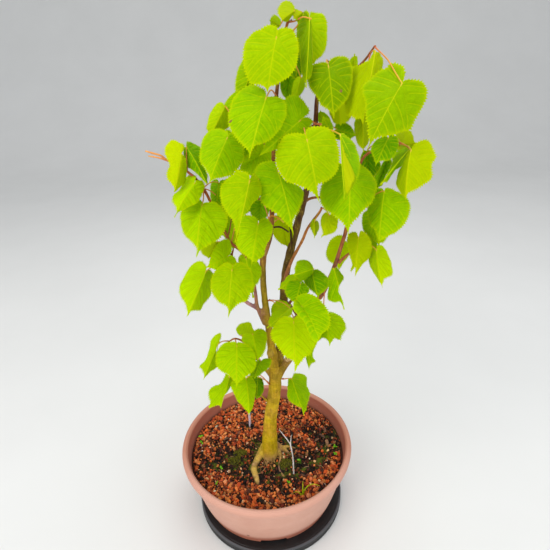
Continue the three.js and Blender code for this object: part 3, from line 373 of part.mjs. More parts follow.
// a tapered round stem through points [x, y, z, radius]
function stem(rows, sides, grow = 0, steps = 1, capStart = true) {
  const curve = new THREE.CatmullRomCurve3(rows.map(V), false, 'centripetal');
  const n = (rows.length - 1) * steps;
  const pts = [], rad = [];
  for (let i = 0; i <= n; i++) {
    const t = i / n, s = t * (rows.length - 1), k = Math.min(Math.floor(s), rows.length - 2);
    pts.push(steps === 1 ? V(rows[i]) : curve.getPoint(t));
    rad.push(rows[k][3] + (rows[k + 1][3] - rows[k][3]) * (s - k) + grow);
  }
  const tan = pts.map((p, i) => pts[Math.min(i + 1, n)].clone().sub(pts[Math.max(i - 1, 0)]).normalize());
  if (grow > 0) {
    pts[0].addScaledVector(tan[0], -grow);
    pts[n].addScaledVector(tan[n], grow);
  }
  const points = [], faces = [];
  let x = new THREE.Vector3(0.31, 0.9, 0.2).cross(tan[0]).normalize();
  for (let i = 0; i <= n; i++) {
    x = x.clone().addScaledVector(tan[i], -x.dot(tan[i])).normalize();
    const y = new THREE.Vector3().crossVectors(tan[i], x);
    for (let k = 0; k < sides; k++) {
      const a = 2 * Math.PI * k / sides;
      points.push(pts[i].clone().addScaledVector(x, rad[i] * Math.cos(a)).addScaledVector(y, rad[i] * Math.sin(a)));
    }
  }
  for (let i = 0; i < n; i++) for (let k = 0; k < sides; k++) {
    const a = i * sides + k, b = i * sides + (k + 1) % sides;
    faces.push([a, b, b + sides], [a, b + sides, a + sides]);
  }
  const s = points.length;
  points.push(pts[0].clone(), pts[n].clone());
  for (let k = 0; k < sides; k++) {
    const q = (k + 1) % sides;
    faces.push([s, q, k], [s + 1, n * sides + k, n * sides + q]);
  }
  return rawSolid(points, faces);
}

// ---- leaves ----
// heart outline of one half: [across, along], 0 = midrib / stalk, 1 = widest / tip
const HEART_LARGE = [[0, 0.02], [0.42, -0.17], [0.82, -0.07], [1, 0.22], [0.88, 0.5], [0.5, 0.75], [0.14, 0.92], [0, 1]];
const HEART_SMALL = [[0, 0.02], [0.5, -0.16], [1, 0.22], [0.55, 0.72], [0.12, 0.93], [0, 1]];
const LARGE_FROM = 43;          // blades longer than this take the finer outline

function bladePoint(leaf, a, b) {
  const B = V(leaf.base), T = V(leaf.tip), N = V(leaf.up);
  const axis = T.clone().sub(B), L = axis.length();
  const M = B.clone().addScaledVector(axis, 0.25);
  const side = V(leaf.sides[a < 0 ? 0 : 1]).sub(M);
  const arch = b > 0 ? 4 * b * (1 - b) : 2.4 * b;
  return B.addScaledVector(axis, b).addScaledVector(side, Math.abs(a))
    .addScaledVector(N, BLADE_ARCH * L * arch - BLADE_DROOP * L * a * a);
}

// a blade with an outline of its own carries rim = points from the notch round to the
// notch, and mid = the point it is fanned from
function blade(leaf, grow = 0) {
  const L = V(leaf.tip).distanceTo(V(leaf.base));
  const half = L > LARGE_FROM ? HEART_LARGE : HEART_SMALL;
  const ring = leaf.rim ?? [...half, ...half.slice(1, -1).reverse().map(([a, b]) => [-a, b])];
  const k = ring.length;
  const top = [bladePoint(leaf, ...(leaf.mid ?? [0, 0.3])), ...ring.map(([a, b]) => bladePoint(leaf, a, b))];
  const tri = ring.map((_, i) => [0, 1 + i, 1 + (i + 1) % k]);
  const nrm = top.map(() => new THREE.Vector3());
  const e = new THREE.Vector3(), f = new THREE.Vector3();
  for (const [a, b, c] of tri) {
    e.subVectors(top[b], top[a]); f.subVectors(top[c], top[a]);
    const m = e.clone().cross(f);
    for (const q of [a, b, c]) nrm[q].add(m);
  }
  const h = BLADE_T / 2 + grow, m = top.length, up = [], down = [];
  top.forEach((p, i) => {
    nrm[i].normalize();
    const out = grow > 0 && i > 0 ? p.clone().sub(top[0]).normalize().multiplyScalar(grow) : new THREE.Vector3();
    up.push(p.clone().addScaledVector(nrm[i], h).add(out));
    down.push(p.clone().addScaledVector(nrm[i], -h).add(out));
  });
  const faces = [...tri, ...tri.map(([a, b, c]) => [a + m, c + m, b + m])];
  for (let i = 0; i < k; i++) {
    const p = 1 + i, q = 1 + (i + 1) % k;
    faces.push([p, p + m, q], [q, p + m, q + m]);
  }
  return rawSolid([...up, ...down], faces);
}

function petiole(bud, leaf, grow = 0) {
  const A = V(bud), B = V(leaf.base);
  let rows;
  if (leaf.via.length) {
    const c = new THREE.CatmullRomCurve3([A, ...leaf.via.map(V), B], false, 'centripetal');
    rows = c.getPoints(leaf.via.length + 2);
  } else {
    const d = B.clone().sub(A), mid = A.clone().addScaledVector(d, 0.55);
    mid.z += 0.18 * d.length();
    rows = new THREE.QuadraticBezierCurve3(A, mid, B).getPoints(3);
  }
  // the stalk runs on under the blade's base for a short way
  rows.push(bladePoint(leaf, 0, 0.06));
  const n = rows.length - 1;
  return stem(rows.map((p, i) => [p.x, p.y, p.z, PETIOLE_R * (1 - 0.25 * i / n)]), 3, grow);
}

function shootSolid(shoot, grow = 0) {
  const list = [];
  const bud = toSolid(new THREE.OctahedronGeometry(1.5 + grow, 0)).translate(shoot.bud);
  list.push(bud);
  for (const leaf of shoot.leaves) list.push(blade(leaf, grow), petiole(shoot.bud, leaf, grow));
  return unite(list);
}

// ---- wood: trunk, two stems, branches and roots grown as one piece ----
function woodSolid(grow = 0) {
  const list = [];
  for (const [name, rows] of Object.entries(BRANCHES)) {
    const thick = Math.max(...rows.map((r) => r[3]));
    list.push(stem(rows, thick > 3.5 ? 9 : 5, grow));
  }
  for (const rows of Object.values(ROOTS)) list.push(stem(rows, 6, grow));
  for (const rows of Object.values(BURIED_ROOTS)) list.push(stem(rows, 5, grow));
  for (const [x, y, z, r] of SCARS) {
    const g = new THREE.IcosahedronGeometry(r + grow, 1);
    g.scale(1, 1, 1.2);
    list.push(toSolid(g).translate([x, y, z]));
  }
  return unite(list);
}

// ---- pan ----
function panSolid() {
  const inner = RIM_R - LIP_W;
  const profile = [
    [0, 2.5], [FOOT_R - 7, 2.5], [FOOT_R - 5.5, 0], [FOOT_R, 0], [FOOT_R, FOOT_H - 0.6], [91.2, FOOT_H + 0.6],
    [93.5, 9], [96.9, 20], [102.0, 40], [108.6, 72.5],
    [RIM_R - 0.8, 74.2], [RIM_R, 80.5], [RIM_R - 0.9, 83.4], [RIM_R - 3.2, PAN_H],
    [inner + 2.6, PAN_H], [inner, 82],
    [105.6, 72.5], [102 - WALL, 40], [96.9 - WALL, 20], [90.2, 10.5], [86.5, FLOOR_Z], [0, FLOOR_Z],
  ];
  let pan = turned(profile, 40);
  const cuts = [];
  const hole = (x, y) => {
    const g = new THREE.CylinderGeometry(DRAIN_R, DRAIN_R, 20, 12);
    g.rotateX(Math.PI / 2);
    cuts.push(toSolid(g).translate([x, y, 5]));
  };
  hole(0, 0);
  for (let i = 0; i < 4; i++) hole(52 * Math.cos(Math.PI / 4 + i * Math.PI / 2), 52 * Math.sin(Math.PI / 4 + i * Math.PI / 2));
  // three water gaps under the foot ring, one at the front
  for (let i = 0; i < 3; i++) {
    const g = new THREE.BoxGeometry(20, 33, 6.4);
    cuts.push(toSolid(g).translate([FOOT_R - 3, 0, 0]).rotate([0, 0, -86 + 120 * i]));
  }
  for (const c of cuts) pan = pan.subtract(c);
  return pan;
}

// ---- soil ----
const soilTop = (x, y) => {
  const r = Math.hypot(x, y) / 104;
  const wave = 0.9 * Math.sin(x * 0.071 + 1.3) * Math.cos(y * 0.063 - 0.4) + 0.5 * Math.sin(x * 0.16 - y * 0.13);
  return SOIL_Z + SOIL_CROWN * Math.max(0, 1 - r * r) + wave * Math.max(0, 1 - r ** 6);
};

function soilSolid(keepClear) {
  const g = GAP;
  const wall = [[86.0 - g, FLOOR_Z + 2 * g], [90.0 - g, 10.7 + 2 * g], [94.0 - g, 20], [99.2 - g, 40], [104.1 - g, SOIL_Z]];
  const n = 32, rings = [0.3, 0.58, 0.82];
  const pts = [new THREE.Vector3(0, 0, FLOOR_Z + 2 * g)], faces = [];
  for (const [r, z] of wall) for (let i = 0; i < n; i++) {
    const a = 2 * Math.PI * i / n;
    pts.push(new THREE.Vector3(r * Math.cos(a), r * Math.sin(a), z));
  }
  const at = (ring, i) => 1 + ring * n + (i % n);
  for (let i = 0; i < n; i++) faces.push([0, at(0, i + 1), at(0, i)]);
  let rows = wall.length;
  for (const s of [...rings].reverse()) {
    for (let i = 0; i < n; i++) {
      const a = 2 * Math.PI * i / n, r = 104 * s;
      const x = r * Math.cos(a), y = r * Math.sin(a);
      pts.push(new THREE.Vector3(x, y, soilTop(x, y)));
    }
    rows += 1;
  }
  for (let k = 0; k < rows - 1; k++) for (let i = 0; i < n; i++) {
    faces.push([at(k, i), at(k, i + 1), at(k + 1, i + 1)], [at(k, i), at(k + 1, i + 1), at(k + 1, i)]);
  }
  const c = pts.length;
  pts.push(new THREE.Vector3(0, 0, soilTop(0, 0)));
  for (let i = 0; i < n; i++) faces.push([c, at(rows - 1, i), at(rows - 1, i + 1)]);
  let soil = rawSolid(pts, faces);
  const add = [];
  for (const [x, y, rx, ry, h] of MOSS) {
    const m = new THREE.IcosahedronGeometry(1, 1);
    m.scale(rx, ry, h);
    add.push(toSolid(m).translate([x, y, soilTop(x, y)]));
  }
  for (const [x, y, h, lean] of SEEDLINGS) {
    const z = soilTop(x, y);
    add.push(stem([[x, y, z - 3, 0.6], [x + lean, y, z + h, 0.5]], 3));
    const leaf = new THREE.OctahedronGeometry(1, 0);
    leaf.scale(h * 0.5, h * 0.24, 0.8);
    add.push(toSolid(leaf).translate([x + lean, y, z + h]));
  }
  soil = unite([soil, ...add]);
  for (const k of keepClear) soil = soil.subtract(k);
  return mainBody(soil).simplify(0.12);
}

// ---- stand ----
function standSolid() {
  const R = STAND_R, T = STAND_T, c = STAND_RECESS;
  const profile = [[0, 0], [30, 0], [31, c], [R - 9, c], [R - 8, 0], [R - 1.2, 0], [R, 1.2], [R, T - 1.4], [R - 0.5, T - 0.4], [R - 1.4, T], [0, T]];
  return turned(profile, 44);
}

// ---- plant label: a narrow stick with a pointed foot ----
function labelSolid(grow = 0) {
  const w = LABEL.width / 2 + grow, e = grow;
  const s = new THREE.Shape();
  s.moveTo(0, -LABEL.buried - e);
  s.lineTo(w, -LABEL.buried + 9);
  s.lineTo(w, LABEL.above - 0.8 + e);
  s.lineTo(w - 0.8, LABEL.above + e);
  s.lineTo(-w + 0.8, LABEL.above + e);
  s.lineTo(-w, LABEL.above - 0.8 + e);
  s.lineTo(-w, -LABEL.buried + 9);
  const t = LABEL.thick + 2 * grow;
  const g = new THREE.ExtrudeGeometry(s, { depth: t, bevelEnabled: false });
  g.translate(0, 0, -t / 2);
  g.rotateX(Math.PI / 2);
  g.rotateZ(LABEL.turn);
  g.rotateY(LABEL.lean);
  return toSolid(g).translate(LABEL.at);
}

function twigSolid(grow = 0) {
  return unite(DEAD_TWIG.map((rows) => stem(rows, 6, grow)));
}

function grassSolid(grow = 0) {
  return unite(GRASS.map((rows) => stem(rows, 4, grow)));
}

// ---- assembly ----
const object = new THREE.Group();
const plant = new THREE.Group();
plant.position.set(...PLANT_OFFSET);
object.add(plant);

function addMesh(parent, name, solid, color, roughness, metalness = 0) {
  const material = new THREE.MeshStandardMaterial({ color: new THREE.Color(...color), roughness, metalness });
  const mesh = new THREE.Mesh(fromSolid(solid), material);
  mesh.name = name;
  parent.add(mesh);
  return mesh;
}

addMesh(object, 'display_disc', standSolid(), [0.035, 0.033, 0.036], 0.45);
addMesh(plant, 'plant_pan', panSolid().translate([0, 0, GAP]), [0.56, 0.3, 0.2], 0.55);

const wood = mainBody(woodSolid()).simplify(0.25);
const woodClear = woodSolid(GAP + 0.1).simplify(0.12);
const twig = twigSolid(), label = labelSolid(), grass = grassSolid();
addMesh(plant, 'soil', soilSolid([woodClear, twigSolid(GAP), labelSolid(GAP), grassSolid(GAP)]), [0.3, 0.12, 0.05], 0.95);
addMesh(plant, 'trunk_branches_roots', wood, [0.24, 0.16, 0.06], 0.85);
addMesh(plant, 'plant_label', label, [0.62, 0.56, 0.66], 0.5);
addMesh(plant, 'dead_twig', twig.subtract(woodClear), [0.4, 0.37, 0.34], 0.9);
addMesh(plant, 'grass_sprig', grass, [0.28, 0.5, 0.08], 0.6);

const leafColor = (t, y) => {
  const c = new THREE.Color(0.08, 0.16, 0.01).lerp(new THREE.Color(0.42, 0.6, 0.03), t);
  return c.lerp(new THREE.Color(0.62, 0.58, 0.05), 0.5 * y).toArray();
};

// each shoot keeps clear of the wood and of the shoots placed before it
const placed = [];
const overlap = (a, b) => a.min[0] < b.max[0] && b.min[0] < a.max[0] && a.min[1] < b.max[1] && b.min[1] < a.max[1] && a.min[2] < b.max[2] && b.min[2] < a.max[2];
for (const shoot of SHOOTS) {
  let solid = shootSolid(shoot).subtract(woodClear);
  const wide = shootSolid(shoot, GAP);
  const box = wide.boundingBox();
  for (const other of placed) {
    if (!overlap(box, other.box)) continue;
    if (wide.intersect(other.solid).volume() > 1e-4) solid = solid.subtract(other.wide);
  }
  if (wide.intersect(twig).volume() > 1e-4) solid = solid.subtract(twigSolid(GAP));
  solid = mainBody(mainBody(solid).simplify(0.15));
  placed.push({ solid, wide, box });
  const t = shoot.leaves.reduce((s, l) => s + l.tint, 0) / shoot.leaves.length;
  const y = shoot.leaves.reduce((s, l) => s + l.yellow, 0) / shoot.leaves.length;
  addMesh(plant, shoot.node, solid, leafColor(t, y), 0.55);
}

export default object;
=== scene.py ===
import math

import bmesh
import bpy
import numpy as np
from mathutils import Matrix, Vector
from mathutils.kdtree import KDTree


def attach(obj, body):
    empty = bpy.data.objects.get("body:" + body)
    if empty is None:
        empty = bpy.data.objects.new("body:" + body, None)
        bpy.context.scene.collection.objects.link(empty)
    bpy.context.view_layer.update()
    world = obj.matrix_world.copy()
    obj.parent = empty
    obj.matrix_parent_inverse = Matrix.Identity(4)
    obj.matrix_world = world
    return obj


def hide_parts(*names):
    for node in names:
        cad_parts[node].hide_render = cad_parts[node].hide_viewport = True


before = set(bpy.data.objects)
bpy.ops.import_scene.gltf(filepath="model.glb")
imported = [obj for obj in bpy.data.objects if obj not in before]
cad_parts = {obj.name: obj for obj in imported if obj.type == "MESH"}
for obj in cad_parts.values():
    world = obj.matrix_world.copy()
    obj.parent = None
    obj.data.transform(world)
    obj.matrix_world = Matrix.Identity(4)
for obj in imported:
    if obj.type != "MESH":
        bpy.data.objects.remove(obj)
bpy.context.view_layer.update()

MM = 0.001
OFFSET = np.array([-3.0, 3.6, 12.0])     # plant frame to row frame
PAN_LIFT = 0.3                           # the pan stands this far above the disc

# branches: centreline points (x, y, z, radius)
BRANCHES = {
    "left_stem": [(3.1, -16.0, 45.2, 12.77), (3.9, -14.0, 67.3, 11.46), (4.0, -12.0, 92.4, 10.22), (5.8, -10.0, 125.3, 8.30), (10.8, -8.0, 156.7, 8.14), (14.1, -6.0, 180.6, 7.76), (14.0, -4.0, 199.3, 6.92), (12.8, -2.0, 219.1, 5.97), (11.0, 0.0, 239.9, 5.16), (9.3, -1.0, 260.6, 4.34), (6.7, -3.0, 287.9, 3.76), (5.1, -6.0, 320.7, 3.42), (5.8, -9.0, 351.4, 3.42), (9.7, -10.0, 367.0, 3.47), (14.6, -10.0, 381.7, 3.00), (17.5, -8.0, 406.4, 2.74), (19.6, -4.0, 439.1, 2.47), (20.9, -1.0, 463.7, 2.23), (23.5, 0.0, 497.0, 2.06), (26.1, -1.0, 524.0, 1.86), (30.0, -3.0, 547.8, 1.62), (33.6, -5.0, 565.5, 1.40), (36.4, -6.0, 577.2, 1.21), (39.2, -7.0, 584.7, 0.97)],
    "right_stem": [(14.8, -5.0, 182.9, 6.04), (18.7, 4.0, 200.9, 5.86), (21.8, 8.0, 222.3, 5.55), (24.3, 11.0, 245.4, 5.24), (26.8, 13.0, 269.9, 5.03), (29.9, 16.0, 314.5, 4.76), (35.5, 18.0, 343.1, 4.56), (41.2, 19.0, 364.8, 4.37), (48.7, 19.0, 394.2, 4.04), (55.4, 18.0, 419.2, 3.50), (60.0, 16.0, 446.4, 2.98), (62.8, 14.0, 469.2, 2.60), (64.5, 12.0, 491.0, 2.33), (65.6, 10.0, 515.4, 1.97), (70.2, 10.0, 531.5, 1.65), (76.6, 9.0, 545.2, 1.34)],
    "stub": [(15.5, -6.0, 183.7, 4.76), (22.2, -8.0, 200.4, 4.25), (26.7, -9.0, 210.1, 4.02), (30.4, -11.0, 221.8, 3.79)],
    "stub_small": [(28.5, -9.0, 208.5, 1.61), (36.0, -11.0, 220.1, 1.35)],
    "top_right": [(76.6, 9.0, 545.2, 1.34), (87.5, 10.0, 538.9, 1.20), (98.7, 8.0, 538.5, 1.15), (109.2, 5.0, 546.7, 1.04), (117.7, 2.0, 558.4, 0.88)],
    "reddish": [(24.2, 10.0, 238.8, 3.75), (37.3, 4.0, 263.5, 3.40), (51.3, -4.0, 284.1, 3.18), (69.0, -12.0, 306.1, 2.85), (78.0, -18.0, 330.0, 2.54), (84.0, -22.0, 350.6, 2.31), (88.4, -25.0, 370.0, 2.15), (92.1, -27.0, 386.0, 2.01), (93.1, -28.0, 393.8, 1.94), (96.5, -29.0, 419.0, 1.69), (100.1, -30.0, 443.9, 1.50), (105.9, -30.0, 462.7, 1.38), (117.5, -31.0, 470.8, 1.27), (127.8, -33.0, 476.6, 1.17), (137.4, -36.0, 474.5, 1.02)],
    "red_sub": [(87.2, -23.0, 352.7, 1.50), (94.6, -24.0, 360.3, 1.38), (103.2, -25.0, 368.3, 1.26), (108.5, -26.0, 380.2, 0.94)],
    "red_sub2": [(103.2, -25.0, 368.3, 1.00), (112.9, -22.0, 375.3, 0.84)],
    "cross": [(29.4, 14.0, 303.6, 2.51), (31.3, 8.0, 324.6, 2.21), (37.1, 0.0, 345.4, 1.86), (42.0, -5.0, 358.1, 1.71), (49.3, -12.0, 375.6, 1.56), (54.5, -17.0, 390.5, 1.47), (65.2, -25.0, 408.7, 1.37), (67.4, -27.0, 414.3, 1.10)],
    "dark_thin": [(37.9, 16.0, 351.3, 1.39), (38.2, 13.0, 369.4, 1.19), (37.3, 10.0, 384.6, 1.06)],
    "dark_twig": [(15.4, -9.0, 389.2, 1.01), (25.6, -4.0, 388.4, 0.92), (34.9, 0.0, 381.0, 0.82)],
    "left_branch": [(4.1, -1.0, 266.3, 2.40), (-3.0, -8.0, 293.6, 2.15), (-4.5, -12.0, 317.6, 1.92), (-7.5, -14.0, 345.7, 1.76), (-16.2, -15.0, 365.2, 1.67), (-27.3, -15.0, 375.8, 1.60), (-32.4, -15.0, 387.2, 1.53), (-39.8, -14.0, 405.7, 1.51), (-45.9, -12.0, 421.3, 1.49), (-49.8, -10.0, 429.8, 1.44), (-58.8, -7.0, 443.3, 1.38), (-64.9, -5.0, 448.7, 1.32), (-76.7, -2.0, 457.6, 1.27), (-88.3, 0.0, 462.3, 1.22), (-92.7, 1.0, 466.2, 1.01), (-102.1, 2.0, 469.1, 0.91), (-108.7, 3.0, 471.1, 0.76)],
    "left_tip2": [(-88.3, 0.0, 462.3, 0.86), (-96.9, -1.0, 465.0, 0.71), (-105.1, -2.0, 466.8, 0.55)],
    "lb_stub": [(-32.4, -15.0, 387.2, 1.06), (-34.9, -17.0, 394.6, 0.89)],
    "lb_thin": [(-30.7, -15.0, 381.6, 0.80), (-27.4, -12.0, 391.6, 0.63), (-25.6, -10.0, 400.8, 0.53)],
    "brown_left": [(5.8, -3.0, 281.2, 2.60), (-5.8, -9.0, 294.2, 2.32), (-16.0, -15.0, 305.6, 2.10), (-23.9, -20.0, 324.7, 1.77), (-26.9, -22.0, 349.8, 1.45), (-24.1, -21.0, 355.7, 1.29), (-26.7, -20.0, 362.9, 1.12), (-24.9, -19.0, 369.9, 0.85)],
    "low_left": [(8.7, -3.0, 191.0, 2.16), (1.2, -8.0, 208.1, 1.74), (-5.3, -12.0, 221.8, 1.53), (-13.6, -16.0, 240.0, 1.31), (-21.6, -18.0, 253.6, 1.18), (-30.6, -19.0, 258.7, 0.99), (-37.8, -20.0, 255.5, 0.82)],
    "low_stub": [(5.6, -10.0, 155.4, 1.67), (1.2, -15.0, 164.2, 1.27), (-4.1, -18.0, 174.1, 0.88)],
    "j_twig": [(27.6, 13.0, 276.9, 1.95), (37.7, 4.0, 295.0, 1.66), (47.8, -6.0, 311.5, 1.43), (55.8, -13.0, 327.2, 1.23), (60.8, -18.0, 342.0, 0.98)],
    "mid_twig": [(63.9, 12.0, 485.2, 1.22), (67.4, 6.0, 489.9, 1.05), (59.4, 0.0, 490.4, 0.94), (52.0, -12.0, 485.2, 0.77)],
    "b_twig": [(21.1, -1.0, 467.6, 1.41), (9.7, 6.0, 476.8, 1.22), (-3.3, 10.0, 483.6, 1.07), (-15.2, 10.0, 486.9, 0.91)],
    "back_a": [(27.9, -2.0, 537.0, 1.22), (22.2, 22.0, 545.4, 1.08), (16.4, 42.0, 551.7, 0.87)],
    "back_b": [(22.0, 0.0, 482.0, 1.50), (16.2, 25.0, 487.4, 1.36), (5.6, 48.0, 495.9, 1.19), (-3.5, 66.0, 501.1, 0.95)],
    "back_c": [(61.0, 16.0, 454.7, 1.59), (60.3, 38.0, 453.3, 1.38), (58.7, 60.0, 452.1, 1.10)],
    "back_d": [(52.1, 19.0, 407.8, 1.77), (64.2, 42.0, 407.3, 1.56), (87.8, 62.0, 403.9, 1.32), (106.7, 76.0, 407.3, 1.05)],
    "back_e": [(17.3, -8.0, 414.0, 1.46), (6.9, 20.0, 412.4, 1.33), (-7.3, 42.0, 411.9, 1.04)],
    "back_f": [(28.5, 15.0, 289.6, 2.06), (37.8, 38.0, 268.5, 1.79), (47.8, 58.0, 238.9, 1.35)],
    "back_g": [(5.2, -8.0, 342.6, 1.67), (-8.8, 18.0, 321.5, 1.49), (-28.2, 40.0, 301.2, 1.13)],
    "back_h": [(10.7, 0.0, 250.0, 1.83), (-0.8, 22.0, 229.0, 1.54), (-21.4, 44.0, 199.5, 1.22)],
    "back_i": [(68.4, 10.0, 526.2, 1.17), (89.4, 34.0, 527.2, 1.08), (118.1, 54.0, 526.3, 0.96), (140.0, 64.0, 521.5, 0.82)],
}

# roots that show on the soil, and those under it
ROOTS = {
    "root_front": [(-1.6, -4.1, 70.0, 8.99), (-7.0, -10.9, 70.0, 5.81), (-14.9, -26.5, 67.0, 4.68), (-17.3, -37.7, 67.0, 4.21), (-12.9, -53.4, 67.0, 3.59), (-11.6, -60.4, 64.5, 2.22)],
    "root_right": [(10.9, -1.0, 70.0, 7.64), (17.8, -4.0, 70.0, 4.56), (23.9, -5.8, 67.0, 3.18), (28.5, -11.3, 67.0, 2.33), (31.8, -14.3, 64.5, 1.37)],
    "root_right2": [(17.8, -4.9, 70.0, 3.45), (27.5, -2.6, 70.0, 1.80), (37.2, -2.8, 67.0, 1.39), (46.7, -6.2, 64.5, 1.04)],
    "root_s1": [(5.3, -7.9, 70.0, 4.81), (6.0, -18.3, 70.0, 2.16), (9.2, -24.1, 67.0, 1.34), (11.1, -27.7, 64.5, 1.00)],
    "root_s2": [(15.0, -8.3, 70.0, 4.12), (18.1, -20.5, 70.0, 1.75), (15.8, -29.3, 67.0, 1.27), (16.2, -39.0, 67.0, 1.38), (20.6, -47.8, 67.0, 1.55), (23.1, -48.9, 64.5, 1.03)],
    "root_left": [(-3.0, -2.3, 62.5, 6.24), (-11.3, -0.1, 62.5, 4.17), (-21.4, 5.9, 59.5, 3.16), (-30.4, 13.4, 57.0, 1.78)],
    "root_back": [(5.4, 10.1, 63.5, 8.48), (11.3, 25.1, 63.5, 5.42), (21.7, 39.6, 60.5, 3.70), (30.9, 48.0, 58.0, 2.25)],
    "root_back2": [(1.2, 8.5, 62.5, 7.05), (-7.5, 22.0, 62.5, 4.31), (-18.1, 35.3, 59.5, 2.94), (-25.8, 42.3, 57.0, 1.86)],
}
BURIED = {
    "down_a": [(3.6, -14, 66, 10), (2, -11, 54, 9), (-6, -6, 42, 5), (-16, 0, 30, 2.6)],
    "down_b": [(3.6, -13, 66, 10), (8, -14, 52, 7.5), (20, -20, 38, 3.8), (32, -26, 28, 2)],
    "down_c": [(3.6, -12, 66, 10), (2, -2, 52, 7), (6, 16, 38, 3.6), (8, 34, 28, 2)],
}
# healed cut scars: x, y, z, radius
SCARS = [(8.3, -12.5, 363.2, 3.6), (9.4, -6.0, 228.0, 4.4)]
# moss cushions: x, y, half width, half depth, height
MOSS = [(-36.6, -10.5, 9, 7, 2.6), (-44.5, -23.5, 9.5, 8.5, 2.8), (25.8, -31.5, 8, 8.5, 2.6)]
# seedlings: x, y, height, lean
SEEDLINGS = [(-94, 20, 9, -2), (-92, 8, 8, 1), (-60.5, -39, 9, 1), (-63, -60, 8, -1), (43.8, -31, 10, 1), (26.4, -63, 8, 0), (92, -19, 8, 1), (93, -6, 7, 1)]
LABEL = {"at": (-24.9, 40.2, 66.5), "width": 4.6, "thick": 1.4, "above": 36, "buried": 26, "turn": 1.1, "lean": -0.01}
DEAD_TWIG = [
    [(34.8, -47.8, 58, 1.2), (34.6, -47.2, 66.5, 1.5), (34, -45.1, 94.2, 1.35), (31.2, -43.6, 114.8, 1.2), (30.1, -43.3, 118, 1.1), (24, -42.4, 128.6, 0.9), (17.7, -41.7, 138.7, 0.6)],
    [(31.2, -43.6, 114.8, 1.1), (31.6, -43.1, 120.5, 0.9), (32.1, -42.6, 127.3, 0.6)],
]
GRASS = [
    [(43.9, -78, 60, 1.1), (43.9, -78.4, 68, 1.1), (43.9, -78.6, 80, 0.9), (44.1, -78.8, 92.3, 0.5)],
    [(43.9, -78, 62, 1), (45, -78.6, 74, 0.9), (50, -79.2, 84.5, 0.8), (57, -79.8, 88.4, 0.7), (64, -80.4, 85.8, 0.5)],
    [(43.9, -78, 62, 1), (41.5, -78.6, 70, 0.9), (37.5, -79, 75, 0.7), (32, -79.2, 74, 0.5)],
]

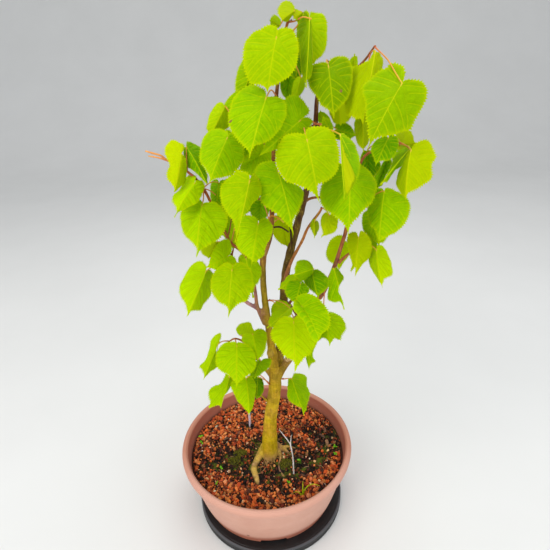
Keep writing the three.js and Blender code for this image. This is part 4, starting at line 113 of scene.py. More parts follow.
# shoots: (node, point on the branch's axis, bud, leaves); a leaf is (name, stalk's way
# points, base, tip, two widest points, upper face, tint, yellow, outline as (across,
# along) or None for the plain heart, the point its rings close on)
# a leaf's tint mixes its blade's own tone with painted light and shade: low for shaded blades, high for lit ones
SHOOTS = [
    ("leaf_top_front", [30.8,-3.5,551.9], [30.1,-6.5,553.9], [
        ("a4", [[27,-26,571.7]], [26.2,-36,565.2], [17.3,-54.1,523.1], [-2,-33.2,554.3], [45.8,-36.9,559.3], [-0.119,-0.902,0.415], 1.0, 0, [(0, 0), (-0.099, -0.105), (-0.249, -0.214), (-0.399, -0.269), (-0.53, -0.213), (-0.785, -0.175), (-0.923, -0.089), (-0.999, 0.025), (-1, 0.17), (-0.972, 0.329), (-0.894, 0.484), (-0.803, 0.633), (-0.702, 0.759), (-0.629, 0.838), (-0.463, 0.846), (-0.312, 0.88), (-0.149, 0.931), (0, 1), (0.101, 0.913), (0.311, 0.904), (0.5, 0.906), (0.678, 0.856), (0.84, 0.771), (0.976, 0.645), (1, 0.454), (0.948, 0.263), (0.799, 0.072), (0.53, -0.096), (0.316, -0.159), (0.128, -0.141), (0.044, -0.066)], (0, 0.3)),
    ]),
    ("leaf_top_tip", [39.2,-7,584.7], [40.1,-5.9,586.7], [
        ("a1", [], [42.7,-15.9,586.5], [31,-27.8,578], [24.7,-14.6,588.8], [40.2,-12.8,582.3], [0.488,-0.697,0.525], 1.0, 0, [(0, 0), (-0.226, -0.281), (-0.48, -0.566), (-0.697, -0.744), (-0.886, -0.83), (-1.002, -0.748), (-0.992, -0.457), (-0.881, -0.072), (-0.695, 0.346), (-0.51, 0.586), (-0.34, 0.743), (-0.16, 0.912), (0, 1), (0.834, 0.77), (0.997, 0.467), (0.737, 0.273), (0.391, 0.071)], (0, 0.3)),
        ("a2", [], [51.4,2.8,587.2], [42.3,-14.1,580.4], [43.6,-0.6,589.9], [45.9,-5,580.1], [0.471,-0.54,0.697], 0.95, 0, [(0, 0), (-0.365, 0.027), (-0.767, 0.145), (-1, 0.258), (-0.847, 0.663), (-0.512, 0.923), (0, 1), (1, 0.251), (0.809, -0.077), (0.33, -0.021)], (0, 0.3)),
        ("a3", [], [29.9,1.4,577], [20.5,-10.9,580.6], [24,0.3,587.2], [27,4.6,576.3], [0.821,-0.542,-0.178], 0.9, 0, [(0, 0), (-0.562, -0.444), (-0.945, -0.604), (-1.014, -0.392), (-0.865, 0.116), (-0.525, 0.582), (-0.253, 0.85), (0, 1), (0.439, 0.889), (0.974, 0.723), (1.001, 0.395), (0.634, 0.114)], (0, 0.3)),
    ]),
    ("leaf_top_back", [32.6,-4.5,560.8], [33.4,-1.6,561.1], [
        ("a5", [], [3.5,29.2,548.9], [-8.9,2.3,516.6], [-11.1,24.3,542.9], [6.2,31.7,534.9], [0.478,-0.754,0.45], 0.72, 0, [(0, 0), (-0.378, -0.174), (-0.785, -0.184), (-0.934, 0.06), (-0.998, 0.252), (-0.97, 0.429), (-0.866, 0.619), (-0.746, 0.771), (-0.48, 0.888), (0, 1), (0.447, 0.873), (0.705, 0.702), (0.827, 0.517), (0.99, 0.305), (0.984, 0.049), (0.546, -0.096), (0.146, -0.128)], (0, 0.3)),
        ("a11", [], [39.5,38.5,538], [37.9,62.2,512.5], [30,33.9,530.8], [47.4,33.6,528.5], [-0.104,-0.732,-0.673], 0.3, 0, None, (0, 0.3)),
        ("a10", [], [44.4,28.9,562.7], [45.9,9.5,529.5], [36.6,35.9,549], [54.7,35.1,550.3], [-0.072,-0.863,0.5], 0.5, 0, None, (0, 0.3)),
        ("a8", [], [59.5,28.6,586.4], [62.9,10.8,543.9], [55.9,34.3,575.9], [76.9,29.7,572.6], [-0.353,-0.88,0.319], 0.62, 0, [(0, 0), (0.138, -0.114), (0.325, -0.133), (0.692, -0.149), (0.853, -0.073), (0.975, 0.052), (1, 0.197), (0.957, 0.4), (0.813, 0.603), (0.584, 0.726), (0.31, 0.85), (0.114, 0.927), (0, 1), (-0.421, 0.841), (-0.687, 0.573), (-0.938, 0.238), (-0.962, -0.043), (-0.514, -0.136), (-0.125, -0.116)], (0, 0.3)),
        ("a9", [], [49.3,1.1,533.8], [42.6,-12.8,516], [41.7,4.6,527], [52.3,4.4,524.9], [0.102,-0.802,0.588], 0.85, 0, None, (0, 0.3)),
    ]),
    ("leaf_top_folded", [37.3,-6.3,579.5], [39.8,-7,579.6], [
        ("a7", [[43.5,-8,579.9],[50.5,-9,582.6],[57.4,-11,580.7]], [56.2,-10,581.6], [50.8,-39.9,525.6], [45.5,6.5,564.1], [59.8,-7.8,563.5], [0.025,-0.884,0.467], 0.95, 0, [(0, 0), (-0.217, -0.132), (-0.58, -0.162), (-0.856, -0.113), (-1, -0.004), (-0.965, 0.183), (-0.798, 0.375), (-0.631, 0.548), (-0.421, 0.711), (-0.211, 0.861), (0, 1), (0.494, 0.863), (0.993, 0.65), (0.783, 0.418), (0.497, 0.142), (0.206, -0.024)], (0, 0.3)),
    ]),
    ("leaf_left_large", [25.6,-0.8,518.8], [24.9,-4,519.6], [
        ("b1", [[20.3,-24,524.6]], [15.7,-46.2,518.8], [0,-82.6,472.8], [-18.9,-51.2,501.5], [32.6,-41.5,506.1], [0.097,-0.795,0.599], 1.0, 0, [(0, 0), (-0.098, -0.093), (-0.193, -0.178), (-0.322, -0.27), (-0.469, -0.335), (-0.617, -0.339), (-0.741, -0.288), (-0.836, -0.24), (-0.926, -0.182), (-0.982, -0.116), (-0.993, -0.021), (-1, 0.079), (-0.976, 0.183), (-0.931, 0.285), (-0.855, 0.387), (-0.729, 0.493), (-0.562, 0.6), (-0.4, 0.699), (-0.25, 0.777), (-0.115, 0.864), (-0.043, 0.941), (0, 1), (0, 0.918), (-0.002, 0.849), (0.059, 0.808), (0.205, 0.791), (0.353, 0.775), (0.535, 0.745), (0.672, 0.706), (0.796, 0.642), (0.909, 0.558), (0.982, 0.472), (1, 0.368), (0.963, 0.242), (0.86, 0.112), (0.742, 0.027), (0.584, -0.016), (0.361, -0.026), (0.151, -0.024), (0.052, -0.016)], (-0.1, 0.3)),
    ]),
    ("leaf_left_behind", [-15.2,10,486.9], [-15.4,11,489.1], [
        ("b2", [], [-5.7,36.8,516.7], [-22.3,24.1,488.6], [-29.8,32.1,508.9], [-6.1,29.7,503.4], [0.054,-0.922,0.384], 0.7, 0, [(0, 0), (-0.429, -0.28), (-0.681, -0.3), (-0.843, -0.206), (-0.945, -0.071), (-1, 0.088), (-0.989, 0.252), (-0.835, 0.438), (-0.562, 0.64), (-0.284, 0.831), (0, 1), (0.594, 0.813), (0.883, 0.552), (1, 0.251), (0.701, 0.043)], (0, 0.3)),
        ("b3", [], [-26.5,20.1,510.3], [-41.3,-10.9,483.3], [-40,14.2,507], [-21.9,25.6,496.7], [0.517,-0.607,0.604], 0.85, 0, [(0, 0), (-0.389, -0.072), (-0.711, -0.026), (-0.934, 0.105), (-1, 0.278), (-0.913, 0.445), (-0.791, 0.595), (-0.631, 0.759), (-0.43, 0.881), (0, 1), (0.442, 0.882), (0.79, 0.676), (1, 0.472), (0.894, 0.222), (0.424, 0.048)], (0, 0.3)),
    ]),
    ("leaf_left_mid", [-14.2,10,486.6], [-14.9,7.7,486.9], [
        ("b4", [[-18,-2,488.2]], [-21.6,-31,485], [-38.3,-63.5,449.3], [-53.3,-36.2,467.9], [-6.1,-29.1,468], [0.147,-0.772,0.618], 0.95, 0, [(0, 0), (-0.139, -0.15), (-0.336, -0.293), (-0.536, -0.382), (-0.741, -0.418), (-0.924, -0.419), (-0.998, -0.337), (-1.002, -0.208), (-0.915, -0.002), (-0.822, 0.184), (-0.71, 0.358), (-0.573, 0.471), (-0.375, 0.611), (-0.159, 0.765), (-0.044, 0.871), (0, 1), (0.095, 0.933), (0.22, 0.881), (0.352, 0.836), (0.559, 0.775), (0.739, 0.727), (0.809, 0.649), (0.906, 0.547), (0.964, 0.449), (1, 0.349), (0.907, 0.225), (0.784, 0.1), (0.593, -0.029), (0.379, -0.099), (0.143, -0.141), (0.016, -0.092)], (0, 0.3)),
    ]),
    ("leaf_left_inner", [3.7,7.9,480], [3.1,10.8,480.6], [
        ("b5", [], [-5.5,11.5,481.6], [-12.4,-13.7,460.9], [-17.4,11.7,471], [3.2,11.7,471.4], [-0.015,-0.633,0.774], 0.8, 0, None, (0, 0.3)),
        ("b6", [], [15.5,27,467.9], [-19.1,39.2,440.8], [-1.2,15.1,468], [11.4,21.8,444.7], [-0.085,-0.944,-0.317], 0.75, 0, None, (0, 0.3)),
    ]),
    ("leaf_far_left_upper", [-67.6,-4.3,450.7], [-67.3,-4.1,454.1], [
        ("c1", [], [-70.1,-9.1,469.3], [-75.4,-37.1,437.1], [-87.4,-11.1,465.7], [-65.5,-2,460.2], [0.469,-0.71,0.525], 0.9, 0.8, [(0, 0), (0.233, -0.109), (0.219, -0.198), (-0.054, -0.285), (-0.272, -0.271), (-0.437, -0.296), (-0.592, -0.294), (-0.794, -0.25), (-0.93, -0.157), (-1, -0.018), (-0.978, 0.101), (-0.828, 0.233), (-0.634, 0.352), (-0.559, 0.464), (-0.62, 0.572), (-0.625, 0.684), (-0.497, 0.779), (-0.288, 0.828), (-0.157, 0.917), (0, 1), (0.597, 0.972), (0.948, 0.84), (0.998, 0.644), (0.871, 0.434), (0.582, 0.209), (0.27, 0.085)], (-0.35, 0.15)),
        ("c2", [], [-67.8,7.9,473.3], [-45.4,-23.8,440.6], [-74.8,10.9,463.5], [-55,26.4,465.1], [0.123,-0.638,0.76], 0.45, 0, [(0, 0), (-0.284, 0.051), (-0.679, 0.209), (-0.998, 0.419), (-0.973, 0.557), (-0.717, 0.626), (-0.478, 0.723), (-0.319, 0.83), (-0.176, 0.92), (0, 1), (0.269, 0.951), (0.4, 0.854), (0.413, 0.716), (0.382, 0.59), (0.481, 0.466), (0.801, 0.311), (1.018, 0.153), (0.921, 0.023), (0.693, -0.057), (0.477, -0.115), (0.25, -0.112)], (0, 0.3)),
    ]),
    ("leaf_far_left_lower", [-51,-9.6,431.6], [-51.9,-12,434.2], [
        ("c3", [], [-58.1,-20.2,442], [-75,-53.4,416.8], [-82.1,-30,429.3], [-48.6,-16.4,435.4], [0.14,-0.628,0.766], 0.95, 0, [(0, 0), (-0.288, -0.241), (-0.634, -0.423), (-0.962, -0.556), (-1.009, -0.499), (-0.972, -0.339), (-0.892, -0.167), (-0.816, 0.001), (-0.868, 0.095), (-0.817, 0.234), (-0.71, 0.379), (-0.43, 0.569), (-0.154, 0.723), (-0.042, 0.833), (-0.031, 0.907), (0, 1), (0.116, 0.945), (0.146, 0.872), (0.371, 0.851), (0.491, 0.801), (0.651, 0.758), (0.889, 0.701), (0.991, 0.579), (1, 0.432), (0.929, 0.27), (0.782, 0.126), (0.412, -0.04), (0.151, -0.093), (0.021, -0.069)], (0.05, 0.3)),
        ("c4", [[-51.6,-16,425.6]], [-52.2,-24,421], [-56.4,-64.5,379.8], [-75.6,-28.6,404.9], [-29.4,-23.5,403.6], [0.07,-0.713,0.698], 1.0, 0, [(0, 0), (-0.083, -0.064), (-0.221, -0.114), (-0.42, -0.117), (-0.631, -0.081), (-0.821, -0.048), (-0.953, 0.006), (-1, 0.074), (-0.967, 0.212), (-0.914, 0.344), (-0.798, 0.458), (-0.644, 0.552), (-0.422, 0.648), (-0.211, 0.729), (-0.053, 0.802), (0.035, 0.863), (0.019, 0.938), (0, 1), (0.089, 0.96), (0.141, 0.9), (0.224, 0.847), (0.379, 0.779), (0.558, 0.725), (0.736, 0.659), (0.857, 0.585), (0.953, 0.471), (1, 0.347), (0.983, 0.223), (0.898, 0.101), (0.732, -0.016), (0.517, -0.081), (0.319, -0.082), (0.17, -0.051), (0.062, -0.016)], (0.3, 0.35)),
        ("c5", [], [-39.8,26,431.4], [-41.3,1.6,407.8], [-50.7,28.3,423.5], [-26,25.3,423.4], [-0.078,-0.691,0.719], 0.4, 0, None, (0, 0.3)),
        ("c6", [], [-38.2,25.3,409.1], [-34.6,4,372.7], [-48.6,29.7,391.9], [-27.5,30.5,391], [0.056,-0.859,0.509], 0.7, 0.3, None, (0, 0.3)),
    ]),
    ("leaf_low_left_upper", [-26.7,-20,362.9], [-28.6,-19.1,365.6], [
        ("h6", [], [-20.9,4.9,395], [-25.9,-14.6,365.4], [-31,9.3,381.3], [-15.6,10.5,380.4], [0.094,-0.839,0.537], 0.85, 0.2, None, (0, 0.3)),
        ("h3", [], [-30.2,-31.5,367.1], [-50,-57.1,366], [-35.6,-28.1,383.3], [-24.9,-36.6,355.2], [0.719,-0.531,0.448], 0.8, 0, [(0, 0), (-0.157, -0.179), (-0.455, -0.261), (-0.767, -0.21), (-0.953, -0.007), (-1, 0.274), (-0.928, 0.456), (-0.753, 0.629), (-0.555, 0.746), (-0.334, 0.818), (-0.133, 0.871), (0, 1), (0.206, 0.917), (0.484, 0.805), (0.752, 0.672), (1, 0.462), (0.989, 0.194), (0.756, -0.086), (0.4, -0.195), (0.09, -0.145)], (0, 0.3)),
        ("h4", [], [-46,13.7,367.8], [-53.7,-13.3,357.7], [-61.3,9.1,363.8], [-39.3,11.9,358.7], [0.286,-0.442,0.85], 0.5, 0, [(0, 0), (-0.421, -0.041), (-0.772, 0.136), (-1.001, 0.4), (-0.918, 0.558), (-0.501, 0.81), (0, 1), (0.501, 0.81), (0.918, 0.558), (1.001, 0.4), (0.772, 0.136), (0.421, -0.041)], (0, 0.3)),
    ]),
    ("leaf_centre_left", [18.6,-6,422.9], [17.2,-9.5,425.7], [
        ("g1", [[8.9,-30,444.9]], [-1.6,-61.8,451], [-15,-96.6,405.2], [-29.8,-67.1,435.5], [6.4,-58,435.5], [0.25,-0.779,0.575], 0.95, 0, [(0, 0), (-0.094, -0.09), (-0.237, -0.168), (-0.444, -0.221), (-0.592, -0.248), (-0.683, -0.18), (-0.846, -0.136), (-0.961, -0.067), (-1, 0.021), (-0.964, 0.138), (-0.902, 0.253), (-0.79, 0.368), (-0.656, 0.456), (-0.485, 0.545), (-0.315, 0.629), (-0.157, 0.74), (-0.062, 0.865), (0, 1), (0.016, 0.899), (-0.035, 0.778), (-0.05, 0.671), (-0.006, 0.61), (0.206, 0.578), (0.362, 0.516), (0.435, 0.441), (0.627, 0.36), (0.917, 0.279), (0.999, 0.184), (0.886, 0.078), (0.647, -0.024), (0.417, -0.096), (0.225, -0.134), (0.099, -0.084)], (-0.25, 0.35)),
    ]),
    ("leaf_centre", [19.9,-3.5,443.1], [20.5,-7.1,445.3], [
        ("g2", [[22.9,-20,454.1]], [24.1,-36.3,454.2], [36.8,-74.6,402.2], [5.4,-41.6,440.5], [51.5,-40.7,426], [0.156,-0.756,0.635], 1.0, 0, [(0, 0), (-0.011, -0.101), (-0.118, -0.162), (-0.279, -0.178), (-0.506, -0.166), (-0.703, -0.131), (-0.877, -0.079), (-0.976, 0.013), (-0.977, 0.106), (-0.934, 0.198), (-0.961, 0.298), (-0.999, 0.394), (-0.99, 0.49), (-0.896, 0.563), (-0.746, 0.607), (-0.594, 0.661), (-0.441, 0.714), (-0.315, 0.778), (-0.192, 0.849), (-0.088, 0.919), (0, 1), (-0.01, 0.905), (0.039, 0.801), (0.192, 0.7), (0.382, 0.579), (0.572, 0.444), (0.757, 0.3), (0.92, 0.161), (1.003, 0.045), (0.886, 0.031), (0.648, 0.065), (0.462, 0.094), (0.277, 0.144), (0.171, 0.101), (0.076, 0.045)], (-0.15, 0.3)),
    ]),
    ("leaf_centre_low", [12.3,-10,374.8], [10.9,-13.9,378.8], [
        ("g3", [[8,-28,399.9]], [3.9,-45.1,405.9], [-3.5,-77.1,373.8], [-17.9,-48.5,396.8], [16.6,-42.8,397.9], [0.094,-0.704,0.704], 0.95, 0, [(0, 0), (-0.153, -0.121), (-0.351, -0.193), (-0.587, -0.221), (-0.791, -0.226), (-0.958, -0.196), (-1, -0.104), (-0.912, 0.064), (-0.902, 0.224), (-0.93, 0.348), (-0.933, 0.468), (-0.823, 0.564), (-0.665, 0.659), (-0.441, 0.74), (-0.224, 0.806), (-0.045, 0.865), (0, 1), (0.06, 0.891), (0.324, 0.912), (0.559, 0.93), (0.7, 0.884), (0.79, 0.795), (0.772, 0.685), (0.823, 0.576), (0.944, 0.466), (0.975, 0.346), (1, 0.219), (0.904, 0.116), (0.719, -0.005), (0.547, -0.09), (0.331, -0.118), (0.111, -0.082)], (0, 0.3)),
    ]),
    ("leaf_centre_dark", [15.2,-9.5,387.3], [15.7,-5.6,389.3], [
        ("g5", [], [28.6,26.7,387.9], [34.7,21,354.4], [16.8,20.3,377.2], [40.6,16.8,376.4], [-0.14,-0.98,0.139], 0.3, 0, None, (0, 0.3)),
        ("g7", [], [5.1,45.2,406], [2.2,62.1,374.2], [-8.1,42,397.8], [15.3,39.9,397.6], [-0.083,-0.883,-0.462], 0.3, 0, None, (0, 0.3)),
    ]),
    ("leaf_low_left_far", [-26.7,-20,362.9], [-28.7,-21.6,362.3], [
        ("h1", [[-36.9,-28,359.6],[-47,-34,356.8]], [-52.6,-40.1,354.8], [-67.3,-88.2,328.7], [-79.9,-54.9,339.5], [-49.7,-39.8,330.5], [0.503,-0.523,0.688], 0.95, 0, [(0, 0), (-0.122, -0.118), (-0.287, -0.27), (-0.477, -0.392), (-0.655, -0.461), (-0.772, -0.438), (-0.867, -0.384), (-0.911, -0.288), (-0.931, -0.161), (-0.978, -0.044), (-1, 0.081), (-0.969, 0.217), (-0.831, 0.374), (-0.6, 0.531), (-0.39, 0.653), (-0.219, 0.769), (-0.124, 0.884), (0, 1), (0.097, 0.961), (0.083, 0.908), (0.124, 0.857), (0.275, 0.818), (0.488, 0.779), (0.758, 0.717), (0.782, 0.66), (0.778, 0.593), (0.883, 0.506), (1, 0.383), (0.952, 0.263), (0.853, 0.139), (0.734, -0.014), (0.582, -0.1), (0.371, -0.116), (0.157, -0.071)], (-0.2, 0.3)),
    ]),
    ("leaf_low_left", [-26.9,-22,349.2], [-26.6,-24.8,350.8], [
        ("h2", [[-25.3,-36,358.1]], [-23,-62.8,365.7], [-25.9,-103.2,334.4], [-43.6,-69.3,353.3], [-3,-65.3,354.4], [0.045,-0.596,0.801], 1.0, 0, [(0, 0), (-0.088, -0.117), (-0.258, -0.183), (-0.445, -0.203), (-0.621, -0.175), (-0.792, -0.123), (-0.919, -0.067), (-0.987, 0.022), (-1, 0.144), (-0.982, 0.287), (-0.921, 0.404), (-0.789, 0.513), (-0.614, 0.611), (-0.396, 0.698), (-0.207, 0.736), (-0.076, 0.786), (-0.001, 0.854), (0.032, 0.926), (0, 1), (0.103, 0.945), (0.161, 0.875), (0.238, 0.817), (0.35, 0.755), (0.52, 0.722), (0.693, 0.703), (0.819, 0.653), (0.895, 0.551), (0.972, 0.444), (1, 0.312), (0.958, 0.173), (0.868, 0.026), (0.714, -0.068), (0.517, -0.136), (0.327, -0.158), (0.147, -0.133), (0.038, -0.06)], (0.3, 0.5)),
    ]),
    ("leaf_inner_left", [-6.2,-13.1,333], [-6.8,-16.6,336], [
        ("h5", [], [-11.4,-27.1,362.4], [-4,-61.5,333.1], [-17.7,-29.7,350.4], [3.2,-25.8,346.5], [0.029,-0.514,0.857], 0.7, 0, [(0, 0), (0.316, -0.159), (0.7, -0.14), (0.993, -0.021), (1, 0.214), (0.827, 0.436), (0.545, 0.609), (0.227, 0.733), (0.095, 0.866), (0, 1), (-0.237, 0.862), (-0.505, 0.664), (-0.81, 0.411), (-0.98, 0.134), (-1, -0.089), (-0.554, -0.17)], (0, 0.3)),
    ]),
    ("leaf_centre_right_large", [52.2,-11.7,485.3], [51.9,-13.9,485.9], [
        ("d1", [[48.8,-42,492.7]], [49.9,-62.3,484.8], [57.7,-96,437.7], [22.3,-62.1,469.6], [78,-68.1,470.4], [-0.101,-0.816,0.569], 1.0, 0, [(0, 0), (-0.016, -0.055), (-0.084, -0.093), (-0.22, -0.117), (-0.361, -0.136), (-0.51, -0.132), (-0.641, -0.095), (-0.765, -0.036), (-0.888, 0.054), (-0.969, 0.156), (-1, 0.26), (-0.99, 0.364), (-0.961, 0.458), (-0.901, 0.544), (-0.811, 0.622), (-0.682, 0.667), (-0.55, 0.699), (-0.423, 0.743), (-0.319, 0.765), (-0.22, 0.799), (-0.146, 0.849), (-0.093, 0.908), (0, 1), (0.012, 0.912), (-0.001, 0.834), (0.001, 0.769), (0.06, 0.721), (0.204, 0.702), (0.382, 0.666), (0.572, 0.605), (0.699, 0.542), (0.81, 0.463), (0.882, 0.385), (0.944, 0.286), (0.991, 0.183), (1, 0.076), (0.991, -0.03), (0.957, -0.132), (0.878, -0.2), (0.715, -0.253), (0.522, -0.259), (0.336, -0.235), (0.183, -0.174), (0.077, -0.093)], (-0.15, 0.3)),
    ]),
    ("leaf_centre_upper", [60.9,1.1,490.3], [63.4,0.7,491.9], [
        ("d2", [], [46.2,-28.4,498.1], [7.8,-58.4,471.6], [28,-27,513], [43.4,-35.4,483.3], [0.403,-0.823,0.4], 0.85, 0, [(0, 0), (-0.023, -0.079), (-0.005, -0.176), (-0.071, -0.255), (-0.194, -0.272), (-0.414, -0.244), (-0.652, -0.206), (-0.817, -0.161), (-0.939, -0.075), (-1, 0.019), (-0.999, 0.109), (-0.963, 0.234), (-0.802, 0.366), (-0.586, 0.505), (-0.423, 0.665), (-0.263, 0.815), (-0.135, 0.929), (0, 1), (0.144, 0.921), (0.282, 0.816), (0.454, 0.711), (0.654, 0.579), (0.854, 0.409), (1, 0.213), (0.999, 0.015), (0.911, -0.117), (0.826, -0.219), (0.588, -0.226), (0.284, -0.176), (0.086, -0.098)], (-0.15, 0.25)),
        ("d5", [], [76.8,28.5,484.2], [68.7,10.1,504.6], [69.4,26.5,491.9], [81.6,27.7,492.3], [0.001,-0.78,-0.625], 0.6, 0, [(0, 0), (-0.827, 0.008), (-0.996, 0.294), (-0.782, 0.611), (-0.4, 0.834), (0, 1), (0.331, 0.862), (0.759, 0.633), (1, 0.333), (0.93, 0.067), (0.562, -0.086)], (0, 0.3)),
        ("d6", [], [87,15.4,484.7], [104.4,-7.1,480.1], [94,10.3,491.6], [88.7,9.4,475.4], [-0.732,-0.622,0.278], 0.7, 0, None, (0, 0.3)),
        ("d4", [], [75.9,-10.7,486.6], [67.2,-23.7,502.3], [69.7,-13.6,488.6], [77.7,-14.3,492.5], [0.208,-0.806,-0.555], 1.0, 0, None, (0, 0.3)),
    ]),
    ("leaf_right_folded", [67.4,6,489.9], [67.9,3.2,489.8], [
        ("d3", [[69.4,-20,488.7],[72.3,-48,490.9]], [75.3,-82.8,490.8], [74.1,-127.7,447.9], [82.9,-111.1,464.1], [88.9,-93.4,474.1], [-0.34,-0.659,0.671], 0.95, 0, [(0, 0), (-0.022, 0.041), (-0.093, 0.125), (-0.204, 0.204), (-0.346, 0.247), (-0.521, 0.255), (-0.734, 0.234), (-0.913, 0.217), (-1, 0.251), (-0.909, 0.364), (-0.716, 0.507), (-0.558, 0.633), (-0.366, 0.771), (0, 1), (0.217, 0.933), (0.351, 0.836), (0.555, 0.753), (0.746, 0.666), (0.847, 0.58), (0.978, 0.39), (1, 0.252), (0.939, 0.119), (0.768, 0.017), (0.514, -0.013), (0.228, -0.051)], (0, 0.5)),
    ]),
    ("leaf_far_right_large", [117.7,2,558.4], [117.8,-0.3,557.7], [
        ("e1", [[118.4,-14,553.8],[121.6,-36,545.5],[124.7,-50,535.9]], [128.6,-60,527], [97.2,-83,477.6], [98.1,-44.5,520.8], [146.9,-62.3,508.2], [-0.151,-0.856,0.495], 1.0, 0, [(0, 0), (-0.039, -0.062), (-0.16, -0.176), (-0.257, -0.252), (-0.356, -0.267), (-0.494, -0.284), (-0.604, -0.272), (-0.634, -0.226), (-0.703, -0.172), (-0.773, -0.149), (-0.837, -0.105), (-0.895, -0.04), (-0.944, 0.036), (-0.982, 0.121), (-1.001, 0.193), (-0.825, 0.316), (-0.682, 0.401), (-0.588, 0.501), (-0.467, 0.594), (-0.367, 0.656), (-0.227, 0.718), (-0.205, 0.764), (-0.105, 0.835), (-0.024, 0.905), (0, 1), (0.084, 0.969), (0.076, 0.909), (0.073, 0.852), (0.179, 0.803), (0.341, 0.772), (0.473, 0.744), (0.611, 0.717), (0.72, 0.668), (0.849, 0.632), (0.99, 0.604), (0.993, 0.48), (0.989, 0.358), (1, 0.254), (0.93, 0.115), (0.819, 0.002), (0.614, -0.078), (0.418, -0.104), (0.182, -0.078), (0.046, -0.043)], (-0.1, 0.3)),
    ]),
    ("leaf_upper_right_folded", [114,3.3,553.3], [113.7,1.1,552.2], [
        ("e2", [], [114.8,-15.5,553.6], [99.4,-53.7,494.8], [88.8,-13.3,514.3], [122.9,-12.4,540.1], [-0.11,-0.798,0.593], 0.9, 0.6, [(0, 0), (-0.112, -0.046), (-0.154, -0.02), (-0.16, 0.063), (-0.309, 0.029), (-0.545, -0.036), (-0.769, -0.145), (-0.967, -0.174), (-1, -0.075), (-0.983, 0.055), (-0.971, 0.196), (-0.887, 0.364), (-0.811, 0.5), (-0.723, 0.607), (-0.468, 0.736), (-0.234, 0.867), (0, 1), (0.228, 0.927), (0.328, 0.823), (0.362, 0.701), (0.413, 0.586), (0.665, 0.462), (0.961, 0.351), (1, 0.241), (0.808, 0.137), (0.419, 0.049)], (0, 0.35)),
        ("e5", [], [107.3,-7.2,501.4], [105.9,-30.4,468.3], [100.9,-4.1,487.2], [116.8,-3.2,487.3], [-0.098,-0.797,0.596], 0.9, 0.8, [(0, 0), (-0.262, -0.138), (-0.571, -0.084), (-0.789, 0.08), (-0.935, 0.255), (-1, 0.409), (-0.829, 0.598), (-0.39, 0.814), (0, 1), (0.331, 0.829), (0.758, 0.625), (0.966, 0.325), (0.999, 0.019), (0.706, -0.159), (0.366, -0.152)], (0, 0.3)),
    ]),
    ("leaf_upper_right", [83.5,9.6,541.2], [84.4,9.2,537.6], [
        ("e3", [], [103.4,25.2,534.2], [100.3,6.7,552.9], [99.2,29,542.8], [107.3,26,542.5], [-0.076,-0.65,-0.756], 0.9, 0, [(0, 0), (-0.842, -0.012), (-1, 0.29), (-0.746, 0.62), (-0.366, 0.855), (0, 1), (0.551, 0.82), (0.749, 0.597), (0.999, 0.237), (0.959, -0.109)], (0, 0.3)),
        ("ey", [], [86.5,12.4,520.2], [87.2,-9,489.4], [79.3,14.5,501.8], [99.5,9.1,503.4], [-0.257,-0.797,0.546], 0.9, 0.9, None, (0, 0.3)),
        ("e4", [[72.5,-8,548.1]], [72.5,-20,542.4], [74.8,-47.8,498.8], [54.7,-20.4,528.7], [94.5,-21,534.1], [-0.111,-0.838,0.535], 0.8, 0, [(0, 0), (-0.08, -0.054), (-0.233, -0.103), (-0.563, -0.117), (-0.861, -0.084), (-0.977, 0.042), (-1, 0.215), (-0.915, 0.37), (-0.754, 0.495), (-0.613, 0.593), (-0.546, 0.697), (-0.333, 0.774), (-0.124, 0.856), (0, 1), (0.135, 0.873), (0.348, 0.786), (0.585, 0.695), (0.793, 0.56), (0.941, 0.335), (1, 0.126), (0.931, -0.022), (0.779, -0.122), (0.592, -0.175), (0.418, -0.188), (0.232, -0.149), (0.099, -0.089)], (0, 0.3)),
    ]),
    ("leaf_right_upper_small", [133.1,-34.6,475.4], [134.6,-35.8,477.6], [
        ("f1", [], [123,-51.2,482.9], [109.7,-65.5,460.9], [108.3,-50,474.5], [131,-55.3,473.9], [-0.157,-0.773,0.614], 0.9, 0, [(0, 0), (-0.299, -0.12), (-0.654, -0.085), (-0.906, -0.05), (-0.999, 0.086), (-0.951, 0.275), (-0.717, 0.479), (-0.339, 0.714), (0, 1), (0.069, 0.867), (0.29, 0.779), (0.634, 0.73), (0.859, 0.64), (0.952, 0.497), (1, 0.307), (0.931, 0.114), (0.731, -0.049), (0.48, -0.139), (0.21, -0.168), (0.037, -0.125)], (0, 0.3)),
        ("f2", [], [148.4,-0.6,470], [155.4,-31,474.5], [158.4,12.1,483], [157.2,-9.1,460.2], [-0.95,-0.309,0.045], 0.85, 0.7, [(0, 0), (-0.322, -0.329), (-0.656, -0.578), (-0.933, -0.484), (-1.001, -0.148), (-0.944, 0.336), (-0.78, 0.584), (-0.432, 0.796), (0, 1), (0.432, 0.796), (0.78, 0.584), (0.944, 0.336), (1.001, -0.148), (0.933, -0.484), (0.656, -0.578), (0.322, -0.329)], (0, 0.3)),
        ("f4", [], [144.4,-46,472], [113,-74.2,446.7], [125.5,-33.3,452.9], [138.6,-49,459.6], [0.084,-0.705,0.704], 0.8, 0, [(0, 0), (-0.387, -0.277), (-0.828, -0.458), (-1.01, -0.439), (-0.94, -0.253), (-0.809, -0.041), (-0.512, 0.28), (-0.233, 0.53), (-0.135, 0.691), (-0.049, 0.835), (-0.04, 0.929), (0, 1), (0.542, 0.866), (0.903, 0.736), (0.807, 0.577), (0.736, 0.511), (0.994, 0.358), (0.963, 0.205), (0.533, 0.123)], (0.05, 0.3)),
    ]),
    ("leaf_far_right_folded", [137.4,-36,474.5], [137.4,-38.4,475.1], [
